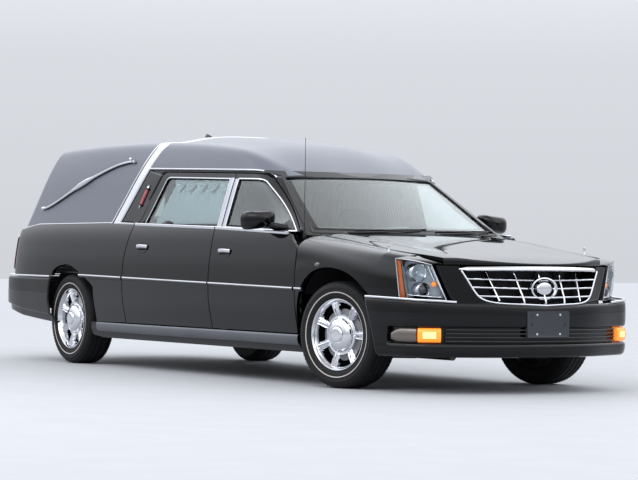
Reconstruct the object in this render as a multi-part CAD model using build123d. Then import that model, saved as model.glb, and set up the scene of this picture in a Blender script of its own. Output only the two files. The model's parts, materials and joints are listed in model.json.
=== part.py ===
from build123d import *
import os
from math import cos, pi, sin, sqrt

# A long hearse on a large sedan's front end, in millimetres.
# +X points forward, +Y to the left, +Z up; the origin is on the ground, under the middle of the body.

# Driving dimensions
wheelbase = 3820.0
front_overhang = 1100.0
rear_overhang = 1260.0
body_half_width = 950.0
roof_top_z = 1750.0
tyre_radius = 345.0
tyre_width = 232.0
front_track = 1588.0
rear_track = 1575.0
rest_steer = 13.4
panel_gap = 7.0

front_x = (wheelbase + front_overhang + rear_overhang) / 2
rear_x = -front_x
front_axle_x = front_x - front_overhang
rear_axle_x = front_axle_x - wheelbase
nose_x = front_x - 40
tail_x = rear_x + 55

# Heights of the lower body
sill_z = 215.0
door_bottom_z = 338.0
waist_z = 1000.0
belt_z = 1045.0
moulding_z = 655.0

# Walls
door_inner_y = 846.0
belt_inner_y = 788.0
skin = 28.0
roof_wall = 46.0
glass_thickness = 5.0
floor_thickness = 20.0
skin_depth = 8.0
shut_step = 14.0
swing_room = 24.0

# Door cuts in the side view
door_front_x = 1588.0
door_middle_x = 435.0
door_rear_x = -862.0
frame_width = 44.0
pillar_foot_x = 1442.0
pillar_foot_z = 1010.0
drip_rear_x = -742.0
drip_rear_z = 1478.0
drip_front_x = 870.0
drip_front_z = 1432.0
drip_to_door = 26.0

# Wheel arches
arch_z = 372.0
front_house_radius = 440.0
rear_arch_radius = 382.0

# Windscreen: plan curve at waist height, then its rake
screen_centre_x = 1620.0
screen_corner_x = 1480.0
screen_corner_y = 790.0
screen_rake = (-627.0, 0.0, 365.0)

# Rear face of the load space: plan curve at waist height and its lean over 500 of height
tail_centre_x = -2945.0
tail_corner_radius = 120.0
tail_lean = 245.0

# Rear loading door
loading_half_width = 606.0
loading_bottom_z = 676.0
loading_top_z = 1596.0
loading_depth = 110.0
loading_flare = 0.37

# Crown band over the roof, in the side view
band_foot_x = -1268.0
band_head_x = -850.0
band_head_z = 1660.0
band_width = 150.0
band_proud = 7.0

# Bumpers
bumper_top_z = 598.0
bumper_foot_z = 228.0
rear_bumper_top_z = 668.0
bumper_wall = 55.0

# Nose fittings
lamp_depth = 70.0
grille_depth = 46.0
grille_top_z = 800.0
grille_bar = 9.0
turn_low_z = 319.0
turn_high_z = 414.0
plate_width = 325.0
plate_low_z = 354.0
plate_high_z = 520.0
plate_screw_y = 88.9
plate_screw_z = 60.3
plate_screw_radius = 3.2
plate_mid_z = (plate_low_z + plate_high_z) / 2

# Wheels
wheel_radius = 233.0
wheel_width = 205.0
spindle_radius = 24.0
running_gap = 0.3
cover_windows = 7
cover_nuts = 10
kingpin_offset = 62.0

# Floor and deck
floor_z = 262.0
rear_floor_z = 480.0
load_floor_z = 640.0
floor_half_width = 756.0
tunnel_half_width = 110.0
tunnel_height = 60.0
step_x = 200.0
load_step_x = -960.0
bulkhead_x = 1540.0
bulkhead_half_width = 690.0
bulkhead_top_z = 940.0
deck_z = 735.0
deck_thickness = 32.0
deck_half_width = 600.0
deck_front_x = -420.0
deck_rear_x = -2890.0
deck_wing_half_width = 800.0
deck_wing_x = (-2740.0, -1440.0)
rail_y = 330.0
rail_half_width = 22.0
rail_height = 16.0
roller_radius = 20.0
roller_places = (-2760.0, -2200.0, -1640.0, -1080.0, -620.0)
leg_places = (-2700.0, -1900.0, -1100.0)
leg_half_width = 500.0
leg_half_length = 20.0

# Seats and controls
seat_y = 390.0
seat_half_width = 265.0
headrest_half_width = 130.0
seat_base_half_width = 200.0
seat_base_x = (480.0, 920.0)
seat_base_top_z = 402.0
dash_half_width = 688.0
steering_centre = (1085.0, 390.0, 815.0)
steering_radius = 182.0
steering_rim_radius = 16.0
steering_hub_radius = 52.0
column_radius = 26.0

# Door mirrors
mirror_x = 1150.0
mirror_y = 975.0
mirror_z = 1085.0
mirror_length = 120.0
mirror_width = 170.0
mirror_height = 118.0
mirror_side_chamfer = 34.0
mirror_top_chamfer = 18.0

# Running gear
engine_half_width = 392.0
engine_x = (2060.0, 2560.0)
engine_z = (300.0, 760.0)
cradle_low_z = 226.0
cradle_high_z = 288.0
cradle_rail_y = (372.0, 432.0)
cradle_x = (1640.0, 2700.0)
cradle_beam = 80.0
arm_foot_z = 196.0
knuckle_inner = 118.0
knuckle_outer = 70.0
knuckle_half_length = 52.0
knuckle_corner = 30.0
ball_joint_radius = 18.0
tank_x = (-760.0, -40.0)
tank_half_width = 430.0
tank_top_z = 440.0
tank_corner = 60.0
pipe_radius = 27.0
pipe_z = 196.0
tail_pipe_y = 150.0
muffler_x = (-1420.0, -900.0)
muffler_half_width = 190.0
muffler_z = (180.0, 300.0)
muffler_corner = 50.0


def face_of(start, steps):
    """A flat face from a start point and steps: (x, y) is a line, (mid x, mid y, x, y) an arc."""
    edges = []
    here = start
    for step in steps:
        if len(step) == 2 and step == here:
            continue
        if len(step) == 2:
            edges.append(Line(here, step))
        else:
            edges.append(ThreePointArc(here, step[:2], step[2:]))
        here = step[-2:]
    if here != start:
        edges.append(Line(here, start))
    return make_face(edges)


def side_prism(face, y0, y1):
    """A face drawn in the side view, (x, z), carried from y0 to y1."""
    return Pos(0, y0, 0) * extrude(Plane.XZ * face, amount=y1 - y0, dir=(0, 1, 0))


def cross_prism(face, x0, x1):
    """A face drawn in the cross section, (y, z), carried from x0 to x1."""
    return Pos(x0, 0, 0) * extrude(Plane.YZ * face, amount=x1 - x0, dir=(1, 0, 0))


def plan_prism(face, z0, z1):
    """A face drawn in plan, (x, y), carried from z0 to z1."""
    return Pos(0, 0, z0) * extrude(face, amount=z1 - z0, dir=(0, 0, 1))


def block(x0, x1, y0, y1, z0, z1):
    """A box between two corners."""
    centre = Pos((x0 + x1) / 2, (y0 + y1) / 2, (z0 + z1) / 2)
    return centre * Box(abs(x1 - x0), abs(y1 - y0), abs(z1 - z0))


def cross_barrel(x, y0, y1, z, radius):
    """A cylinder lying across the car."""
    return Pos(x, (y0 + y1) / 2, z) * Rot(90, 0, 0) * Cylinder(radius, abs(y1 - y0))


def upright(x, y, z0, z1, radius):
    """A standing cylinder."""
    return Pos(x, y, (z0 + z1) / 2) * Cylinder(radius, z1 - z0)


def rod(start, end, radius):
    """A round bar between two points."""
    path = Line(start, end)
    return sweep(Plane(origin=start, z_dir=path % 0) * Circle(radius), path=path)


def other_side(part):
    """The same piece on the other side of the car."""
    return mirror(part, about=Plane.XZ)


def both_sides(part):
    """The left piece and its twin on the right, as solids of one node."""
    return Compound(children=list(part.solids()) + list(other_side(part).solids()))


def biggest(part):
    """The largest solid of a cut, without slivers left beside it."""
    return max(part.solids(), key=lambda solid: solid.volume)


def body_face(inset, lid):
    """Cross section of the lower body: sill, full side, shoulder and belt, raised by lid."""
    w = body_half_width - inset
    top = belt_z + 45
    return face_of(
        (0, sill_z + inset),
        (
            (w - 80, sill_z + inset),
            (w - 52, sill_z + 40 + inset / 2, w - 44, door_bottom_z - 8),
            (w, moulding_z - 20, w - 24, 905),
            (w - 38, waist_z, w - 86, top),
            (w - 86, top + lid),
            (0, top + lid),
        ),
    )


def body_plan(inset):
    """Plan outline of the body's left half, from the nose to the tail, moved in by inset."""
    w = body_half_width
    # Columns: x, y, and how much of the inset each takes
    rows = (
        (nose_x, 0, -1.0, 0.0),
        (nose_x - 55, 300, -1.0, 0.0),
        (nose_x - 205, 600, -0.85, -0.55),
        (nose_x - 300, 760, -0.7, -0.75),
        (nose_x - 470, 862, -0.4, -0.95),
        (nose_x - 770, 925, 0.0, -1.0),
        (front_axle_x, w - 6, 0.0, -1.0),
        (0, w + 2, 0.0, -1.0),
        (-1900, w - 2, 0.0, -1.0),
        (-2500, w - 18, 0.0, -1.0),
        (tail_x + 250, w - 62, 0.3, -0.95),
        (tail_x + 105, w - 125, 0.7, -0.7),
        (tail_x + 45, w - 290, 0.95, -0.3),
        (tail_x + 6, 300, 1.0, 0.0),
        (tail_x, 0, 1.0, 0.0),
    )
    spots = [(x + inset * share_x, y + inset * share_y) for x, y, share_x, share_y in rows]
    steps = [spots[index] + spots[index + 1] for index in range(1, len(spots) - 1, 2)]
    return face_of(spots[0], steps)


# Top of the nose, one row per section: x, centre z, hood edge y and z, fender crest y and z, side z
nose_rows = (
    (nose_x + 40, 798.0, 560.0, 780.0, 800.0, 752.0, 690.0),
    (nose_x - 130, 842.0, 640.0, 820.0, 830.0, 795.0, 740.0),
    (2450.0, 908.0, 700.0, 884.0, 850.0, 862.0, 825.0),
    (2000.0, 964.0, 724.0, 940.0, 862.0, 915.0, 880.0),
    (1400.0, 1026.0, 742.0, 1004.0, 870.0, 975.0, 940.0),
)


def nose_section(row, drop):
    """One cross section of the nose: a crowned hood between the two fender crests."""
    x, centre_z, edge_y, edge_z, crest_y, crest_z, side_z = row
    wide = body_half_width + 60
    face = face_of(
        (-wide, 100),
        (
            (wide, 100),
            (wide, side_z - drop),
            (crest_y, crest_z - drop),
            (edge_y, edge_z - drop),
            (0, centre_z - drop, -edge_y, edge_z - drop),
            (-crest_y, crest_z - drop),
            (-wide, side_z - drop),
        ),
    )
    return Pos(x, 0, 0) * (Plane.YZ * face)


def nose_top(drop):
    """Everything under the nose's top surface."""
    return loft([nose_section(row, drop) for row in nose_rows], ruled=True)


def belt_top(drop):
    """Everything under the belt, which falls gently towards the nose."""
    # Columns: x, z
    belt_rows = (
        (rear_x - 50, 1008.0),
        (-2520.0, 1076.0),
        (-1150.0, 1080.0),
        (500.0, 1038.0),
        (1402.0, 1004.0),
    )
    steps = [(x, z - drop) for x, z in belt_rows]
    return side_prism(face_of((rear_x - 50, 100), steps + [(1402, 100)]), -1100, 1100)


def lower_body(inset=0.0, drop=0.0, lid=0.0):
    """Left half of the lower body between sill and belt; a lid carries it up past the belt."""
    side = cross_prism(body_face(inset, lid), rear_x - 100, front_x + 100)
    half = plan_prism(body_plan(inset), 100, 1400) & side
    return half if lid else half & (nose_top(drop) + belt_top(drop))


# Cabin and roof, one row per section: x, waist y, side top y and z, crown edge y and z, crown z
roof_rows = (
    (1700.0, 862.0, 640.0, 1352.0, 560.0, 1372.0, 1388.0),
    (1040.0, 866.0, 640.0, 1352.0, 560.0, 1372.0, 1388.0),
    (820.0, 870.0, 662.0, 1438.0, 575.0, 1468.0, 1486.0),
    (520.0, 872.0, 684.0, 1506.0, 572.0, 1566.0, 1600.0),
    (100.0, 873.0, 694.0, 1556.0, 562.0, 1628.0, 1676.0),
    (-650.0, 874.0, 698.0, 1596.0, 555.0, 1674.0, 1730.0),
    (-1600.0, 874.0, 694.0, 1606.0, 550.0, 1688.0, roof_top_z),
    (-2550.0, 862.0, 680.0, 1588.0, 535.0, 1668.0, 1730.0),
    (-3080.0, 846.0, 664.0, 1570.0, 520.0, 1646.0, 1700.0),
)


def roof_section(row, inset):
    """One cross section of cabin and roof: leaning side, round shoulder, crowned top."""
    x, waist_y, side_y, side_top, crown_y, crown_edge, crown_z = row
    wy, sy, cy = waist_y - inset, side_y - inset, crown_y - inset * 0.7
    st, ce, cz = side_top - inset * 0.3, crown_edge - inset * 0.8, crown_z - inset
    corner_y = 0.75 * sy - 6 + 0.25 * cy
    corner_z = 0.25 * st + 0.75 * ce + 2
    foot_z = waist_z - 40
    side_y_mid = (wy + sy) / 2 + 9
    side_z_mid = (foot_z + st) / 2
    face = face_of(
        (-wy, foot_z),
        (
            (wy, foot_z),
            (side_y_mid, side_z_mid, sy, st),
            (corner_y, corner_z, cy, ce),
            (0, cz, -cy, ce),
            (-corner_y, corner_z, -sy, st),
            (-side_y_mid, side_z_mid, -wy, foot_z),
        ),
    )
    return Pos(x, 0, 0) * (Plane.YZ * face)


def screen_cut(inset):
    """Everything behind the windscreen's curved, raked surface."""
    side_x = screen_corner_x - 240 - inset
    corner_x = screen_corner_x - inset
    face = face_of(
        (-4000, -1200),
        (
            (-4000, 1200),
            (side_x, 1200),
            (corner_x, screen_corner_y),
            (screen_centre_x - inset, 0, corner_x, -screen_corner_y),
            (side_x, -1200),
        ),
    )
    rise = 1000.0
    below = 80.0
    slope = screen_rake[0] / screen_rake[2]
    reach = rise * sqrt(1 + slope**2)
    return Pos(-below * slope, 0, waist_z - below) * extrude(face, amount=reach, dir=screen_rake)


def tail_outline(centre_x, half_width, z, inset):
    """Plan outline of the raked tail at one height: bowed face and round corners."""
    back = centre_x + inset
    edge = half_width - inset + 3
    face_x = back + 70
    quarter = tail_corner_radius * (1 - cos(pi / 4))
    flat = edge - tail_corner_radius
    face = face_of(
        (2600, -edge),
        (
            (2600, edge),
            (face_x + tail_corner_radius, edge),
            (face_x + quarter, edge - quarter, face_x, flat),
            (back, 0, face_x, -flat),
            (face_x + quarter, quarter - edge, face_x + tail_corner_radius, -edge),
        ),
    )
    return Pos(0, 0, z) * face


def tail_cut(inset):
    """Everything ahead of the raked rear face, with its rolled top edge."""
    lean = tail_lean / 500
    low_z, high_z = waist_z - 60, waist_z + 900
    low = tail_outline(tail_centre_x - 60 * lean, 890.0, low_z, inset)
    high = tail_outline(tail_centre_x + 900 * lean, 620.0, high_z, inset)
    head_x = tail_centre_x + (roof_top_z - 150 - waist_z) * lean
    rolled = face_of(
        (tail_centre_x - 400, 800),
        (
            (2700, 800),
            (2700, roof_top_z + 80),
            (head_x + 260, roof_top_z + 80),
            (head_x + 230, roof_top_z - 10 - inset),
            (head_x + 74, roof_top_z - 52 - inset, head_x - 4 + inset, roof_top_z - 150),
            (tail_centre_x - 30 + inset, waist_z),
        ),
    )
    return loft([low, high], ruled=True) & side_prism(rolled, -1200, 1200)


def upper_body(inset=0.0):
    """Solid of the cabin and load space above the waist."""
    cabin = loft([roof_section(row, inset) for row in roof_rows], ruled=True)
    return cabin & screen_cut(inset) & tail_cut(inset)


def drip_z(x):
    """Height of the drip moulding at a place along the car."""
    share = (x - drip_rear_x) / (drip_front_x - drip_rear_x)
    return drip_rear_z + share * (drip_front_z - drip_rear_z)


def door_head_z(x):
    """Top edge of the side doors at a place along the car."""
    return drip_z(x) - drip_to_door


def front_door_face(grow=0.0):
    """Outline of the front door in the side view, larger by grow all round."""
    g = grow
    rear = door_middle_x + panel_gap / 2 - g
    turn_x = drip_front_x - 130
    return face_of(
        (rear, door_bottom_z - g),
        (
            (door_front_x - 12 + g, door_bottom_z - g),
            (door_front_x + g, 640, door_front_x - 8 + g, 900 + g),
            (pillar_foot_x + 70 + g, pillar_foot_z - 60 + g),
            (pillar_foot_x + g, pillar_foot_z + 4 + g),
            (drip_front_x + 8 + g, drip_front_z - 62 + g),
            (drip_front_x - 46, drip_front_z - 30 + g, turn_x, door_head_z(turn_x) + g),
            (rear, door_head_z(rear) + g),
        ),
    )


def rear_door_face(grow=0.0):
    """Outline of the rear side door in the side view, larger by grow all round."""
    g = grow
    front = door_middle_x - panel_gap / 2 + g
    head_x = -530.0
    head_z = door_head_z(head_x)
    return face_of(
        (door_rear_x - g, door_bottom_z - g),
        (
            (front, door_bottom_z - g),
            (front, door_head_z(front) + g),
            (head_x, head_z + g),
            (head_x - 56 - g * 0.7, head_z - 12 + g * 0.7, head_x - 84 - g, head_z - 52),
            (door_rear_x + 62 - g, 1052),
            (door_rear_x + 12 - g, 860, door_rear_x - g, 690),
        ),
    )


def front_window_face():
    """Front door window in the side view."""
    rear = door_middle_x + 62
    turn_x = drip_front_x - 150
    return face_of(
        (rear, belt_z + 5),
        (
            (pillar_foot_x - 66, pillar_foot_z + 22),
            (drip_front_x - 18, drip_front_z - 100),
            (drip_front_x - 72, drip_front_z - 74, turn_x, door_head_z(turn_x) - frame_width),
            (rear, door_head_z(rear) - frame_width),
        ),
    )


def rear_window_face(shrink=0.0):
    """Rear door window in the side view, smaller by shrink all round."""
    s = shrink
    front = door_middle_x - 56 - s
    head_x = -470.0
    head_z = door_head_z(head_x) - frame_width - s
    return face_of(
        (-668 + s, belt_z + 22 + s),
        (
            (front, belt_z + 8 + s),
            (front, door_head_z(front) - frame_width - s),
            (head_x + s, head_z),
            (head_x - 34 + s, head_z - 10, head_x - 46 + s, head_z - 34),
        ),
    )


def band_x(z):
    """Rear edge of the crown band at a height, in the side view."""
    return band_foot_x + (z - belt_z) * (band_head_x - band_foot_x) / (band_head_z - belt_z)


def band_face():
    """The crown band in the side view: a raked strip from the belt over the roof."""
    low, high = belt_z + 2, roof_top_z + 60
    return face_of(
        (band_x(low), low),
        ((band_x(low) + band_width, low), (band_x(high) + band_width, high), (band_x(high), high)),
    )


def pillar_face():
    """Side region of the painted pillars: under the drip moulding and ahead of the crown band."""
    rear = band_width / 2
    return face_of(
        (band_x(waist_z) + rear, waist_z - 60),
        (
            (1750, waist_z - 60),
            (1750, drip_front_z - 60),
            (drip_front_x + 60, drip_front_z - 30),
            (drip_front_x, drip_front_z),
            (drip_rear_x, drip_rear_z),
            (band_x(drip_rear_z) + rear, drip_rear_z + 3),
        ),
    )


def arch(axle_x, radius, y0, y1):
    """A wheel opening through one side of the body."""
    round_part = cross_barrel(axle_x, y0, y1, arch_z, radius)
    return round_part + block(axle_x - radius, axle_x + radius, y0, y1, 60, arch_z)


def front_opening(y0, y1):
    """The front wheel opening through one side: flatter than a circle, wider towards the bumper."""
    outline = face_of(
        (1596, 60),
        (
            (1596, arch_z),
            (1625, 560, 1719, 700),
            (1985, 776, 2200, 741),
            (2369, 645),
            (2430, bumper_top_z),
            (2477, 452),
            (2526, turn_low_z),
            (2545, bumper_foot_z),
            (2545, 60),
        ),
    )
    return side_prism(outline, y0, y1)


def loading_cut(gap):
    """The rear loading door's block: straight below the belt, flared with the rake above it."""
    half = loading_half_width + gap
    low_z, high_z = loading_bottom_z - gap, loading_top_z + gap
    split_x = tail_centre_x + 20
    depth = 700.0

    def mouth(x, y):
        face = face_of((-y, low_z), ((y, low_z), (y, high_z), (-y, high_z)))
        return Pos(x, 0, 0) * (Plane.YZ * face)

    flared = loft([mouth(split_x, half), mouth(split_x + depth, half - depth * loading_flare)], ruled=True)
    return flared + block(rear_x - 60, split_x, -half, half, low_z, high_z)


def nose_slab(front, back):
    """Space between two offsets behind the nose's plan curve."""
    return plan_prism(body_plan(front) - body_plan(back), 100, 1100)


def save(name, shape):
    """Write one piece."""
    export_step(shape, os.path.join("parts", name + ".step"))
    print(name, len(shape.solids()), round(shape.volume / 1e6, 2))


os.makedirs("parts", exist_ok=True)

# Envelopes and walls that several pieces are cut from
left = block(rear_x - 100, front_x + 100, 0, 1300, 0, 2000)
outer_low = lower_body()
skin_low = lower_body(skin, skin)
hollow_low = lower_body(60.0, 0.0, 250.0)
outer_up = upper_body()
inner_up = upper_body(roof_wall)
proud_up = upper_body(-band_proud)
trim_up = upper_body(-22.0)
glass_out = upper_body(8.0)
glass_in = upper_body(8.0 + glass_thickness)
pillar_out = upper_body(roof_wall + 13.0)
pillar_in = upper_body(roof_wall + 46.0)

cabin_hollow = cross_prism(
    face_of(
        (0, floor_z - floor_thickness),
        ((door_inner_y, floor_z - floor_thickness), (door_inner_y, 720), (belt_inner_y, 1100), (0, 1100)),
    ),
    -1500,
    1720,
)
upper_shell = (outer_up - inner_up) - block(-4000, 4000, -1300, 1300, 0, waist_z - 20)
left_upper = upper_shell & left
left_lower = (outer_low & block(-1460, 1640, 300, 1300, 100, 2000)) - cabin_hollow
left_wall = left_lower + left_upper


def side_door(outline, window):
    """A side door, lower panel and window frame in one, with its window cut."""
    return biggest((left_wall & side_prism(outline, 300, 1300)) - side_prism(window, 300, 1300))


def door_glass(window):
    """The pane of one door."""
    return biggest((glass_out - glass_in) & side_prism(window, 300, 1300))


# Behind the skin the rear shut faces stand back, so that each door swings clear of what is behind it
behind_skin = lower_body(skin_depth, skin_depth) + upper_body(skin_depth)
front_shut = block(door_middle_x - panel_gap, door_middle_x + panel_gap / 2 + shut_step, 0, 1300, 0, 2000)
kept_core = side_prism(Pos(shut_step, 0) * rear_door_face(), 300, 1300) + block(0, 600, 300, 1300, 0, 2000)
front_door = side_door(front_door_face(), front_window_face()) - (front_shut & behind_skin)
front_door = biggest(front_door)
rear_door = biggest(side_door(rear_door_face(), rear_window_face()) - (behind_skin - kept_core))
front_glass = door_glass(front_window_face())
rear_glass = door_glass(rear_window_face())
drape = biggest((upper_body(20.0) - upper_body(30.0)) & side_prism(rear_window_face(4.0), 300, 1300))

# Mirror: a shell on a stalk, ahead of the front window
mirror_head = Pos(mirror_x, mirror_y, mirror_z) * Box(mirror_length, mirror_width, mirror_height)
mirror_head = chamfer(mirror_head.edges().filter_by(Axis.Z), mirror_side_chamfer)
mirror_head = chamfer(mirror_head.edges().group_by(Axis.Z)[-1], mirror_top_chamfer)
mirror_stalk = block(mirror_x + 5, mirror_x + 90, 810, 930, mirror_z - 62, mirror_z - 22)
mirror_piece = biggest((mirror_head + mirror_stalk) - outer_up - outer_low)

for side, place in (("left", lambda part: part), ("right", other_side)):
    save("door_front_" + side, place(front_door))
    save("door_rear_" + side, place(rear_door))
    save("glass_front_" + side, place(front_glass))
    save("glass_rear_" + side, place(rear_glass))
    save("drape_" + side, place(drape))
    save("mirror_" + side, place(mirror_piece))

# Pillars, header, cowl, cantrails and sills: the frame that the doors hang in
door_holes = side_prism(front_door_face(panel_gap), 300, 1300)
door_holes = door_holes + side_prism(rear_door_face(panel_gap), 300, 1300)
screen_low_z, screen_high_z = 1016.0, 1384.0
screen_hole = cross_prism(
    face_of(
        (-742, screen_low_z),
        ((742, screen_low_z), (604, screen_high_z), (0, screen_high_z + 10, -604, screen_high_z)),
    ),
    500,
    1800,
)
pillars = (left_upper & side_prism(pillar_face(), 0, 1300)) - door_holes - screen_hole
pillars = pillars & block(-900, 1800, 0, 1300, belt_z - 60, 2000)
rail_face = face_of(
    (-700, door_head_z(-700) + panel_gap),
    (
        (760, door_head_z(760) + panel_gap),
        (760, drip_z(760) + 46),
        (-700, drip_z(-700) + 46),
    ),
)
rail = (inner_up - pillar_in) & side_prism(rail_face, 300, 1300)
post_half = 44.0
post_zone = block(door_middle_x - post_half, door_middle_x + post_half, 300, 1300, 1040, 1560)
b_post_top = (pillar_out - pillar_in) & post_zone
b_post_low = cross_prism(
    face_of(
        (door_inner_y - 82, floor_z),
        (
            (door_inner_y - swing_room, floor_z),
            (door_inner_y - swing_room, 716),
            (belt_inner_y - 18, 1060),
            (belt_inner_y - 68, 1060),
            (door_inner_y - 82, 716),
        ),
    ),
    door_middle_x - post_half,
    door_middle_x + post_half,
)
sill = (outer_low & block(-1440, 1590, 764, 1300, 100, door_bottom_z - panel_gap)) - arch(
    rear_axle_x, rear_arch_radius, 600, 1300
)
hinge_post = cross_prism(
    face_of(
        (700, door_bottom_z - 60),
        ((816, door_bottom_z - 60), (816, 700), (belt_inner_y - 48, 985), (belt_inner_y - 94, 985)),
    ),
    1462,
    1538,
)
side_frame = biggest(pillars + rail + b_post_top + b_post_low + sill + hinge_post)
frame_whole = side_frame + other_side(side_frame)
save("side_frames", frame_whole)

# Roof shell: dome ahead of the band, landau sides and tail behind it
pillar_zone = side_prism(pillar_face(), -1300, 1300)
rear_quarter_cut = side_prism(
    face_of(
        (-3400, waist_z - 100),
        ((-900, waist_z - 100), (band_x(1083) + band_width / 2, 1083), (-3400, 1083)),
    ),
    -1300,
    1300,
)
roof_shell = upper_shell - pillar_zone - rear_quarter_cut - loading_cut(panel_gap)
roof_shell = roof_shell - block(860, 1800, -1300, 1300, 900, drip_front_z - 40)
roof_shell = biggest(roof_shell)
save("roof_shell", roof_shell)

band = ((proud_up - outer_up) & side_prism(band_face(), -1300, 1300)) - outer_low - other_side(outer_low)
save("crown_band", biggest(band))

screen_slab = outer_up & (screen_cut(0) - screen_cut(glass_thickness * 2))
save("windshield", biggest(screen_slab & screen_hole))

# Rear quarters, with the painted panel between door and band
wall_low = outer_low - hollow_low
quarter_low = wall_low & block(rear_x, door_rear_x + 80, 300, 1300, 100, 1200)
quarter_low = quarter_low - side_prism(rear_door_face(panel_gap), 300, 1300)
quarter_low = quarter_low - block(-1500, 0, 300, 1300, 100, door_bottom_z - panel_gap + 2)
quarter_low = quarter_low - block(rear_x - 100, rear_axle_x - 200, 0, 1300, 100, rear_bumper_top_z)
quarter_low = quarter_low - arch(rear_axle_x, rear_arch_radius, 500, 1300) - loading_cut(panel_gap)
quarter_low = quarter_low - side_frame - roof_shell
tail_lamp_zone = block(rear_x - 60, tail_x + 250, 676, 800, 712, 985)
quarter = biggest(quarter_low - tail_lamp_zone)
save("quarter_panels", both_sides(quarter))
save("tail_lamps", both_sides(biggest(wall_low & left & tail_lamp_zone)))

# Rear loading door and its window
door_block = loading_cut(0)
loading_low = outer_low & block(rear_x - 60, tail_x + loading_depth, 0, 1300, 0, 1200)
loading_low = loading_low + other_side(loading_low)
loading_window = cross_prism(
    face_of(
        (-430, 1150),
        (
            (430, 1150),
            (462, 1160, 458, 1196),
            (400, 1500),
            (392, 1528, 360, 1536),
            (-360, 1536),
            (-392, 1528, -400, 1500),
            (-458, 1196),
            (-462, 1160, -430, 1150),
        ),
    ),
    rear_x,
    -2400,
)
loading_wall = (loading_low + (upper_shell & block(rear_x, -2450, -1300, 1300, waist_z, 2000))) & door_block
save("loading_door", biggest(loading_wall - loading_window))
save("loading_glass", biggest((glass_out - glass_in) & loading_window))

# Landau bars and coach lamps, set on the outer surface
bar_half = 11.0
boss_length = 190.0
boss_width = 44.0
# Columns: x, z of the bar's centre line
bar_rows = (
    (-2500.0, 1205.0),
    (-2330.0, 1222.0),
    (-1869.0, 1385.0),
    (-1300.0, 1522.0),
    (-1078.0, 1538.0),
)
upper_edge = [(x - 3, z + bar_half) for x, z in bar_rows]
lower_edge = [(x + 3, z - bar_half) for x, z in reversed(bar_rows)]
bar_face = make_face(Polyline(*upper_edge, *lower_edge, close=True))
boss_face = Pos(*bar_rows[2]) * Rot(0, 0, 18) * Rectangle(boss_length, boss_width)
trim_layer = (trim_up - outer_up) & left
landau_bar = biggest(trim_layer & (side_prism(bar_face, 300, 1300) + side_prism(boss_face, 300, 1300)))
save("landau_bars", both_sides(landau_bar))
coach_face = Pos(-806, 1270) * Rot(0, 0, 65) * Rectangle(176, 22)
save("coach_lamps", both_sides(biggest(trim_layer & side_prism(coach_face, 300, 1300))))

# Nose: hood, fenders, grille, lamps and bumper


def hood_plan(grow):
    """Plan outline of the hood's left half, larger by grow all round."""
    side = grow - panel_gap
    return face_of(
        (nose_x - 22 + grow, 0),
        (
            (nose_x - 72 + grow, 300, nose_x - 205 + grow, 556 + grow),
            (nose_x - 240, 620 + side),
            (2450, 700 + side),
            (2000, 724 + side),
            (1548 - grow, 738 + side),
            (1650 - grow, 380, 1692 - grow, 0),
        ),
    )


hood_block = plan_prism(hood_plan(0), 600, 1200)
hood_block = hood_block + other_side(hood_block)
hood_skin = (nose_top(0) - nose_top(skin)) & hood_block

fender_wall = outer_low - skin_low
lamp_zone = cross_prism(face_of((604, 586), ((690, 900), (854, 900), (840, 586))), 2560, front_x)
bumper_zone = block(2412, front_x + 100, 0, 1300, 100, bumper_top_z)


def grille_face(shrink):
    """Left half of the grille's outline in the front view, smaller by shrink."""
    s = shrink
    return face_of(
        (0, 552 + s),
        (
            (210, 558 + s),
            (415 - s, 578 + s),
            (452 - s, 612 + s / 2),
            (540 - s, 770),
            (546 - s, grille_top_z - s),
            (0, grille_top_z - s),
        ),
    )


grille_half = grille_face(0)
grille_zone = cross_prism(grille_half, 2500, front_x + 100)
hood_space = plan_prism(hood_plan(panel_gap), 500, 1200)
fender = fender_wall & block(1446, front_x, 0, 1300, sill_z + 40, 1200)
fender = fender - side_prism(front_door_face(panel_gap), 300, 1300) - bumper_zone - lamp_zone - grille_zone
fender = fender - hood_space - front_opening(500, 1300)
fender = fender - block(1440, 1600, 0, 1300, 0, door_bottom_z) - block(1400, 1700, 0, 700, 0, 1300)
fender = fender - (upper_body(-8.0) & block(1000, 1800, 0, 1300, 900, 1300)) - side_frame
fender = biggest(fender)
save("fenders", both_sides(fender))

grille_room = cross_prism(grille_face(-6), 2500, front_x + 100) & nose_slab(-30, grille_depth + 6)
hood = biggest(hood_skin - grille_room - other_side(grille_room))
save("hood", hood)

lamp_body = biggest((outer_low & lamp_zone & nose_slab(0, lamp_depth)) - bumper_zone)
bumper_half = face_of(
    (front_x - 8, 0),
    (
        (front_x - 45, 350, front_x - 185, 685),
        (front_x - 270, 822, front_x - 420, 890),
        (front_x - 560, 930, 2416, body_half_width - 2),
        (2416, body_half_width - 2 - bumper_wall),
        (front_x - 560, 930 - bumper_wall, front_x - 450, 890 - bumper_wall),
        (front_x - 320, 800 - bumper_wall, front_x - 245, 660 - bumper_wall),
        (front_x - 120, 320, front_x - 8 - bumper_wall - 20, 0),
    ),
)
bumper = plan_prism(bumper_half, bumper_foot_z, bumper_top_z)
turn_zone = block(2650, front_x, 690, 1000, turn_low_z, turn_high_z)
turn_lamp = biggest(bumper & turn_zone)
fin_count = 4
fin_pitch = (turn_high_z - turn_low_z) / fin_count
bumper = bumper - turn_zone - grille_zone - front_opening(600, 1300)
slot_floor = Pos(-26, 0, 0) * plan_prism(bumper_half, 200, 640)
for index in range(fin_count):
    fin_z = turn_low_z + index * fin_pitch
    slot = plan_prism(bumper_half, fin_z + 8, fin_z + fin_pitch - 2) - slot_floor
    bumper = bumper - (slot & block(2700, front_x, 0, 676, 0, 600))
bumper = biggest(bumper)
bumper_whole = bumper + other_side(bumper)
plate_holder = block(front_x - 40, front_x, -plate_width / 2, plate_width / 2, plate_low_z, plate_high_z)
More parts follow.
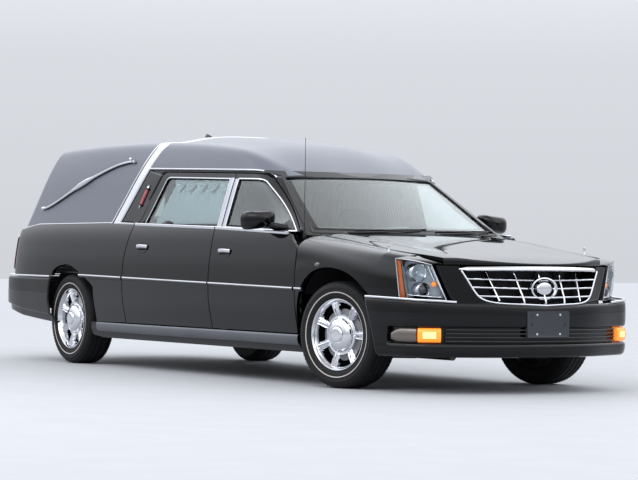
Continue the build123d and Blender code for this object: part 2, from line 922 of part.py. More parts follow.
plate_holder = plate_holder - bumper_whole
for screw_y in (-plate_screw_y, plate_screw_y):
    for screw_z in (plate_mid_z - plate_screw_z, plate_mid_z + plate_screw_z):
        screw_hole = Pos(front_x, screw_y, screw_z) * Rot(0, 90, 0) * Cylinder(plate_screw_radius, 120)
        plate_holder = plate_holder - screw_hole
        bumper_whole = bumper_whole - screw_hole
save("bumper_front", bumper_whole)
save("plate_holder", biggest(plate_holder))
save("front_lamps", Compound(children=[*both_sides(lamp_body).solids(), *both_sides(turn_lamp).solids()]))

# Grille: an outline and a grid of bars on the nose's curve. Columns: heights of bars, places of fins
frame_half = grille_half - grille_face(14)
bar_heights = (611.0, 669.0, 727.0)
fin_places = (0.0, 176.0, 352.0)
grid = frame_half + (Pos(273, grille_top_z - 14) * Rectangle(546, 28))
for height in bar_heights:
    grid = grid + (grille_half & (Pos(273, height) * Rectangle(546, grille_bar)))
for place in fin_places:
    grid = grid + (grille_half & (Pos(place, 680) * Rectangle(grille_bar, 260)))
grid = grid & grille_half
grille = cross_prism(grid, 2500, front_x + 100) & nose_slab(-4, grille_depth)
save("grille", biggest(grille + other_side(grille)))

# Rear bumper
rear_half = face_of(
    (rear_x, 0),
    (
        (rear_x + 22, 420, rear_x + 62, 700),
        (rear_x + 118, 850, rear_x + 260, 918),
        (rear_x + 560, 944, rear_axle_x - rear_arch_radius - 14, body_half_width),
        (rear_axle_x - rear_arch_radius - 14, body_half_width - bumper_wall),
        (rear_x + 560, 944 - bumper_wall, rear_x + 290, 918 - bumper_wall - 8),
        (rear_x + 178, 808, rear_x + 124, 680),
        (rear_x + 72, 420, rear_x + 62, 0),
    ),
)
rear_bumper = plan_prism(rear_half, 300, rear_bumper_top_z - 6)
rear_bumper = rear_bumper & side_prism(
    face_of(
        (rear_x - 10, 452),
        ((-2300, 380), (-2100, 372), (-2100, 900), (rear_x - 10, 900)),
    ),
    0,
    1300,
)
rear_whole = rear_bumper + other_side(rear_bumper)
save("bumper_rear", biggest(rear_whole))

# Floor, deck and seats
floor_low_z = floor_z - floor_thickness
floor = block(step_x, bulkhead_x - 4, -floor_half_width, floor_half_width, floor_low_z, floor_z)
floor = floor + block(
    step_x - floor_thickness, step_x, -floor_half_width, floor_half_width, floor_low_z, rear_floor_z
)
load_half = 560.0
rear_floor_low_z = rear_floor_z - floor_thickness
load_floor_low_z = load_floor_z - floor_thickness
floor = floor + block(
    load_step_x, step_x, -floor_half_width, floor_half_width, rear_floor_low_z, rear_floor_z
)
floor = floor + block(
    load_step_x - floor_thickness, load_step_x, -load_half, load_half, rear_floor_low_z, load_floor_z
)
floor = floor + block(-2880, load_step_x, -load_half, load_half, load_floor_low_z, load_floor_z)
bulkhead_back_x = bulkhead_x + floor_thickness
for from_x, top_z in ((bulkhead_x, bulkhead_top_z), (bulkhead_x - 4, floor_z)):
    floor = floor + block(
        from_x, bulkhead_back_x, -bulkhead_half_width, bulkhead_half_width, floor_low_z, top_z
    )
floor = floor + block(
    step_x, bulkhead_x - 4, -tunnel_half_width, tunnel_half_width, floor_z, floor_z + tunnel_height
)
save("floor_pan", floor)

deck_low_z = deck_z - deck_thickness
deck = block(deck_rear_x, deck_front_x, -deck_half_width, deck_half_width, deck_low_z, deck_z)
deck = deck + block(*deck_wing_x, -deck_wing_half_width, deck_wing_half_width, deck_low_z, deck_z)
for side in (-1, 1):
    centre = side * rail_y
    deck = deck + block(
        deck_rear_x + 90,
        deck_front_x - 100,
        centre - rail_half_width,
        centre + rail_half_width,
        deck_z,
        deck_z + rail_height,
    )
roller_half = rail_y - rail_half_width - 18
for roller_x in roller_places:
    deck = deck + cross_barrel(roller_x, -roller_half, roller_half, deck_z + 8, roller_radius)
for leg_x in leg_places:
    deck = deck + block(
        leg_x - leg_half_length,
        leg_x + leg_half_length,
        -leg_half_width,
        leg_half_width,
        load_floor_z,
        deck_low_z,
    )
deck_apron_x = deck_front_x - 50
deck = deck + block(
    deck_apron_x, deck_front_x, -deck_half_width, deck_half_width, rear_floor_z, deck_low_z
)
save("casket_deck", deck)


def seat(centre_y):
    """One front seat: cushion, leaning back and headrest on a base."""
    side = face_of(
        (430, 400),
        (
            (960, 400),
            (990, 440, 960, 490),
            (500, 470),
            (330, 1000),
            (280, 1010, 250, 980),
            (390, 430),
        ),
    )
    cushion = side_prism(side, centre_y - seat_half_width, centre_y + seat_half_width)
    head_face = face_of((300, 990), ((225, 1200), (180, 1185), (245, 975)))
    head = side_prism(head_face, centre_y - headrest_half_width, centre_y + headrest_half_width)
    base_low, base_high = centre_y - seat_base_half_width, centre_y + seat_base_half_width
    base = block(*seat_base_x, base_low, base_high, floor_z, seat_base_top_z)
    return cushion + head + base


seat_left = seat(seat_y)
save("front_seats", both_sides(seat_left))

dash_side = face_of(
    (bulkhead_x - 4, 620),
    ((bulkhead_x - 4, 940), (1500, 962), (1340, 965, 1250, 900), (1262, 780, 1330, 640)),
)
dashboard = side_prism(dash_side, -dash_half_width, dash_half_width)
save("dashboard", dashboard)

wheel_plane = Plane(origin=steering_centre, z_dir=(-0.9, 0, 0.436))
rim_outline = Plane.XZ * (Pos(steering_radius, 0) * RegularPolygon(steering_rim_radius, 6))
steering = wheel_plane * revolve(rim_outline, axis=Axis.Z)
steering = steering + wheel_plane * Pos(0, 0, -22) * Cylinder(steering_hub_radius, 50)
spoke_middle = (steering_radius + steering_hub_radius) / 2 - 12
for spoke in (0, 120, 240):
    steering = steering + wheel_plane * Rot(0, 0, spoke) * Pos(spoke_middle, 0, -14) * Box(150, 26, 14)
column = wheel_plane * Pos(0, 0, -130) * Cylinder(column_radius, 190)
save("steering_wheel", (steering + column) - dashboard)

# Engine and running gear
save("engine_block", block(*engine_x, -engine_half_width, engine_half_width, *engine_z))

cradle_inner, cradle_outer = cradle_rail_y
cradle_rear, cradle_front = cradle_x
cradle = block(cradle_rear, cradle_front, cradle_inner, cradle_outer, cradle_low_z, cradle_high_z)
for beam_x in (cradle_rear, cradle_front - cradle_beam):
    cradle = cradle + block(beam_x, beam_x + cradle_beam, 0, cradle_outer, cradle_low_z, cradle_high_z)
arm_face = face_of(
    (front_axle_x - 230, cradle_outer - 2),
    ((front_axle_x + 230, cradle_outer - 2), (front_axle_x + 40, 662), (front_axle_x - 40, 662)),
)
cradle = cradle + plan_prism(arm_face, arm_foot_z, cradle_low_z)
for bush_x in (front_axle_x - 230, front_axle_x + 190):
    cradle = cradle + block(
        bush_x, bush_x + 40, cradle_outer - 32, cradle_outer + 8, arm_foot_z, cradle_low_z + 14
    )
save("front_subframe", cradle + other_side(cradle))

knuckle_y = front_track / 2
kingpin_y = knuckle_y - kingpin_offset


def about_kingpin(part, side=1):
    """Turn a left front piece to the parked steering angle, on either side of the car."""
    centre = (front_axle_x, side * kingpin_y, 0)
    return Pos(*centre) * Rot(0, 0, rest_steer) * Pos(-centre[0], -centre[1], 0) * part


def knuckle(side):
    """Front hub carrier: upright with a strut clamp, steering arm and spindle."""
    y = side * knuckle_y
    inner = y - side * knuckle_inner
    outer = y - side * knuckle_outer
    low_z, high_z = tyre_radius - 118, tyre_radius + 150
    rear, front = front_axle_x - knuckle_half_length, front_axle_x + knuckle_half_length
    upright_block = block(rear, front, inner, outer, low_z, high_z)
    upright_block = fillet(upright_block.edges().filter_by(Axis.Y), knuckle_corner)
    spindle = cross_barrel(front_axle_x, outer, y + side * 40, tyre_radius, spindle_radius)
    arm_z = tyre_radius - 20
    arm = block(front_axle_x - 150, front_axle_x - 40, inner, inner + side * 26, arm_z, arm_z + 30)
    foot = upright(front_axle_x, (inner + outer) / 2, cradle_low_z + 6, tyre_radius - 100, ball_joint_radius)
    return about_kingpin(upright_block + spindle + arm + foot, side)


def tyre_profile():
    """Half section of a tyre: radius and width, turned about the axle."""
    half = tyre_width / 2
    bead = wheel_radius - 4
    return face_of(
        (bead, 13 - wheel_width / 2),
        (
            (bead + 40, -half),
            (bead + 66, -half + 2),
            (tyre_radius - 22, -half + 12),
            (tyre_radius, -half + 42),
            (tyre_radius, half - 42),
            (tyre_radius - 22, half - 12),
            (bead + 66, half - 2),
            (bead + 40, half),
            (bead, wheel_width / 2 - 13),
        ),
    )


def turned(profile):
    """A profile (radius, width) turned about the axle; width runs towards +Y."""
    return revolve(Plane.XY * profile, axis=Axis.Y)


def make_tyre():
    """One tyre about the origin."""
    return turned(tyre_profile())


def make_wheel():
    """One wheel with its bright cover, outer face towards +Y, about the origin."""
    half = wheel_width / 2
    r = wheel_radius - 4
    rim_steps = ((r + 4, -half), (r, -half + 12), (r, half - 12), (r + 4, half), (r - 16, half))
    barrel = turned(face_of((r - 16, -half), rim_steps))
    cover = turned(
        face_of(
            (spindle_radius + running_gap, 0),
            (
                (r - 12, 0),
                (r - 12, 62),
                (r - 40, 74),
                (150, 58),
                (112, 58),
                (104, 84),
                (60, 104),
                (spindle_radius + running_gap, 106),
            ),
        )
    )
    cap = Pos(0, 112, 0) * Rot(90, 0, 0) * Cylinder(46, 20)
    wheel = barrel + cover
    window = face_of((122, -24), ((192, -40), (200, 0), (192, 40), (122, 24)))
    for index in range(cover_windows):
        turn = 360 * (index + 0.5) / cover_windows
        cut = extrude(Plane.XY * window, amount=200, both=True)
        wheel = wheel - Rot(90, 0, 0) * Rot(0, 0, turn) * cut
    for index in range(cover_nuts):
        turn = 2 * pi * index / cover_nuts
        nut = Pos(86 * cos(turn), 84, 86 * sin(turn)) * extrude(Plane.XZ * RegularPolygon(10, 6), amount=-24)
        wheel = wheel + nut
    return wheel + cap


tyre_shape = make_tyre()
wheel_shape = make_wheel()

# One row per wheel: name, axle x, centre y, side, steered
wheel_rows = (
    ("front_left", front_axle_x, front_track / 2, 1, True),
    ("front_right", front_axle_x, -front_track / 2, -1, True),
    ("rear_left", rear_axle_x, rear_track / 2, 1, False),
    ("rear_right", rear_axle_x, -rear_track / 2, -1, False),
)
for name, axle_x, centre_y, side, steered in wheel_rows:
    spot = Pos(axle_x, centre_y, tyre_radius)
    wheel_part = wheel_shape if side > 0 else mirror(wheel_shape, about=Plane.XZ)
    wheel_part = spot * wheel_part
    tyre_part = spot * tyre_shape
    if steered:
        wheel_part = about_kingpin(wheel_part, side)
        tyre_part = about_kingpin(tyre_part, side)
    save("wheel_" + name, wheel_part)
    save("tyre_" + name, tyre_part)

save("knuckle_left", knuckle(1))
save("knuckle_right", knuckle(-1))

rear_y = rear_track / 2
carrier_y = rear_y - 74
beam_half = 60.0
carrier_half = 45.0
carrier_rise = 90.0
link_y = 520.0
link_half = 30.0
link_low_z = 300.0
link_reach = 520.0
strut_radius = 42.0
beam_z = (tyre_radius - 40, tyre_radius + 20)
rear_beam = block(rear_axle_x - beam_half, rear_axle_x + beam_half, 0, rear_y - 130, *beam_z)
rear_beam = rear_beam + block(
    rear_axle_x - carrier_half,
    rear_axle_x + carrier_half,
    rear_y - 190,
    carrier_y,
    tyre_radius - carrier_rise,
    tyre_radius + carrier_rise,
)
rear_beam = rear_beam + cross_barrel(rear_axle_x, carrier_y, rear_y + 40, tyre_radius, spindle_radius)
link_front = rear_axle_x + link_reach
link_sides = (link_y - link_half, link_y + link_half)
link_foot = (link_low_z, link_low_z + 2 * link_half)
rear_beam = rear_beam + block(rear_axle_x + 40, link_front, *link_sides, *link_foot)
rear_beam = rear_beam + block(
    link_front - 2 * link_half, link_front, *link_sides, link_low_z, rear_floor_z - floor_thickness
)
rear_beam = rear_beam + upright(
    rear_axle_x - 10, link_y, tyre_radius, load_floor_z - floor_thickness, strut_radius
)
save("rear_axle", rear_beam + other_side(rear_beam))

tank = block(*tank_x, -tank_half_width, tank_half_width, floor_z, tank_top_z)
save("fuel_tank", fillet(tank.edges().filter_by(Axis.Z), tank_corner))

# Columns: x, y, z of the corners of the tail pipe, which passes under the rear beam
tail_rows = (
    (muffler_x[0], tail_pipe_y, 262),
    (-1700, tail_pipe_y, 256),
    (-2000, tail_pipe_y, 262),
    (-2400, tail_pipe_y, 380),
    (-3030, tail_pipe_y, 380),
)
pipe = rod((2050, 0, pipe_z), (-960, 0, pipe_z), pipe_radius)
muffler = block(*muffler_x, -muffler_half_width, muffler_half_width, *muffler_z)
muffler = fillet(muffler.edges().filter_by(Axis.X), muffler_corner)
tail_pipe = rod(tail_rows[0], tail_rows[1], pipe_radius)
for start, end in zip(tail_rows[1:], tail_rows[2:]):
    tail_pipe = tail_pipe + rod(start, end, pipe_radius) + Pos(*start) * Sphere(pipe_radius)
save("exhaust", pipe + muffler + tail_pipe)

# Wheel houses: liners behind the arches, open below
liner_gap = 10.0
liner_wall = 7.0


def wheel_house(axle_x, radius, inner_y, outer_y, head_z):
    """One liner: a half barrel over the wheel, cut level under the deck where that is lower."""
    barrel = cross_barrel(axle_x, inner_y, outer_y, arch_z, radius + liner_gap + liner_wall)
    room = cross_barrel(axle_x, inner_y - 1, outer_y + 1, arch_z, radius + liner_gap)
    half = block(axle_x - 600, axle_x + 600, inner_y, outer_y, arch_z - 40, head_z)
    liner = (barrel - room) & half
    cap = (barrel & half) & block(axle_x - 600, axle_x + 600, inner_y, outer_y, head_z - liner_wall, head_z)
    return liner + cap if head_z < arch_z + radius else liner


outer_trim = fender + quarter + rear_bumper + bumper
front_house = wheel_house(front_axle_x, front_house_radius, 470, 880, 1000)
front_house = front_house - block(1500, door_front_x + 12, 0, 1300, 0, 1000)
rear_house = wheel_house(rear_axle_x, rear_arch_radius, 566, 866, deck_z - deck_thickness)
houses = [biggest(front_house - side_frame - outer_trim), biggest(rear_house - side_frame - outer_trim)]
mirrored = [other_side(house) for house in houses]
save("wheel_houses", Compound(children=[*houses, *[solid for part in mirrored for solid in part.solids()]]))

# Flag posts on the fenders, a mast aerial on the right fender and a small fin on the roof
post_x, post_y, post_top = 2443.0, 776.0, 925.0
posts = upright(post_x, post_y, 845, post_top, 5) + upright(post_x, post_y, 845, 880, 11)
posts = posts - outer_low
posts_both = both_sides(biggest(posts))
mast = upright(1506, -826, 960, 1624, 2.6) + upright(1506, -826, 960, 1010, 12)
mast = biggest(mast - other_side(outer_low) - outer_up)
fin = side_prism(face_of((-1330, 1730), ((-1200, 1730), (-1262, 1778), (-1310, 1784))), -13, 13)
fin = biggest(fin - outer_up)
save("masts", Compound(children=[*posts_both.solids(), mast, fin]))
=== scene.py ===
"""Looks of a long black funeral coach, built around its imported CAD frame.

Every new surface is worked out with numpy from named sizes in metres, in the row frame: +X forward,
+Y to the coach's left, +Z up, with the origin on the ground under the middle of the body.
"""

import json
import logging
import math
from dataclasses import dataclass, field
from enum import Enum
from typing import Optional, Sequence

import bpy
import numpy as np
from mathutils import Matrix

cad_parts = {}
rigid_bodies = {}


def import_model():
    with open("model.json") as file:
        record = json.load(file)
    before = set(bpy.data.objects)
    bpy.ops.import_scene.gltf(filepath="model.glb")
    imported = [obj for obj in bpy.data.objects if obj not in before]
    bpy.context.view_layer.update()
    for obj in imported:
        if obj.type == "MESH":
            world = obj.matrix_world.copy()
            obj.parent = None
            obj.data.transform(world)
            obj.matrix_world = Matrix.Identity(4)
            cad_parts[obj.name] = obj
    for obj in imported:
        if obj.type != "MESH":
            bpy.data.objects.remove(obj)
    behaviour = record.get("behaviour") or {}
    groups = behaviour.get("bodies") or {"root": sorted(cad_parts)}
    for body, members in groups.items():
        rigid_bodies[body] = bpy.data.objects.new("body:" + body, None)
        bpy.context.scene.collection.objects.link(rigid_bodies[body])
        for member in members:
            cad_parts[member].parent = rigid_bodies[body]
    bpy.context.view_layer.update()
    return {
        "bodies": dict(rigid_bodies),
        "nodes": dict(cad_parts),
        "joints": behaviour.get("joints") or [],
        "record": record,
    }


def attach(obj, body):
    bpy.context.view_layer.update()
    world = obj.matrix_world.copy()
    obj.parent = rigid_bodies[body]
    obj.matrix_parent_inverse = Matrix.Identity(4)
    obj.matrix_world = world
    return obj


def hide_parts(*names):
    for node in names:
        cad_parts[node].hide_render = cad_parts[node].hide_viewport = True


LOG = logging.getLogger("coach")
Array = np.ndarray
Rows = Sequence[Sequence[float]]
Point = tuple[float, float, float]
SIDES = ((1, "left"), (-1, "right"))


# Curves and tables


def cubic(table: Rows, x: Array) -> Array:
    """Natural cubic through a table's rows.

    Args:
        table: rows whose first column is the place, in rising order, and the others its values.
        x: places to read the curve at.

    Returns:
        One row of values per place. Between rows the curve is the cubic whose second derivative
        runs straight from row to row and is nil at both ends.
    """
    rows = np.asarray(table, float)
    xs, ys = rows[:, 0], rows[:, 1:]
    h = np.diff(xs)
    count = len(xs)
    system = np.eye(count)
    right = np.zeros_like(ys)
    for k in range(1, count - 1):
        system[k, k - 1 : k + 2] = h[k - 1], 2 * (h[k - 1] + h[k]), h[k]
        right[k] = 6 * ((ys[k + 1] - ys[k]) / h[k] - (ys[k] - ys[k - 1]) / h[k - 1])
    bend = np.linalg.solve(system, right)
    place = np.clip(np.asarray(x, float), xs[0], xs[-1])
    k = np.clip(np.searchsorted(xs, place) - 1, 0, count - 2)
    step = h[k]
    a = ((xs[k + 1] - place) / step)[..., None]
    b = ((place - xs[k]) / step)[..., None]
    span = (step**2 / 6)[..., None]
    return a * ys[k] + b * ys[k + 1] + ((a**3 - a) * bend[k] + (b**3 - b) * bend[k + 1]) * span


def straight(table: Rows, x: Array) -> Array:
    """Second column of a table at places of its first, by straight steps between the rows."""
    rows = np.asarray(table, float)
    return np.interp(x, rows[:, 0], rows[:, 1])


def chord(points: Array) -> Array:
    """Length along a polyline at each of its points."""
    return np.concatenate([[0.0], np.cumsum(np.linalg.norm(np.diff(points, axis=0), axis=1))])


def unit(vectors: Array) -> Array:
    """Vectors along the last axis, brought to length one."""
    return vectors / np.linalg.norm(vectors, axis=-1, keepdims=True)


def full_turn(count: int) -> Array:
    """Even steps of a full turn, in radians, without its end."""
    return np.linspace(0, 2 * math.pi, count, endpoint=False)


def ruled(first: Array, second: Array, count: int) -> Array:
    """Grid of straight lines between two curves with the same number of points."""
    share = np.linspace(0, 1, count)[None, :, None]
    return first[:, None] * (1 - share) + second[:, None] * share


def resample(points: Rows, count: int) -> Array:
    """A polyline's points at even steps of its length."""
    pts = np.asarray(points, float)
    along = chord(pts)
    at = np.linspace(0, along[-1], count)
    return np.stack([np.interp(at, along, pts[:, k]) for k in range(pts.shape[1])], axis=1)


def smooth(points: Rows, count: int, closed: bool = False) -> Array:
    """A smooth curve through a few points: natural cubics over chord length, sampled evenly."""
    pts = np.asarray(points, float)
    if closed:
        pts = np.concatenate([pts[-3:], pts, pts[:4]])
    along = chord(pts)
    low, high = (along[3], along[-4]) if closed else (0.0, along[-1])
    dense = cubic(np.column_stack([along, pts]), np.linspace(low, high, count * 8))
    return resample(dense, count)


def coons(bottom: Array, top: Array, left: Array, right: Array, nu: int, nv: int) -> Array:
    """Grid between four boundary curves: the two ruled surfaces less the corners' bilinear one.

    Args:
        bottom: curve from the left curve's start to the right curve's start.
        top: curve between their ends.
        left: curve from bottom to top at the start.
        right: curve from bottom to top at the end.
        nu: points along bottom and top.
        nv: points along left and right.

    Returns:
        Points of shape (nu, nv, 2 or 3).
    """
    low, high = resample(bottom, nu), resample(top, nu)
    first, last = resample(left, nv), resample(right, nv)
    u = np.linspace(0, 1, nu)[:, None, None]
    v = np.linspace(0, 1, nv)[None, :, None]
    both = (1 - v) * low[:, None] + v * high[:, None] + (1 - u) * first[None] + u * last[None]
    corners = (1 - u) * ((1 - v) * low[0] + v * high[0]) + u * ((1 - v) * low[-1] + v * high[-1])
    return both - corners


def rounded(width: float, height: float, radius: float, steps: int = 5) -> Array:
    """Closed outline of a rectangle with round corners, centred, counter-clockwise."""
    r = min(radius, width / 2 * 0.999, height / 2 * 0.999)
    turn = np.linspace(0, math.pi / 2, steps)
    arc = np.stack([np.cos(turn), np.sin(turn)], axis=1) * r
    spins = [np.array([[c, s], [-s, c]]) for c, s in ((1, 0), (0, 1), (-1, 0), (0, -1))]
    centres = np.array([[1, 1], [-1, 1], [-1, -1], [1, -1]]) * [width / 2 - r, height / 2 - r]
    return np.concatenate([arc @ spin + centre for spin, centre in zip(spins, centres)])


def upright(outline: Array, x: float, y: float, z: float) -> Array:
    """An outline of the front view set at a place along the car, its middle moved to y, z."""
    return np.stack([np.full(len(outline), x), outline[:, 0] + y, outline[:, 1] + z], axis=1)


def level(outline: Array, x: float, y: float, z: float) -> Array:
    """An outline of the plan view set at a height, its middle moved to x, y."""
    return np.stack([outline[:, 0] + x, outline[:, 1] + y, np.full(len(outline), z)], axis=1)


def sweep(path: Array, section: Array, up: Array, scale: Optional[Array] = None) -> Array:
    """A section carried along a path: path + a * side + b * up, with side across path and up.

    Args:
        path: points (n, 3).
        section: closed outline (m, 2); its first column runs along side, its second along up.
        up: one direction, or one per point.
        scale: size of the section at each point.

    Returns:
        Points (n, m, 3).
    """
    tangent = unit(np.gradient(path, axis=0))
    side = unit(np.cross(tangent, np.broadcast_to(np.asarray(up, float), path.shape)))
    high = np.cross(side, tangent)
    size = np.ones(len(path)) if scale is None else scale
    spread = section[None] * size[:, None, None]
    return path[:, None] + spread[..., :1] * side[:, None] + spread[..., 1:] * high[:, None]


def lathe(profile: Rows, count: int, centre: Point, axis: int = 1) -> Array:
    """A profile (radius, width) turned about an axis through centre; width runs along the axis."""
    rows = np.asarray(profile, float)
    turn = full_turn(count)
    grid = np.zeros((count, len(rows), 3))
    others = [k for k in range(3) if k != axis]
    grid[..., others[0]] = np.cos(turn)[:, None] * rows[None, :, 0]
    grid[..., others[1]] = np.sin(turn)[:, None] * rows[None, :, 0]
    grid[..., axis] = rows[None, :, 1]
    return grid + np.asarray(centre)


# Materials


def linear(code: str) -> tuple[float, float, float, float]:
    """An sRGB hex colour as linear light, with full alpha."""
    parts = [int(code[k : k + 2], 16) / 255 for k in (1, 3, 5)]
    lit = [c / 12.92 if c <= 0.04045 else ((c + 0.055) / 1.055) ** 2.4 for c in parts]
    return (lit[0], lit[1], lit[2], 1.0)


def add_node(
    tree: bpy.types.NodeTree, kind: str, settings: Optional[dict] = None, **sockets: object
) -> bpy.types.Node:
    """Add one node with its settings and inputs.

    Args:
        tree: node tree.
        kind: the node's type name.
        settings: the node's own properties.
        sockets: input names, with _ for a space, to a value or an output socket to link.

    Returns:
        The new node.
    """
    made = tree.nodes.new(kind)
    for key, value in (settings or {}).items():
        setattr(made, key, value)
    for key, value in sockets.items():
        target = made.inputs[key.replace("_", " ")]
        if isinstance(value, bpy.types.NodeSocket):
            tree.links.new(value, target)
        else:
            target.default_value = value
    return made


class Pattern(Enum):
    """How a finish's surface varies."""

    POLISHED = "polished"
    GRAINED = "grained"
    BRUSHED = "brushed"
    WOVEN = "woven"
    RIBBED = "ribbed"
    CAST = "cast"


@dataclass(frozen=True)
class Finish:
    """One finish: what it is made of and how that looks."""

    name: str
    slot: str
    colour: str
    roughness: float
    metallic: float = 0.0
    pattern: Pattern = Pattern.POLISHED
    size_mm: float = 40.0
    depth_mm: float = 0.02
    tint: str = ""
    ior: float = 1.5
    coat: float = 0.0
    sheen: float = 0.0
    clear: float = 0.0
    glow: float = 0.0
    stretch: Point = (1.0, 1.0, 1.0)

    def material(self) -> bpy.types.Material:
        """The material of this finish, made once."""
        found = bpy.data.materials.get(self.name)
        return found if found else self._build()

    def _build(self) -> bpy.types.Material:
        """Principled shader: noise at the pattern's real size varies colour, roughness and bump."""
        made = bpy.data.materials.new(self.name)
        made.use_nodes = True
        tree = made.node_tree
        tree.nodes.clear()
        place = add_node(tree, "ShaderNodeTexCoord")
        mapped = add_node(tree, "ShaderNodeMapping", Vector=place.outputs["Object"], Scale=self.stretch)
        field_out = self._field(tree, mapped.outputs[0])
        broad = add_node(
            tree, "ShaderNodeTexNoise", Vector=place.outputs["Object"], Scale=3.0, Detail=4.0
        )
        mix = add_node(
            tree,
            "ShaderNodeMix",
            {"data_type": "RGBA"},
            Factor=broad.outputs[0],
        )
        mix.inputs[6].default_value = linear(self.colour)
        mix.inputs[7].default_value = linear(self.tint or self.colour)
        rough = add_node(
            tree,
            "ShaderNodeMapRange",
            Value=broad.outputs[0],
            To_Min=self.roughness * 0.85,
            To_Max=min(1.0, self.roughness * 1.15 + 0.005),
        )
        bump = add_node(
            tree,
            "ShaderNodeBump",
            Height=field_out,
            Distance=self.depth_mm / 1000,
            Strength=1.0,
        )
        shader = add_node(
            tree,
            "ShaderNodeBsdfPrincipled",
            Base_Color=mix.outputs[2],
            Roughness=rough.outputs[0],
            Metallic=self.metallic,
            IOR=self.ior,
            Normal=bump.outputs[0],
            Coat_Weight=self.coat,
            Coat_Roughness=0.03,
            Sheen_Weight=self.sheen,
            Sheen_Roughness=0.4,
            Transmission_Weight=self.clear,
        )
        if self.glow:
            shader.inputs["Emission Color"].default_value = linear(self.colour)
            shader.inputs["Emission Strength"].default_value = self.glow
        add_node(tree, "ShaderNodeOutputMaterial", Surface=shader.outputs[0])
        return made

    def _field(self, tree: bpy.types.NodeTree, place: bpy.types.NodeSocket) -> bpy.types.NodeSocket:
        """Height field of the pattern, scaled from its real size."""
        per_metre = 1000.0 / self.size_mm
        if self.pattern is Pattern.GRAINED:
            cells = add_node(
                tree, "ShaderNodeTexVoronoi", {"feature": "SMOOTH_F1"}, Vector=place, Scale=per_metre
            )
            return cells.outputs["Distance"]
        if self.pattern in (Pattern.WOVEN, Pattern.RIBBED):
            direction = "Z" if self.pattern is Pattern.WOVEN else "X"
            wave = add_node(
                tree,
                "ShaderNodeTexWave",
                {"wave_type": "BANDS", "bands_direction": direction, "wave_profile": "SIN"},
                Vector=place,
                Scale=per_metre / 3.2,
                Distortion=1.5 if self.pattern is Pattern.WOVEN else 0.0,
                Detail=2.0,
            )
            return wave.outputs["Fac"]
        noise = add_node(tree, "ShaderNodeTexNoise", Vector=place, Scale=per_metre, Detail=3.0)
        return noise.outputs[0]


# Sprayed lacquer under clear coat: deep black, with a faint orange peel a few centimetres wide
LACQUER = Finish(
    "gloss_lacquer", "body_paint", "#040406", 0.03, size_mm=30, depth_mm=0.006, tint="#060608", ior=1.36
)
# Grained roof vinyl: soft satin, a fine leather-like grain drawn at 3 mm so that it shows. The black vinyl
# is given a light blue-grey colour: a painted sheen of the bright sky on its satin surface
VINYL = Finish(
    "grained_vinyl_painted_sheen", "vinyl", "#454955", 0.40, pattern=Pattern.GRAINED, size_mm=3.0, depth_mm=0.22,
    tint="#505462", sheen=0.35,
)
# Chrome plate: mirror bright, with a very slight wave of the pressed metal below it
CHROME = Finish(
    "chrome_plate", "bright_trim", "#dcdde0", 0.05, 1.0, size_mm=25, depth_mm=0.02, tint="#cfd1d6"
)
# Bright rolled stainless strip: straight fine lines along the car
STAINLESS = Finish(
    "rolled_stainless", "bright_trim", "#b9bbc0", 0.26, 1.0, Pattern.BRUSHED, 1.5, 0.012, "#a6a9b0",
    stretch=(0.02, 1, 1),
)
# Satin rocker strip: the same steel, rougher, and darker in colour; the darker colour is painted shade on
# the low strip
SATIN = Finish(
    "satin_stainless_painted_shade", "bright_trim", "#74767b", 0.40, 1.0, Pattern.BRUSHED, 1.5, 0.012, "#66686d",
    stretch=(0.02, 1, 1),
)
# Toughened glass, faintly green
PANE = Finish(
    "tinted_glass", "window_glass", "#d3dfdd", 0.02, size_mm=200, depth_mm=0.0, clear=1.0,
    tint="#cddad9",
)
# Vulcanised rubber: matt, slightly grey where it is dusty, and its white twin in the sidewall
RUBBER = Finish(
    "tyre_rubber", "tyre", "#0e0e10", 0.7, pattern=Pattern.CAST, size_mm=6, depth_mm=0.12,
    tint="#151516", ior=1.35,
)
WHITEWALL = Finish(
    "white_rubber", "tyre", "#b9b2ad", 0.55, pattern=Pattern.CAST, size_mm=8, depth_mm=0.05,
    tint="#a9a29c",
)
# Moulded black ABS with a spark-eroded grain, and a greyer one for the plate brackets
MOULDED = Finish(
    "moulded_black", "dark_plastic", "#141416", 0.45, pattern=Pattern.GRAINED, size_mm=1.6,
    depth_mm=0.06, tint="#1b1b1e",
)
BRACKET = Finish(
    "bracket_plastic", "dark_plastic", "#23262b", 0.4, pattern=Pattern.GRAINED, size_mm=1.6,
    depth_mm=0.05, tint="#2b2e34",
)
# Extruded black sealing rubber, also for painted black lines
SEAL = Finish(
    "seal_rubber", "dark_plastic", "#08080a", 0.5, size_mm=10, depth_mm=0.03, tint="#0d0d0f", ior=1.3
)
# Unlit hollow behind an opening: nearly no reflection
HOLLOW = Finish(
    "unlit_hollow", "dark_plastic", "#030304", 0.95, size_mm=10, depth_mm=0.02, tint="#050506", ior=1.05
)
# Clear moulded polycarbonate, thin enough to bend little light
CLEAR_LENS = Finish(
    "clear_cover", "clear_lens", "#f2f5f7", 0.015, size_mm=60, depth_mm=0.0, clear=1.0, tint="#eef2f5",
    ior=1.2,
)
# Ribbed red tail lens, amber reflector and lit amber lens of moulded acrylic
RED_LENS = Finish(
    "ribbed_red_lens", "red_lens", "#8c0d10", 0.1, pattern=Pattern.RIBBED, size_mm=8, depth_mm=0.3,
    tint="#7a0a0d", coat=0.5,
)
AMBER_LENS = Finish(
    "amber_lens", "clear_lens", "#d8660f", 0.12, pattern=Pattern.RIBBED, size_mm=6, depth_mm=0.2,
    tint="#c95a0a", coat=0.5,
)
AMBER_LIT = Finish(
    "amber_lit", "clear_lens", "#f07f1c", 0.2, pattern=Pattern.RIBBED, size_mm=7, depth_mm=0.3,
    tint="#ff9c3e", glow=0.75,
)
# The bulb's glow in the middle of the amber lens
FILAMENT = Finish(
    "amber_glow", "clear_lens", "#ffc873", 0.3, pattern=Pattern.RIBBED, size_mm=7, depth_mm=0.3,
    tint="#ffe0a8", glow=0.9,
)
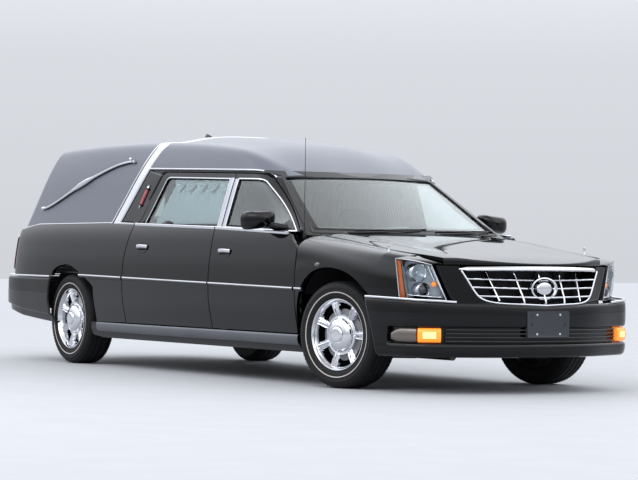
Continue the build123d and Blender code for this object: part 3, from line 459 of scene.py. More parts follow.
# Ribbed clear lens over a grey inside
RIB_LENS = Finish(
    "ribbed_lens", "clear_lens", "#57524e", 0.16, 0.5, Pattern.RIBBED, 9.0, 0.8, "#6b645d", coat=0.5
)
# Lamp housing: vacuum-metallised plastic, a cool satin grey, with a faint glow that is painted brightness
# inside the unlit headlamp
HOUSING = Finish(
    "lamp_housing_painted_glow", "clear_lens", "#b9c2ca", 0.3, 0.45, size_mm=14, depth_mm=0.05, tint="#a3acb4",
    glow=0.10,
)
# Ribbed rose lens of the coach lamps
ROSE_LENS = Finish(
    "ribbed_rose_lens", "rose_lens", "#b4555a", 0.14, pattern=Pattern.RIBBED, size_mm=6, depth_mm=0.2,
    tint="#9c4248", coat=0.5,
)
# Vacuum-metallised reflector: mirror bright
BOWL = Finish(
    "lamp_bowl", "clear_lens", "#e9ebee", 0.08, 1.0, size_mm=12, depth_mm=0.05, tint="#dcdfe4"
)
# Smoked glass of projector and side lamps
SMOKE = Finish(
    "smoked_lens", "clear_lens", "#1a1c1f", 0.03, size_mm=60, depth_mm=0.01, coat=1.0, tint="#222428"
)
# Dyed seat hide with its natural grain
HIDE = Finish(
    "seat_hide", "seat_leather", "#2a2a2d", 0.5, pattern=Pattern.GRAINED, size_mm=2.4, depth_mm=0.15,
    tint="#323236", sheen=0.1,
)
# Soft moulded plastic of the inner trim
TRIM_PLASTIC = Finish(
    "trim_plastic", "dark_plastic", "#2b2c30", 0.55, pattern=Pattern.GRAINED, size_mm=2.0,
    depth_mm=0.08, tint="#333439",
)
# Woven headliner cloth
HEADLINER = Finish(
    "headliner_cloth", "vinyl", "#6d6e73", 0.9, pattern=Pattern.WOVEN, size_mm=3.0, depth_mm=0.05,
    tint="#9a9b9f", sheen=0.3,
)
# Pale satin weave of the drapes
DRAPE = Finish(
    "drape_satin", "drape_cloth", "#cbd8e4", 0.6, pattern=Pattern.WOVEN, size_mm=2.5, depth_mm=0.1,
    tint="#dbe3e9", sheen=0.5,
)
# Brushed metal edge and rails of the deck
DECK = Finish(
    "brushed_deck", "deck_trim", "#9c9da0", 0.3, 1.0, Pattern.BRUSHED, 1.5, 0.02, "#88898d",
    stretch=(0.02, 1, 1),
)
# Walnut veneer of the deck, drawn with its grain along the coach
WALNUT = Finish(
    "walnut_veneer", "deck_trim", "#4a2c1c", 0.3, 0.0, Pattern.BRUSHED, 18.0, 0.02, "#2f1b11", coat=0.4,
    stretch=(0.08, 1, 1),
)
# Cut-pile carpet
CARPET = Finish(
    "cut_carpet", "vinyl", "#2b2c33", 0.95, pattern=Pattern.CAST, size_mm=4, depth_mm=0.8,
    tint="#363843", sheen=0.5,
)
# Sprayed underseal, lumpy and matt
UNDERSEAL = Finish(
    "underseal", "underbody", "#191919", 0.75, pattern=Pattern.CAST, size_mm=5, depth_mm=0.4,
    tint="#242321",
)
# Sand-cast iron of knuckles and axle
IRON = Finish("cast_iron", "cast_metal", "#3a3835", 0.6, 0.8, Pattern.CAST, 3.0, 0.2, "#4a4540")
# Cast aluminium of block and wheel barrels
ALLOY = Finish("cast_alloy", "engine_metal", "#8a8b8d", 0.45, 0.9, Pattern.CAST, 4.0, 0.15, "#737476")
# Heat-tinted steel of the exhaust
PIPE_STEEL = Finish(
    "pipe_steel", "exhaust_steel", "#7b766f", 0.45, 1.0, Pattern.CAST, 12.0, 0.1, "#5e564c"
)
# Painted studio floor
FLOOR = Finish("studio_floor", "", "#a9abae", 0.7, size_mm=8, depth_mm=0.02, tint="#a5a7ab")


# Mesh pieces


WELD_GAP = 1e-5


class Piece:
    """Grids of points gathered into one mesh object that rides on a body."""

    def __init__(self, name: str, body: str = "car") -> None:
        """Start an empty piece.

        Args:
            name: the object's name.
            body: the CAD body that it rides on.
        """
        self.name = name
        self.body = body
        self.points: list[Array] = []
        self.faces: list[list[int]] = []
        self.slots: list[int] = []
        self.finishes: list[Finish] = []
        self.total = 0

    def grid(
        self,
        points: Array,
        finish: Finish,
        wrap_u: bool = False,
        wrap_v: bool = False,
        caps: bool = False,
        facing: Optional[Sequence[float]] = None,
        keep: Optional[Array] = None,
    ) -> "Piece":
        """Add a grid of quads.

        Args:
            points: (nu, nv, 3).
            finish: its finish.
            wrap_u: join the last row to the first.
            wrap_v: join the last column to the first.
            caps: close both ends along u with a flat face.
            facing: direction that the faces look in; without it a closed grid faces outwards.
            keep: which quads to keep, one flag each.

        Returns:
            The piece itself.
        """
        nu, nv = points.shape[:2]
        index = np.arange(nu * nv).reshape(nu, nv)
        rows = np.concatenate([index, index[:1]]) if wrap_u else index
        rows = np.concatenate([rows, rows[:, :1]], axis=1) if wrap_v else rows
        quads = np.stack([rows[:-1, :-1], rows[1:, :-1], rows[1:, 1:], rows[:-1, 1:]], axis=-1)
        quads = quads[keep] if keep is not None else quads.reshape(-1, 4)
        flat = points.reshape(-1, 3)
        a, b, c, d = (flat[quads[:, k]] for k in range(4))
        normal = np.cross(c - a, d - b)
        centre = flat.mean(axis=0)
        if facing is None:
            outward = float((normal * ((a + b + c + d) / 4 - centre)).sum())
        else:
            outward = float((normal @ np.asarray(facing, float)).sum())
        turned = outward < 0
        quads = quads[:, ::-1] if turned else quads
        found = (quads + self.total).tolist()
        if caps:
            first, last = index[0].tolist(), index[-1].tolist()
            ends = [first[::-1], last] if turned else [first, last[::-1]]
            found += [[k + self.total for k in end] for end in ends]
        self.points.append(flat)
        self.faces += found
        if finish not in self.finishes:
            self.finishes.append(finish)
        self.slots += [self.finishes.index(finish)] * len(found)
        self.total += len(flat)
        return self

    def rail(
        self, finish: Finish, side: int, path: Array, section: Array, up: Array,
        scale: Optional[Array] = None,
    ) -> "Piece":
        """Add a section swept along a path of the left side, with closed ends; side as in mirrored."""
        grid = mirrored(sweep(path, section, up, scale), side)
        return self.grid(grid, finish, wrap_v=True, caps=True)

    def turned(
        self,
        finish: Finish,
        side: int,
        profile: Rows,
        count: int,
        centre: Point,
        axis: int = 1,
        facing: Optional[Sequence[float]] = None,
    ) -> "Piece":
        """Add a turned profile of the left side, as lathe makes it; side as in mirrored."""
        grid = mirrored(lathe(profile, count, centre, axis), side)
        return self.grid(grid, finish, wrap_u=True, facing=facing)

    def build(
        self,
        *replaced: str,
        solid: float = 0.0,
        bevel: float = 0.0,
        sharp: float = 40.0,
        merge: bool = False,
        rim: Optional[Finish] = None,
    ) -> bpy.types.Object:
        """Make the object.

        Args:
            replaced: CAD nodes that it stands for.
            solid: wall thickness added behind the surface.
            bevel: radius of the rounded edges.
            sharp: angle in degrees past which an edge stays sharp.
            merge: weld points that meet.
            rim: finish of the inner side.

        Returns:
            The object.
        """
        mesh = bpy.data.meshes.new(self.name)
        mesh.from_pydata(np.concatenate(self.points), [], self.faces)
        mesh.polygons.foreach_set("material_index", np.array(self.slots, dtype=np.int32))
        mesh.polygons.foreach_set("use_smooth", np.ones(len(mesh.polygons), dtype=bool))
        for finish in self.finishes:
            mesh.materials.append(finish.material())
        mesh.update()
        made = add_object(self.name, mesh)
        if merge:
            made.modifiers.new("weld", "WELD").merge_threshold = WELD_GAP
        if solid:
            if rim:
                mesh.materials.append(rim.material())
            wall = made.modifiers.new("wall", "SOLIDIFY")
            wall.thickness = solid
            wall.offset = -1.0
            wall.use_even_offset = False
            wall.material_offset = len(self.finishes) if rim else 0
        if bevel:
            edge = made.modifiers.new("edge", "BEVEL")
            edge.width = bevel
            edge.segments = 2
            edge.limit_method = "ANGLE"
            edge.angle_limit = math.radians(sharp)
            edge.harden_normals = True
        else:
            mesh.set_sharp_from_angle(angle=math.radians(sharp))
        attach(made, self.body)
        if replaced:
            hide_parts(*replaced)
        LOG.info("%s rides on %s", self.name, self.body)
        return made


def add_object(name: str, data: bpy.types.ID) -> bpy.types.Object:
    """New object in the scene's own collection."""
    made = bpy.data.objects.new(name, data)
    bpy.context.scene.collection.objects.link(made)
    return made


def mirrored(points: Array, side: int) -> Array:
    """Points of the left side, or their twins on the right for a side of -1."""
    return points * np.array([1.0, side, 1.0])


# Outer form of the coach


@dataclass
class Form:
    """Outer surfaces of the body, as functions over whole arrays, in metres."""

    # Heights of the cabin's axis and of the waist
    axis_z: float = 1.20
    waist_z: float = 1.0
    # Windscreen: place at the waist, how far it bows back at a half width, and its rake
    screen_x: float = 1.620
    screen_drop: float = 0.140
    screen_half: float = 0.790
    screen_rake: float = 627 / 365
    # Rear face: place at the waist, its lean, and how far it bows forward at a half width
    tail_x: float = -2.945
    tail_lean: float = 0.49
    tail_bow: float = 0.07
    tail_half: float = 0.7
    # Share of the side's drop that nose and tail take along the car
    end_drop: float = 0.8
    # How fast the measures from screen and tail grow, and over what width they blend with the side's
    screen_pace: float = 0.5
    screen_blend: float = 0.10
    tail_pace: float = 0.9
    tail_blend: float = 0.075
    # Ends of the line that the cabin's rays start from, and how far they look
    ray_rear: float = -2.15
    ray_front: float = 0.25
    ray_reach: float = 2.6
    ray_halvings: int = 40
    # Half plan of the lower body from the middle of the nose to the middle of the tail: x, y
    plan_table: tuple = (
        (3.050, 0.0), (2.995, 0.300), (2.845, 0.600), (2.750, 0.760), (2.580, 0.862), (2.280, 0.925),
        (1.990, 0.944), (1.000, 0.951), (0.0, 0.952), (-1.000, 0.951), (-1.900, 0.948), (-2.500, 0.932),
        (-2.785, 0.903), (-2.930, 0.852), (-2.998, 0.690), (-3.029, 0.300), (-3.035, 0.0),
    )
    # Columns: height, how far the side stands in from its widest line
    drop_table: tuple = (
        (0.215, 0.080), (0.255, 0.054), (0.330, 0.040), (0.480, 0.012), (0.635, 0.0), (0.770, 0.005),
        (0.905, 0.023), (1.000, 0.042), (1.060, 0.066), (1.095, 0.088),
    )
    # Columns: x, waist y, side top y and z, crown edge y and z, crown z
    roof_table: tuple = (
        (-3.080, 0.846, 0.664, 1.570, 0.520, 1.646, 1.700),
        (-2.550, 0.862, 0.680, 1.588, 0.535, 1.668, 1.730),
        (-1.600, 0.874, 0.694, 1.606, 0.550, 1.688, 1.750),
        (-0.650, 0.874, 0.698, 1.596, 0.555, 1.674, 1.730),
        (0.100, 0.873, 0.694, 1.556, 0.562, 1.628, 1.676),
        (0.520, 0.872, 0.684, 1.506, 0.572, 1.566, 1.600),
        (0.820, 0.870, 0.662, 1.438, 0.575, 1.468, 1.486),
        (1.040, 0.866, 0.640, 1.352, 0.560, 1.372, 1.388),
        (1.700, 0.862, 0.640, 1.352, 0.560, 1.372, 1.388),
    )
    # Row of the dense plan line from which it runs round the tail
    tail_from: int = 2500
    plan_line: Array = field(init=False)
    plan_chord: Array = field(init=False)
    radial: Array = field(init=False)
    radial_x: Array = field(init=False)
    radial_turn: Array = field(init=False)

    def __post_init__(self) -> None:
        """Work out the dense plan line and the table of cabin radii once."""
        rows = np.array(self.plan_table)
        front = (rows[1:3] * [1, -1])[::-1]
        rear = (rows[-3:-1] * [1, -1])[::-1]
        full = np.concatenate([front, rows, rear])
        along = chord(full)
        start, end = along[2], along[-3]
        self.plan_chord = np.linspace(0, end - start, 4000)
        self.plan_line = cubic(np.column_stack([along, full]), self.plan_chord + start)
        self.radial_x = np.linspace(-3.08, 1.70, 240)
        self.radial_turn = np.linspace(-0.45, math.pi / 2, 200)
        self.radial = self._radii()

    def _radii(self) -> Array:
        """Distance from the cabin's axis to its surface, by place along the car and angle."""
        rows = cubic(self.roof_table, self.radial_x)
        wy, sy, st, cy, ce, cz = (rows[:, k] for k in range(6))
        foot = np.full_like(wy, self.waist_z - 0.040)
        knots_y = np.stack(
            [wy, (wy + sy) / 2 + 0.009, sy, 0.75 * sy - 0.006 + 0.25 * cy, cy, cy * 0.55, 0 * cy],
            axis=1,
        )
        knots_z = np.stack(
            [foot, (foot + st) / 2, st, 0.25 * st + 0.75 * ce + 0.002, ce, cz - (cz - ce) * 0.3, cz],
            axis=1,
        )
        out = np.zeros((len(self.radial_x), len(self.radial_turn)))
        for k in range(len(self.radial_x)):
            line = np.stack([knots_y[k], knots_z[k]], axis=1)
            full = np.concatenate([line, (line[-3:-1] * [-1, 1])[::-1]])
            along = chord(full)
            fine = cubic(np.column_stack([along, full]), np.linspace(0, along[6], 500))
            turn = np.arctan2(fine[:, 1] - self.axis_z, fine[:, 0])
            out[k] = np.interp(self.radial_turn, turn, np.hypot(fine[:, 0], fine[:, 1] - self.axis_z))
        return out

    def plan(self, s: Array) -> Array:
        """Plan curve at a length s from the middle of the nose: x and y."""
        return np.stack(
            [np.interp(s, self.plan_chord, self.plan_line[:, k]) for k in range(2)], axis=-1
        )

    def at_x(self, x: Array) -> Array:
        """Length along the plan curve where it passes x."""
        return np.interp(-np.asarray(x, float), -self.plan_line[:, 0], self.plan_chord)

    def drop(self, z: Array) -> Array:
        """How far the body's side stands in from its widest line at a height."""
        return cubic(self.drop_table, z)[..., 0]

    def skin(self, s: Array, z: Array, out: float = 0.0) -> Array:
        """Lower body: the plan curve less the side's drop along its normal, raised by out."""
        step = 1e-3
        ahead = unit(self.plan(s + step) - self.plan(s - step))
        normal = np.stack([-ahead[..., 1], ahead[..., 0]], axis=-1)
        normal *= np.sign(normal[..., 1:] + 1e-9)
        inward = self.drop(z) - out
        spot = self.plan(s)
        x = spot[..., 0] - normal[..., 0] * inward * self.end_drop
        return np.stack([x, spot[..., 1] - normal[..., 1] * inward, z], axis=-1)

    def side(self, x: Array, z: Array, out: float = 0.0) -> Array:
        """Lower body at places of the side view."""
        found = self.skin(self.at_x(x), np.asarray(z, float), out)
        found[..., 0] = x
        return found

    def upper_y(self, x: Array, z: Array) -> Array:
        """Half width of the cabin at places of the side view: the radius table, solved for y."""
        y = np.full(np.shape(x), 0.78)
        for _ in range(12):
            turn = np.arctan2(z - self.axis_z, y)
            radius = self.radius(x, turn)
            y = np.sqrt(np.maximum(radius**2 - (z - self.axis_z) ** 2, 1e-6))
        return y

    def upper(self, x: Array, z: Array, out: float = 0.0) -> Array:
        """Cabin side at places of the side view, raised by out."""
        x, z = np.broadcast_arrays(np.asarray(x, float), np.asarray(z, float))
        return np.stack([x, self.upper_y(x, z) + out, z + 0.25 * out], axis=-1)

    def radius(self, x: Array, turn: Array) -> Array:
        """Radius of the cabin's section, read from the table by two straight steps."""
        a = np.clip(
            (x - self.radial_x[0]) / (self.radial_x[1] - self.radial_x[0]),
            0,
            len(self.radial_x) - 1.001,
        )
        spread = self.radial_turn[1] - self.radial_turn[0]
        b = np.clip((turn - self.radial_turn[0]) / spread, 0, len(self.radial_turn) - 1.001)
        i, j = a.astype(int), b.astype(int)
        p, q = a - i, b - j
        t = self.radial
        low = t[i, j] * (1 - q) + t[i, j + 1] * q
        high = t[i + 1, j] * (1 - q) + t[i + 1, j + 1] * q
        return low * (1 - p) + high * p

    def screen(self, y: Array, z: Array) -> Array:
        """Place along the car of the windscreen's raked, bowed surface."""
        bow = self.screen_drop * (y / self.screen_half) ** 2
        return self.screen_x - bow - self.screen_rake * (z - self.waist_z)

    def tail(self, y: Array, z: Array) -> Array:
        """Place along the car of the raked, bowed rear face."""
        bow = self.tail_bow * (np.abs(y) / self.tail_half) ** 2
        return self.tail_x + self.tail_lean * (z - self.waist_z) + bow

    def outside(self, p: Array, out: float) -> Array:
        """Signed measure of a point against the cabin: side, screen and tail blended smoothly."""
        x, y, z = p[..., 0], np.abs(p[..., 1]), p[..., 2]
        turn = np.arctan2(z - self.axis_z, y)
        side = np.hypot(y, z - self.axis_z) - self.radius(x, turn) - out
        front = (x - self.screen(y, z)) * self.screen_pace - out
        back = (self.tail(y, z) - x) * self.tail_pace - out
        return blend_max(blend_max(side, front, self.screen_blend), back, self.tail_blend)

    def wrap(self, guess: Array, out: float = 0.0) -> Array:
        """Points where rays from the cabin's axis through a guess meet its surface.

        Args:
            guess: points near the surface.
            out: distance outside it.

        Returns:
            Points on the surface, found by halving the step.
        """
        origin = np.zeros_like(guess)
        origin[..., 0] = np.clip(guess[..., 0], self.ray_rear, self.ray_front)
        origin[..., 2] = self.axis_z
        ray = unit(guess - origin)
        low = np.zeros(guess.shape[:-1])
        high = np.full(guess.shape[:-1], self.ray_reach)
        for _ in range(self.ray_halvings):
            middle = (low + high) / 2
            outer = self.outside(origin + ray * middle[..., None], out) > 0
            high = np.where(outer, middle, high)
            low = np.where(outer, low, middle)
        return origin + ray * ((low + high) / 2)[..., None]


def blend_max(a: Array, b: Array, soft: float) -> Array:
    """The larger of two fields, rounded by a quadratic where they differ by less than soft."""
    part = np.maximum(soft - np.abs(a - b), 0) / soft
    return np.maximum(a, b) + part**2 * soft / 4


# Lines shared by several pieces, in the side view

DRIP_REAR = (-0.742, 1.478)
DRIP_FRONT = (0.870, 1.432)
BAND_WIDTH = 0.150
BAND_LOW = (-1.268, 1.045)
BAND_HIGH = (-0.850, 1.660)
WHEEL_RADIUS = 0.345
# Columns: name, place along the car, distance from its middle, side, steering angle in degrees
WHEELS = (
    ("front_left", 1.990, 0.794, 1, 13.4),
    ("front_right", 1.990, 0.794, -1, 13.4),
    ("rear_left", -1.830, 0.7875, 1, 0.0),
    ("rear_right", -1.830, 0.7875, -1, 0.0),
)
BELT = (
    (-3.140, 1.008), (-2.520, 1.076), (-1.150, 1.080), (0.500, 1.038), (1.402, 1.004), (1.62, 0.992)
)


def drip_z(x: Array) -> Array:
    """Height of the drip moulding."""
    share = (x - DRIP_REAR[0]) / (DRIP_FRONT[0] - DRIP_REAR[0])
    return DRIP_REAR[1] + share * (DRIP_FRONT[1] - DRIP_REAR[1])


def belt_z(x: Array) -> Array:
    """Height of the belt line: straight between its table's rows."""
    return straight(BELT, x)


def band_x(z: Array) -> Array:
    """Rear edge of the crown band."""
    return BAND_LOW[0] + (z - BAND_LOW[1]) * (BAND_HIGH[0] - BAND_LOW[0]) / (BAND_HIGH[1] - BAND_LOW[1])


@dataclass
class BodySides:
    """Painted lower sides: door skins and quarters, left and right."""

    form: Form
    # Gap between panels, its place between the doors, thickness of a skin, foot of the doors, and how
    # far below the belt line they end
    gap: float = 0.007
    gap_x: float = 0.435
    skin: float = 0.026
    foot_z: float = 0.338
    below_belt: float = 0.008
    # Rear quarter: foot of its front edge, post between its two grids and share of its height below the
    # opening, top of the bumper, end by the lamp
    quarter_foot: tuple = (-0.8695, 0.333)
    post_x: float = -1.345
    post_share: float = 23 / 66
    bumper_z: float = 0.672
    corner_y: float = 0.655
    corner_z: float = 1.012
    front_edge: tuple = (
        (1.576, 0.338), (1.585, 0.48), (1.588, 0.640), (1.587, 0.78), (1.580, 0.900), (1.545, 0.928)
    )
    rear_edge: tuple = (
        (-0.862, 0.338), (-0.862, 0.690), (-0.850, 0.860), (-0.822, 0.96), (-0.793, 1.055)
    )
    # Top of the rear wheel opening, from its front edge to the bumper
    opening: tuple = (
        (-1.362, 0.606), (-1.400, 0.628), (-1.453, 0.651), (-1.551, 0.693), (-1.675, 0.736),
        (-1.800, 0.762), (-1.913, 0.755), (-2.013, 0.727), (-2.054, 0.700), (-2.070, 0.676),
    )

    def belt_line(self, start: float, end: float) -> Array:
        """Upper edge of a door's skin from one place to another."""
        x = np.linspace(start, end, 30)
        return np.stack([x, belt_z(x) - self.below_belt], axis=1)

    def door(self, kind: str, side: int, word: str, post_x: float, edge: Array, top: Array) -> None:
        """One door's skin, between the upright gap at post_x and its other edge."""
        post = np.array([(post_x, self.foot_z), (post_x, straight(top, post_x))])
        left, right = (post, edge) if kind == "front" else (edge, post)
        outline = coons(np.array([left[0], right[0]]), top, left, right, 60, 44)
        grid = mirrored(self.form.side(outline[..., 0], outline[..., 1]), side)
        made = Piece("door_skin_" + kind + "_" + word, kind + "_door_" + word)
        made.grid(grid, LACQUER, facing=(0, side, 0))
        made.build("door_" + kind + "_" + word, solid=self.skin, bevel=0.003, rim=TRIM_PLASTIC)

    def build(self) -> None:
        """All painted panels of both sides."""
        ahead, behind = self.gap_x + self.gap / 2, self.gap_x - self.gap / 2
        for side, word in SIDES:
            top = self.belt_line(ahead, 1.470)
            edge = np.array(self.front_edge + ((1.500, 0.962), tuple(top[-1])))
            self.door("front", side, word, ahead, edge, top)
            top = self.belt_line(self.rear_edge[-1][0], behind)
            edge = smooth(self.rear_edge[:-1] + (tuple(top[0]),), 40)
            self.door("rear", side, word, behind, edge, top)
        self.quarters()

    def quarters(self) -> None:
        """Rear quarters: two grids, in plan length and height, that leave the wheel opening."""
        piece = Piece("rear_quarters")
        start, foot = self.quarter_foot
        s_of = self.form.at_x
        rear = slice(self.form.tail_from, None)
        end_s = float(
            np.interp(-self.corner_y, -self.form.plan_line[rear, 1], self.form.plan_chord[rear])
        )
        post_s = float(s_of(self.post_x))
        top_z = float(belt_z(np.array(self.post_x))) - 0.004
        post_z = foot + (top_z - foot) * self.post_share

        def belt(first: float, last: float) -> list:
            """Upper edge of the quarter from one place to another."""
            return [(float(s_of(a)), float(belt_z(a)) - 0.004) for a in np.linspace(first, last, 40)]

        ahead, behind = belt(self.rear_edge[-1][0] - self.gap, self.post_x), belt(self.post_x, -2.98)
        left = smooth([(float(s_of(x - self.gap)), z) for x, z in self.rear_edge[:-1]] + [ahead[0]], 40)
        arch = [(float(s_of(x)), z) for x, z in smooth(((self.post_x, post_z),) + self.opening, 70)]
        base = arch + [(float(s_of(-2.080)), self.bumper_z), (end_s, self.bumper_z)]
        post = np.array([(post_s, foot), (post_s, top_z)])
        tail = np.array([(end_s, self.bumper_z), (end_s, self.corner_z)])
        grids = (
            coons(np.array([(float(s_of(start)), foot), post[0]]), np.array(ahead), left, post, 40, 67),
            coons(
                np.array(base), np.array(behind + [tail[1]]), np.array([arch[0], post[1]]), tail, 120,
                44,
            ),
        )
        for side in (1, -1):
            for grid in grids:
                piece.grid(
                    mirrored(self.form.skin(grid[..., 0], grid[..., 1]), side),
                    LACQUER,
                    facing=(-0.3, side, 0),
                )
        piece.build("quarter_panels", solid=0.030, bevel=0.003, rim=MOULDED, merge=True)


@dataclass
class Nose:
    """Hood and fenders, with the side lamps in the fenders."""

    form: Form
    gap: float = 0.007
    # x, middle z, hood edge y and z, fender crest y and z, side z
    rows: tuple = (
        (1.400, 1.026, 0.742, 1.004, 0.870, 0.975, 0.930),
        (2.000, 0.964, 0.724, 0.940, 0.862, 0.915, 0.870),
        (2.450, 0.908, 0.700, 0.884, 0.840, 0.862, 0.815),
        (2.920, 0.842, 0.640, 0.820, 0.800, 0.795, 0.735),
        (3.090, 0.798, 0.560, 0.780, 0.760, 0.752, 0.690),
    )
    # Half outline of the hood in plan: back edge, side and front edge
    hood_back: tuple = ((1.692, 0.0), (1.682, 0.2), (1.650, 0.380), (1.600, 0.58), (1.548, 0.731))
    hood_side: tuple = ((1.548, 0.731), (2.000, 0.717), (2.450, 0.693), (2.810, 0.613))
    hood_front: tuple = (
        (3.028, 0.0), (3.016, 0.15), (2.978, 0.300), (2.915, 0.440), (2.845, 0.556), (2.810, 0.613)
    )
    # Lip at the front edge: how far out, and share of the way down to its foot
    lip_rows: tuple = ((0.003, 0.12), (0.005, 0.45), (0.004, 1.0))
    lip_z: float = 0.805
    # Side lamp: middle x and z, half length and half height
    side_lamp: tuple = (1.859, 0.793, 0.030, 0.013)
    # Wheel opening, from the door gap over the top to the bumper
    opening: tuple = (
        (1.596, 0.380), (1.602, 0.470), (1.625, 0.560), (1.664, 0.640), (1.719, 0.700), (1.840, 0.760),
        (1.985, 0.776), (2.100, 0.766), (2.200, 0.741), (2.290, 0.700), (2.369, 0.645), (2.428, 0.603),
    )

    def hood_points(self, x: Array, y: Array, lift: float = 0.0) -> Array:
        """Hood surface: a crown that falls from the middle, with a slight ridge near the edge."""
        row = cubic(self.rows, x)
        middle, edge_y, edge_z = row[..., 0], row[..., 1], row[..., 2]
        share = np.abs(y) / edge_y
        crown = middle + (edge_z - middle) * share**2.2
        ridge = 0.005 * np.exp(-(((share - 0.80) / 0.10) ** 2))
        return np.stack([x, y, crown + ridge + lift], axis=-1)

    def hood(self) -> None:
        """Hood panel: its plan outline filled by a grid and set on the crown."""
        side = smooth(self.hood_side, 60)
        nose = smooth(self.hood_front, 50)
        back = smooth(self.hood_back, 50)
        middle = np.array([self.hood_back[0], self.hood_front[0]])
        half = coons(back, nose, middle, side, 50, 90)
        full = np.concatenate([(half * [1, -1])[::-1][:-1], half])
        points = self.hood_points(full[..., 0], full[..., 1])
        edge = points[:, -1]
        ahead = np.gradient(edge[:, :2], axis=0)
        normal = np.stack([-ahead[:, 1], ahead[:, 0], ahead[:, 0] * 0], axis=1)
        normal *= (np.sign(normal[:, 0]) / np.linalg.norm(normal, axis=1))[:, None]
        fall = (edge[:, 2] - self.lip_z)[:, None]
        lip = [edge + normal * out - fall * [0, 0, part] for out, part in self.lip_rows]
        points = np.concatenate([points, np.stack(lip, axis=1)], axis=1)
        Piece("hood_skin", "hood").grid(points, LACQUER, facing=(0, 0, 1)).build(
            "hood", solid=0.022, bevel=0.004, rim=MOULDED
        )

    def section(self, x: Array, share: Array, bottom: Array) -> Array:
        """Fender section from its lower edge, up the side and over the crest to the hood gap.

        Args:
            x: places along the car (n, m).
            share: 0 at the lower edge to 1 at the hood gap.
            bottom: height of the lower edge (n, m).

        Returns:
            Points (n, m, 3): a smooth curve through side, shoulder, crest and hood edge.
        """
        row = cubic(self.rows, x[:, 0])
        line_s = self.form.at_x(x[:, 0])
        out = np.zeros(x.shape + (3,))
        for k in range(len(x)):
            _, edge_y, edge_z, crest_y, crest_z, side_z = row[k]
            low = float(bottom[k, 0])
            heights = np.linspace(low, side_z - 0.075, 5)
            side_y = self.form.skin(np.full(5, line_s[k]), heights)[:, 1]
            limit = self.form.plan(np.array([line_s[k]]))[0, 1]
            crest = min(crest_y, limit - 0.055)
            edge = min(edge_y + self.gap, crest - 0.01)
            knots = np.concatenate(
                [
                    np.stack([side_y, heights], axis=1),
                    [(limit - 0.022, side_z - 0.012), (crest, crest_z - 0.002), (edge, edge_z - 0.001)],
                ]
            )
            line = smooth(knots, 120)
            along = np.linspace(0, 1, 120)
            out[k, :, 0] = x[k]
            out[k, :, 1] = np.interp(share[k], along, line[:, 0])
            out[k, :, 2] = np.interp(share[k], along, line[:, 1])
        return out

    def fenders(self) -> None:
        """Both fenders in one piece: sections from the door gap to the lamp."""
        arch = smooth(self.opening, 70)
        x = np.concatenate([arch[:, 0], np.linspace(2.440, 2.642, 20)])
        z = np.concatenate([arch[:, 1], np.linspace(0.602, 0.590, 20)])
        count = 46
        grid_x = np.repeat(x[:, None], count, axis=1)
        grid_z = np.repeat(z[:, None], count, axis=1)
        share = np.repeat(np.linspace(0, 1, count)[None], len(x), axis=0)
        points = self.section(grid_x, share, grid_z)
        piece = Piece("fender_skins")
        turn = full_turn(32)
        x, z, half_x, half_z = self.side_lamp
        lens = [
            self.form.side(x + half_x * k * np.cos(turn), z + half_z * k * np.sin(turn), out)
            for k, out in ((1.0, -0.002), (1.0, 0.003), (0.8, 0.006), (0.4, 0.0075), (0.02, 0.008))
        ]
        for side in (1, -1):
            piece.grid(mirrored(points, side), LACQUER, facing=(0, side, 0.4))
            lamps = Piece("side_lamp_" + ("left" if side > 0 else "right"))
            lamps.grid(mirrored(np.stack(lens), side), SMOKE, wrap_v=True, facing=(0, side, 0)).build()
        piece.build("fenders", solid=0.024, bevel=0.003, rim=MOULDED)


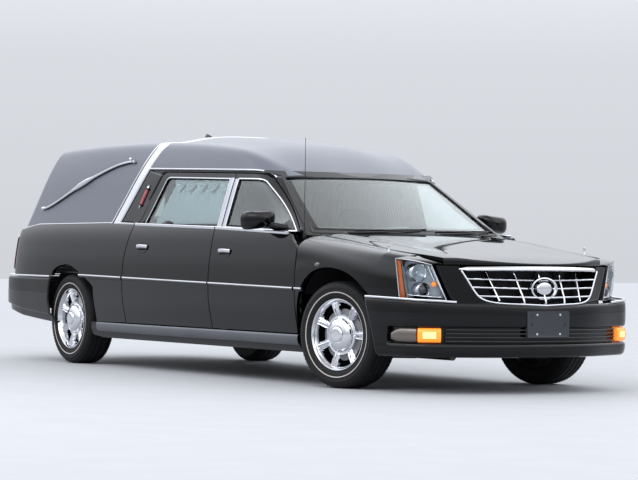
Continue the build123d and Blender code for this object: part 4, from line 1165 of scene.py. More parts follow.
@dataclass
class Canopy:
    """Vinyl roof, crown band, drip moulding and the painted frame strip around the side doors."""

    form: Form
    # Header over the windscreen: half width, height of its ends and rise in the middle
    header_half: float = 0.604
    header_z: float = 1.384
    header_rise: float = 0.024
    # Loading door's opening: half width at its foot, and half outline above it, y and z
    door_half: float = 0.613
    door_corners: tuple = ((0.512, 1.500), (0.470, 1.575), (0.380, 1.603), (0.0, 1.606))
    # Belt line round the corner of the tail, from the quarter to the loading door
    belt_corner: tuple = ((-2.900, 0.800, 1.050), (-2.935, 0.720, 1.047), (-2.930, 0.617, 1.045))
    # Strips of the band: place ahead of its rear edge, width, how far out, finish
    strips: tuple = (
        (0.034, 0.114, 0.007, CHROME), (0.020, 0.014, 0.003, SEAL), (0.0, 0.020, 0.0055, CHROME)
    )
    # Corners of the frame over the doors: quarter pillar, cantrail's front end and windscreen pillar
    pillar_line: tuple = ((-0.807, 1.078), (-0.622, 1.394), (-0.600, 1.430))
    rail_end: float = 0.760
    screen_bend: tuple = ((0.760, 1.4165), (0.830, 1.404), (0.888, 1.374))
    screen_foot: tuple = (1.470, 1.008)

    def arch(self, ahead: float, foot_z: float, count: int) -> Array:
        """Line where a plane parallel to the band's meets the roof, from the right foot to the left.

        Args:
            ahead: distance of the plane ahead of the band's rear edge.
            foot_z: height of both ends.
            count: points on each side of the middle.
        """
        foot_x = float(band_x(foot_z)) + ahead
        low = math.atan2(
            foot_z - self.form.axis_z, float(self.form.upper_y(np.array(foot_x), np.array(foot_z)))
        )
        turn = np.linspace(low, math.pi / 2, count)
        x = np.full(count, foot_x)
        for _ in range(25):
            z = self.form.axis_z + self.form.radius(x, turn) * np.sin(turn)
            x = 0.5 * x + 0.5 * (band_x(z) + ahead)
        radius = self.form.radius(x, turn)
        half = np.stack([x, radius * np.cos(turn), self.form.axis_z + radius * np.sin(turn)], axis=1)
        return np.concatenate([half * [1, -1, 1], half[-2::-1]])

    def header(self, count: int) -> Array:
        """Front edge of the roof over the windscreen, from right to left."""
        y = np.linspace(-self.header_half, self.header_half, count)
        z = self.header_z + self.header_rise * (1 - (y / self.header_half) ** 2)
        return np.stack([self.form.screen(y, z), y, z], axis=1)

    def drip(self, count: int) -> Array:
        """Left drip line, from the band to the header's corner."""
        start = float(band_x(1.480)) + BAND_WIDTH
        rail = [(x, float(drip_z(x))) for x in np.linspace(start, 0.700, 12)]
        line = smooth(rail + [(0.790, 1.4265), (0.850, 1.405), (0.886, self.header_z)], count)
        y = self.form.upper_y(line[:, 0], line[:, 1])
        points = np.stack([line[:, 0], y, line[:, 1]], axis=1)
        points[-1] = self.header(3)[-1]
        return points

    def tail_edge(self, count: int) -> Array:
        """Outline of the loading door's opening in the rear face, from right foot to left foot."""
        half = resample(((self.door_half + 0.004, 1.045),) + self.door_corners, count)
        y = np.concatenate([-half[:, 0], half[-2::-1, 0]])
        z = np.concatenate([half[:, 1], half[-2::-1, 1]])
        return np.stack([self.form.tail(y, z), y, z], axis=1)

    def belt_edge(self, count: int) -> Array:
        """Left belt line from the band's foot round the tail to the loading door."""
        x = np.linspace(float(band_x(1.079)), -2.840, 40)
        z = belt_z(x) + 0.004
        side = np.stack([x, self.form.upper_y(x, z), z], axis=1)
        return resample(np.concatenate([side, self.belt_corner]), count)

    def vinyl(self) -> None:
        """Padded dome ahead of the band and landau sides behind it, with the lining inside."""
        rear = self.arch(BAND_WIDTH - 0.004, 1.480, 60)
        drip = self.drip(90)
        guess = coons(drip * [1, -1, 1], drip, rear, self.header(119), 90, 119)
        dome = self.form.wrap(guess, 0.001)
        front = self.arch(0.004, 1.081, 60)
        belt = self.belt_edge(100)
        guess = coons(belt * [1, -1, 1], belt, front, self.tail_edge(60), 100, 119)
        landau = self.form.wrap(guess, 0.001)
        under = self.form.wrap(
            np.stack([self.arch(a, 1.081, 60) for a in (0.0, 0.05, 0.10, BAND_WIDTH)]), -0.006
        )
        made = Piece("vinyl_roof")
        for grid in (dome, landau, under):
            made.grid(grid, VINYL, facing=(0, 0, 1))
        made.build("roof_shell", solid=0.034, bevel=0.004, rim=HEADLINER)

    def band(self) -> None:
        """Bright band over the roof: a wide strip, a black line and a slim strip behind it."""
        made = Piece("crown_band_strips")
        for ahead, width, out, finish in self.strips:
            places = ahead + width * np.array([0.0, 0.04, 0.12, 0.5, 0.88, 0.96, 1.0])
            lift = out - np.array([0.006, 0.0015, 0, 0, 0, 0.0015, 0.006])
            lines = [self.form.wrap(self.arch(a, 1.062, 60), v) for a, v in zip(places, lift)]
            made.grid(np.stack(lines), finish, facing=(0, 0, 1))
        made.build("crown_band", sharp=55)

    def frame(self) -> None:
        """Painted strip over the doors: quarter pillar, cantrail and windscreen pillar."""
        gap = 0.007
        made = Piece("pillar_skins")
        trim = Piece("drip_mouldings")
        for side in (1, -1):
            band_line = [
                (float(band_x(z)) + BAND_WIDTH + 0.001, z) for z in np.linspace(1.078, 1.474, 24)
            ]
            door_line = resample(self.pillar_line, 24)
            quarter = self.strip(np.array(band_line), door_line, 10)
            x = np.linspace(-0.822, self.rail_end, 60)
            top = np.stack([x, drip_z(x) - 0.003], axis=1)
            start = np.linspace(self.pillar_line[-1][0], self.rail_end, 60)
            low = np.stack([start, drip_z(start) - 0.026 + gap], axis=1)
            low[0] = self.pillar_line[-1]
            low[1:6, 1] -= np.linspace(0.004, 0.0, 5)
            rail = self.strip(top, low, 6)
            corner = self.header(3)[-1]
            foot = np.array([0.0, 0.750, 1.008])
            foot[0] = self.form.screen(foot[1], foot[2])
            bend = resample((tuple(top[-1]), (0.850, 1.404)), 8)
            outer = np.concatenate([self.lift(bend), [corner], resample([corner, foot], 40)[1:]])
            slope = resample((self.screen_bend[-1], self.screen_foot), 40)
            inner = self.lift(np.concatenate([smooth(self.screen_bend, 9), slope[1:]]))
            pillar = ruled(outer, inner, 12)
            for grid in (quarter, rail, pillar):
                made.grid(mirrored(self.form.wrap(grid, 0.0008), side), LACQUER, facing=(0, side, 0.2))
            path = self.drip(160)[:-1]
            section = rounded(0.013, 0.012, 0.005, 4)
            drip = self.form.wrap(path, 0.004)
            trim.rail(CHROME, side, drip, section, (0.0, 0.4, 1.0))
            groove = self.form.wrap(path - [0, 0, 0.011], 0.001)
            trim.rail(SEAL, side, groove, rounded(0.006, 0.010, 0.003, 3), (0.0, 0.4, 1.0))
        made.build(solid=0.004, sharp=50, rim=LACQUER)
        trim.build(sharp=60)

    def lift(self, line: Array) -> Array:
        """Points of the side view set on the left cabin side."""
        return np.stack([line[:, 0], self.form.upper_y(line[:, 0], line[:, 1]), line[:, 1]], axis=1)

    def strip(self, first: Array, second: Array, count: int) -> Array:
        """Ruled grid between two lines of the side view, on the left cabin side."""
        return ruled(self.lift(first), self.lift(second), count)

    def build(self) -> None:
        """Everything above the belt apart from doors and glass."""
        self.vinyl()
        self.band()
        self.frame()


@dataclass
class Glazing:
    """Windscreen, door frames and panes of the cabin."""

    form: Form
    canopy: Canopy
    # Panes: how far in and how thick; how far bright surround and seal reach around the window
    pane_in: float = 0.008
    pane_wall: float = 0.005
    surround: float = 0.013
    seal: float = 0.006
    # Corners of each door's frame and window in the side view, from the rear foot over the top
    front_frame: tuple = (
        (0.4385, 1.030), (0.4385, 1.4183), (0.735, 1.4098), (0.800, 1.4045), (0.842, 1.393),
        (0.878, 1.370), (1.458, 1.004),
    )
    front_window: tuple = (
        (0.500, 1.053), (0.500, 1.372), (0.725, 1.366), (0.775, 1.361), (0.812, 1.350), (0.846, 1.331),
        (1.372, 1.022),
    )
    rear_frame: tuple = (
        (0.4315, 1.030), (0.4315, 1.4185), (-0.520, 1.4455), (-0.560, 1.442), (-0.592, 1.426),
        (-0.612, 1.398), (-0.806, 1.064),
    )
    rear_window: tuple = (
        (0.370, 1.056), (0.370, 1.374), (-0.466, 1.399), (-0.488, 1.396), (-0.506, 1.386),
        (-0.519, 1.366), (-0.690, 1.067),
    )
    # Points along each side of the outlines above
    steps: tuple = (24, 40, 5, 5, 5, 44, 60)
    # Bright posts beside the door gap: foot and head height, rear and front edge
    front_post: tuple = (1.042, 1.380, 0.4425, 0.494)
    rear_post: tuple = (1.042, 1.388, 0.376, 0.4275)
    # Windscreen opening: half width and height at foot and head
    screen_foot: tuple = (0.742, 1.014)
    screen_head: tuple = (0.604, 1.384)

    def outline(self, corners: Rows, grow: float = 0.0) -> Array:
        """Closed outline through the corners, moved outwards by grow."""
        pts = np.asarray(corners, float)
        ahead = unit(np.roll(pts, -1, axis=0) - pts)
        normal = np.stack([ahead[:, 1], -ahead[:, 0]], axis=1)
        area = float((pts[:, 0] * np.roll(pts[:, 1], -1) - np.roll(pts[:, 0], -1) * pts[:, 1]).sum())
        normal *= np.sign(area)
        before = np.roll(normal, 1, axis=0)
        share = 1 + (normal * before).sum(axis=1, keepdims=True)
        moved = pts + grow * (normal + before) / share
        closed = np.concatenate([moved, moved[:1]])
        return np.concatenate(
            [np.linspace(a, b, n, endpoint=False) for a, b, n in zip(closed, closed[1:], self.steps)]
        )

    def ring(self, outer: Array, inner: Array, count: int, out: float) -> Array:
        """Closed strip between two outlines, on the left cabin side."""
        return self.form.wrap(self.canopy.strip(outer, inner, count), out)

    def pane(self, corners: Rows, out: float) -> Array:
        """Pane inside the corners: the four sides' grid set on the cabin side."""
        line = self.outline(corners, 0.004)
        marks = np.concatenate([[0], np.cumsum(self.steps)])
        closed = np.concatenate([line, line[:1]])
        post, top = closed[: marks[1] + 1], closed[marks[1] : marks[5] + 1]
        slope, bottom = closed[marks[5] : marks[6] + 1][::-1], closed[marks[6] :][::-1]
        grid = coons(bottom, top, post, slope, 50, 30)
        return self.form.wrap(self.canopy.lift(grid.reshape(-1, 2)).reshape(50, 30, 3), out)

    def door(self, kind: str, side: int, word: str) -> None:
        """Frame, bright surround, seal and pane of one door."""
        body = kind + "_door_" + word
        frame, window, (low, high, x0, x1) = {
            "front": (self.front_frame, self.front_window, self.front_post),
            "rear": (self.rear_frame, self.rear_window, self.rear_post),
        }[kind]
        facing = (0, side, 0)
        line, hole = self.outline(frame), self.outline(window)
        shell = Piece("door_frame_" + kind + "_" + word, body)
        shell.grid(
            mirrored(self.ring(line, self.outline(window, self.surround - 0.001), 6, 0.0), side),
            LACQUER,
            True,
            facing=facing,
        )
        shell.build(solid=0.040, bevel=0.002, rim=TRIM_PLASTIC)
        trim = Piece("window_trim_" + kind + "_" + word, body)
        outer, edge = self.outline(window, self.surround), self.outline(window, self.seal)
        bright = [self.ring(outer, edge, 2, v) for v in (-0.004, 0.004)]
        profile = np.stack([bright[0][:, 0], bright[1][:, 0], bright[1][:, 1], bright[0][:, 1]], axis=1)
        trim.grid(mirrored(profile, side), CHROME, True, facing=facing)
        dark = np.concatenate(
            [self.ring(edge, hole, 2, 0.001), self.ring(hole, hole, 2, -0.012)[:, :1]], axis=1
        )
        trim.grid(mirrored(dark, side), SEAL, True, facing=facing)
        z = np.linspace(low, high, 30)
        across = np.array([0, 0.03, 0.08, 0.5, 0.92, 0.97, 1.0])
        lift = np.array([0.0, 0.0025, 0.0035, 0.005, 0.0035, 0.0025, 0.0])
        x = x0 + (x1 - x0) * across
        post = np.stack(
            [
                self.form.wrap(self.canopy.lift(np.stack([np.full_like(z, a), z], axis=1)), v)
                for a, v in zip(x, lift)
            ]
        )
        trim.grid(mirrored(post, side), STAINLESS, facing=facing)
        trim.build(sharp=50)
        glass = Piece("pane_" + kind + "_" + word, body)
        glass.grid(mirrored(self.pane(window, -self.pane_in), side), PANE, facing=facing)
        glass.build("glass_" + kind + "_" + word, solid=self.pane_wall)

    def screen_line(self, grow: float, count: int) -> list[Array]:
        """Bottom, top, left and right edge of the windscreen's opening, larger by grow."""
        foot_y, head_y = self.screen_foot[0] + grow, self.screen_head[0] + grow
        foot_z, head_z = self.screen_foot[1] - grow, self.screen_head[1] + grow
        share = np.linspace(-1, 1, count)
        bottom_z = foot_z - 0.006 * (1 - share**2)
        top_z = head_z + 0.020 * (1 - share**2)
        rise = np.linspace(0, 1, count)
        edge_y = foot_y + (head_y - foot_y) * rise + 0.010 * np.sin(math.pi * rise)
        edge_z = foot_z + (head_z - foot_z) * rise
        flat = [
            np.stack([share * foot_y, bottom_z], axis=1),
            np.stack([share * head_y, top_z], axis=1),
            np.stack([-edge_y, edge_z], axis=1),
            np.stack([edge_y, edge_z], axis=1),
        ]
        return [np.stack([self.form.screen(a[:, 0], a[:, 1]), a[:, 0], a[:, 1]], axis=1) for a in flat]

    def screen_ring(self, grow: Sequence[float], out: Sequence[float]) -> Array:
        """Closed strip along the windscreen's edge, one column per step of grow and out."""
        columns = []
        for g, v in zip(grow, out):
            bottom, top, left, right = self.screen_line(g, 60)
            loop = np.concatenate([bottom[:-1], right[:-1], top[:0:-1], left[:0:-1]])
            columns.append(self.form.wrap(loop, v))
        return np.stack(columns, axis=1)

    def screen(self) -> None:
        """Laminated windscreen, its black border and seal."""
        bottom, top, left, right = self.screen_line(0.004, 60)
        sheet = coons(bottom, top, left, right, 22, 14)
        y, z = sheet[..., 1].ravel(), sheet[..., 2].ravel() - self.form.axis_z
        terms = np.stack([np.ones_like(y), z, z**2, y**2, y**2 * z, y**4], axis=1)
        place = self.form.screen(y, z + self.form.axis_z)
        share = np.linalg.lstsq(terms, place, rcond=None)[0]
        sheet[..., 0] = (terms @ share - 0.012).reshape(sheet.shape[:2])
        Piece("windscreen").grid(sheet, PANE, facing=(1, 0, 1)).build("windshield", solid=0.005)
        trim = Piece("windscreen_seal")
        trim.grid(self.screen_ring((-0.030, 0.002), (-0.012, -0.012)), SEAL, True, facing=(1, 0, 1))
        trim.grid(
            self.screen_ring((-0.004, 0.000, 0.010, 0.014), (-0.006, 0.002, 0.003, -0.006)),
            SEAL,
            True,
            facing=(1, 0, 1),
        )
        trim.build()

    def build(self) -> None:
        """All glass and its trim."""
        self.screen()
        for side, word in SIDES:
            self.door("front", side, word)
            self.door("rear", side, word)


@dataclass
class Brightwork:
    """Mouldings, handles, mirrors, landau bars, coach lamps and masts."""

    form: Form
    canopy: Canopy
    # Handles: body, place along the car and height; cup: half length and half height, share and depth
    handles: tuple = (("front", 0.636, 0.865), ("rear", -0.582, 0.892))
    cup_half: tuple = (0.072, 0.036)
    cup_rows: tuple = ((1.0, 0.0005), (0.92, -0.003), (0.80, -0.012), (0.45, -0.017), (0.02, -0.018))
    # Bodyside moulding: places along the car and heights of its ends
    rub_line: tuple = ((-1.60, 0.679), (1.68, 0.629))
    # Middle of the mirror glass; its shell as place ahead, half width, half height, shift and lift
    mirror_middle: Point = (1.150, 0.966, 1.088)
    mirror_rows: tuple = (
        (-0.052, 0.112, 0.060, 0.0, 0.0),
        (-0.050, 0.115, 0.063, 0.0, 0.0),
        (-0.020, 0.115, 0.063, 0.0, 0.0),
        (0.020, 0.105, 0.058, -0.003, 0.001),
        (0.050, 0.086, 0.047, -0.008, 0.002),
        (0.068, 0.056, 0.030, -0.014, 0.002),
        (0.074, 0.010, 0.006, -0.018, 0.002),
    )
    mirror_foot: tuple = (
        (1.215, 0.806, 1.030), (1.212, 0.835, 1.034), (1.196, 0.872, 1.044), (1.180, 0.905, 1.060)
    )
    # Turned profiles, radius and height: flag post and aerial with their places
    post_rows: tuple = (
        (0.0, 0.838), (0.012, 0.838), (0.012, 0.852), (0.006, 0.860), (0.0055, 0.912), (0.009, 0.914),
        (0.009, 0.922), (0.0, 0.925),
    )
    post_place: tuple = (2.443, 0.776)
    aerial_rows: tuple = (
        (0.0, 0.960), (0.013, 0.962), (0.013, 0.985), (0.007, 1.004), (0.0030, 1.010), (0.0024, 1.300),
        (0.0016, 1.615), (0.003, 1.617), (0.003, 1.622), (0.0, 1.624),
    )
    aerial_place: tuple = (1.506, -0.826)
    # Roof fin: height, rear x, front x, half width
    fin_rows: tuple = (
        (1.728, -1.332, -1.192, 0.016), (1.742, -1.330, -1.205, 0.014), (1.765, -1.322, -1.238, 0.010),
        (1.780, -1.314, -1.276, 0.006), (1.784, -1.306, -1.292, 0.002),
    )
    # Turned profiles, radius and width: bosses at the landau bar's ends and the knob on it
    boss_rows: tuple = (
        (0.0, -0.010), (0.012, -0.010), (0.015, 0.0), (0.012, 0.012), (0.004, 0.016), (0.0, 0.016)
    )
    knob_rows: tuple = ((0.0, -0.013), (0.009, -0.010), (0.013, 0.0), (0.009, 0.010), (0.0, 0.013))
    # Centre line of the landau bar, from its rear end to its front end: x, z
    bar_rows: tuple = (
        (-2.512, 1.203), (-2.455, 1.206), (-2.380, 1.220), (-2.240, 1.262), (-1.869, 1.385),
        (-1.560, 1.468), (-1.330, 1.517), (-1.200, 1.532), (-1.078, 1.538),
    )

    def strip(
        self, piece: Piece, side: int, line: Array, width: float, proud: float, finish: Finish,
        upper: bool = False,
    ) -> None:
        """Add a rounded strip that follows a line of the side view."""
        on = self.form.wrap(self.canopy.lift(line)) if upper else self.form.side(line[:, 0], line[:, 1])
        grid = sweep(on, rounded(proud * 2, width, min(proud, width / 2) * 0.9, 4), (0, 0.15, 1))
        piece.grid(mirrored(grid, side), finish, wrap_v=True, caps=True)

    def side_line(self, x0: float, x1: float, table: Rows) -> Array:
        """Line of the side view whose height follows a table of x and z."""
        x = np.linspace(x0, x1, max(4, int(abs(x1 - x0) * 40)))
        return np.stack([x, straight(table, x)], axis=1)

    def rub_strip(self, piece: Piece, side: int, span: tuple[float, float]) -> None:
        """Add a stretch of the bodyside moulding: a dark strip with a bright one on it."""
        line = self.side_line(*span, self.rub_line)
        self.strip(piece, side, line, 0.026, 0.007, MOULDED)
        self.strip(piece, side, line + [0, 0.006], 0.011, 0.010, CHROME)

    def mouldings(self, side: int, word: str) -> None:
        """Belt, bodyside and rocker strips of one side, each on the panel that carries it."""
        for name, belt_span, rub_span in (
            ("front", (0.4425, 1.440), (0.4445, 1.572)),
            ("rear", (-0.792, 0.4275), (-0.850, 0.4255)),
        ):
            made = Piece("mouldings_" + name + "_" + word, name + "_door_" + word)
            self.strip(made, side, self.side_line(*belt_span, BELT) - [0, 0.004], 0.022, 0.006, CHROME)
            self.rub_strip(made, side, rub_span)
            made.build(sharp=60)
        made = Piece("mouldings_body_" + word)
        self.strip(made, side, self.side_line(-1.075, -0.812, BELT) - [0, 0.002], 0.014, 0.005, CHROME)
        for span in ((-1.578, -0.877), (1.598, 1.684)):
            self.rub_strip(made, side, span)
        path = self.canopy.belt_edge(90)
        foot = self.form.wrap(path - [0, 0, 0.004], 0.002)
        made.rail(CHROME, side, foot, rounded(0.010, 0.012, 0.005, 4), (0, 0, 1))
        x = np.linspace(-1.345, 1.580, 60)
        heights = np.array([0.262, 0.270, 0.280, 0.300, 0.318, 0.324, 0.330])
        lift = np.array([0.000, 0.004, 0.006, 0.008, 0.006, 0.004, 0.000])
        rocker = np.stack([self.form.side(x, np.full_like(x, z), v) for z, v in zip(heights, lift)])
        # Rocker strip in the darker copy of the steel: painted shade
        made.grid(mirrored(rocker, side), SATIN, facing=(0, side, 0))
        made.build(sharp=60)

    def handle(self, side: int, word: str, kind: str, x: float, z: float) -> None:
        """Pull handle: a dark cup in the panel and a chrome bail over it."""
        made = Piece("handle_" + kind + "_" + word, kind + "_door_" + word)
        turn = full_turn(40)
        rings = []
        for share, depth in self.cup_rows:
            px = x + self.cup_half[0] * share * np.cos(turn)
            height = np.sign(np.sin(turn)) * np.abs(np.sin(turn)) ** 0.7
            pz = z - 0.002 + self.cup_half[1] * share * height
            rings.append(self.form.side(px, pz, depth + 0.0015))
        made.grid(mirrored(np.stack(rings), side), MOULDED, wrap_v=True, facing=(0, side, 0))
        share = np.linspace(-1, 1, 30)
        px = x + 0.074 * share
        out = 0.005 + 0.020 * (1 - share**4)
        base = self.form.side(px, np.full_like(px, z + 0.010))
        path = base + np.stack([0 * out, out, 0.004 * (1 - share**2)], axis=1)
        made.rail(CHROME, side, path, rounded(0.012, 0.024, 0.0055, 4), (0, 0.2, 1))
        under = path + [0, 0.001, -0.016]
        made.rail(MOULDED, side, under, rounded(0.010, 0.008, 0.0038, 3), (0, 0.2, 1))
        made.build(sharp=60)

    def mirror(self, side: int, word: str) -> None:
        """Door mirror: a lacquered shell on a foot, with the glass at its back."""
        made = Piece("mirror_shell_" + word, "front_door_" + word)
        rings = []
        at_x, at_y, at_z = self.mirror_middle
        for x, half_y, half_z, shift, lift in self.mirror_rows:
            outline = rounded(2 * half_y, 2 * half_z, half_z * 0.72, 8)
            ring = upright(outline, at_x + x, at_y + shift, at_z + lift)
            ring[:, 2] -= 0.010 * (ring[:, 1] - at_y) / 0.115
            rings.append(ring)
        made.grid(mirrored(np.stack(rings), side), LACQUER, wrap_v=True, facing=(1, 0, 0))
        lip = rings[0]
        middle = lip.mean(axis=0)
        inner = middle + (lip - middle) * 0.93
        glass = [inner + [0.004, 0, 0], middle + (inner - middle) * 0.01 + [0.004, 0, 0]]
        made.grid(
            mirrored(np.stack([lip, inner, glass[0]]), side), MOULDED, wrap_v=True, facing=(-1, 0, 0)
        )
        made.grid(mirrored(np.stack(glass), side), CHROME, wrap_v=True, facing=(-1, 0, 0))
        path = smooth(self.mirror_foot, 14)
        made.rail(
            LACQUER, side, path, rounded(0.085, 0.050, 0.022, 5), (0.0, -0.3, 1.0),
            np.linspace(1.15, 0.85, 14),
        )
        sail = self.canopy.strip(
            np.array([(1.180, 1.050), (1.240, 1.092)]), np.array([(1.360, 1.022), (1.380, 1.018)]), 4
        )
        grow = self.form.wrap(sail, 0.002)
        made.grid(mirrored(grow, side), MOULDED, facing=(0, side, 0))
        made.build("mirror_" + word, sharp=50)

    def landau(self, side: int, word: str) -> None:
        """S-shaped landau bar: round rod, flat ends, a long boss in the middle and a knob in front."""
        made = Piece("landau_bar_" + word)
        line = smooth(self.bar_rows, 140)
        along = chord(line)
        share = along / along[-1]
        middle = np.exp(-(((share - 0.455) / 0.075) ** 4))
        width = 0.015 + 0.012 * np.exp(-(((share - 0.455) / 0.15) ** 2)) + 0.014 * middle
        width += 0.008 * np.exp(-((share / 0.02) ** 2)) + 0.010 * np.exp(-(((share - 1.0) / 0.02) ** 2))
        path = self.form.wrap(self.canopy.lift(line), 0.016)
        rod = sweep(path, rounded(0.92, 1.0, 0.44, 5), (0, 0.2, 1), width)
        made.grid(mirrored(rod, side), CHROME, wrap_v=True, caps=True)
        under = self.form.wrap(self.canopy.lift(line - [0.0, 0.007]), 0.007)
        made.rail(SEAL, side, under, rounded(0.8, 0.9, 0.4, 4), (0, 0.2, 1), width * 0.8)
        for place, size in ((0.365, 1.35), (0.395, 1.5), (0.515, 1.5), (0.545, 1.35)):
            at = np.interp(place, share, np.arange(len(share)))
            spot = path[int(at) - 1 : int(at) + 3]
            collar = sweep(spot, rounded(1.0, 1.0, 0.46, 5), (0, 0.2, 1), np.full(4, 0.020 * size))
            made.grid(mirrored(collar, side), CHROME, wrap_v=True, caps=True)
        for end in (line[2], line[-3]):
            centre = self.form.wrap(self.canopy.lift(np.array([end])), 0.008)[0]
            made.turned(CHROME, side, self.boss_rows, 20, tuple(centre))
        knob = self.form.wrap(self.canopy.lift(np.array([line[-8]])), 0.016)[0] + [0.0, 0.0, 0.020]
        made.turned(CHROME, side, self.knob_rows, 20, tuple(knob), 2)
        made.build(*(["landau_bars"] if side == 1 else []), sharp=50)

    def coach_lamp(self, side: int, word: str) -> None:
        """Slim coach lamp on the quarter pillar: a rose lens between dark tapered ends."""
        made = Piece("coach_lamp_" + word)
        line = resample(((-0.846, 1.186), (-0.764, 1.356)), 40)
        share = np.linspace(0, 1, 40)
        width = 0.022 * np.clip(np.sin(math.pi * np.clip(share, 0.03, 0.97)) * 3.0, 0.35, 1.0)
        path = self.form.wrap(self.canopy.lift(line), 0.006)
        body = sweep(path, rounded(0.9, 1.0, 0.4, 5), (0, 0.2, 1), width)
        flags = (share[:-1] > 0.16) & (share[:-1] < 0.84)
        across = np.broadcast_to(flags[:, None], (39, body.shape[1]))
        made.grid(mirrored(body, side), ROSE_LENS, wrap_v=True, keep=across)
        made.grid(mirrored(body, side), CHROME, wrap_v=True, keep=~across)
        for at in (6, 33):
            collar = sweep(
                path[at - 1 : at + 2], rounded(1.0, 1.0, 0.44, 5), (0, 0.2, 1), np.full(3, 0.027)
            )
            made.grid(mirrored(collar, side), SEAL, wrap_v=True, caps=True)
        made.build(*(["coach_lamps"] if side == 1 else []), sharp=50)

    def masts(self) -> None:
        """Flag posts on the fenders, mast aerial on the right fender and the small fin on the roof."""
        made = Piece("masts_and_fin")
        x, y = self.post_place
        for side in (1, -1):
            made.turned(CHROME, 1, self.post_rows, 20, (x, side * y, 0.0), 2)
        made.turned(SEAL, 1, self.aerial_rows, 16, self.aerial_place + (0.0,), 2)
        rings = [
            level(rounded(front - rear, 2 * half, half, 5), (rear + front) / 2, 0.0, z)
            for z, rear, front, half in self.fin_rows
        ]
        made.grid(np.stack(rings), LACQUER, wrap_v=True, facing=(0, 0, 1))
        made.build("masts", sharp=50)

    def build(self) -> None:
        """Everything bright on the sides."""
        for side, word in SIDES:
            self.mouldings(side, word)
            for kind, x, z in self.handles:
                self.handle(side, word, kind, x, z)
            self.mirror(side, word)
            self.landau(side, word)
            self.coach_lamp(side, word)
        self.masts()


class BumperLine:
    """Plan line of a bumper, measured in length from the car's middle, the same on both sides."""

    def __init__(self, rows: Rows, count: int, toward: int) -> None:
        """Work out the dense line of the left half.

        Args:
            rows: x and y of a few points, from the middle outwards.
            count: points of the dense line.
            toward: 1 for the front bumper, -1 for the rear one.
        """
        table = np.array(rows)
        full = np.concatenate([(table[1:] * [1, -1])[::-1], table])
        half = smooth(full, 2 * count)[count:]
        half[0, 1] = 0.0
        self.half, self.along, self.toward = half, chord(half), toward

    def at(self, s: Array) -> Array:
        """Point x, y of the left half at a length from the middle."""
        return np.stack([np.interp(s, self.along, self.half[:, k]) for k in range(2)], axis=-1)

    def length(self, x: float) -> float:
        """Length from the middle to a place along the car."""
        return float(np.interp(-self.toward * x, -self.toward * self.half[:, 0], self.along))

    def on(self, s: Array, z: Array, out: Array) -> Array:
        """Points on the bumper's face at a length s from the middle, either side, raised by out."""
        reach, step = np.abs(s), 0.004
        ahead = self.at(reach + step) - self.at(np.clip(reach - step, 0, None))
        ahead[..., 1] += np.where(reach < step, 1e-3, 0.0)
        ahead = unit(ahead) * self.toward
        spot = self.at(reach)
        x = spot[..., 0] + ahead[..., 1] * out
        y = spot[..., 1] - ahead[..., 0] * out
        return np.stack([x, y * np.where(s < 0, -1.0, 1.0), np.broadcast_to(z, x.shape)], axis=-1)


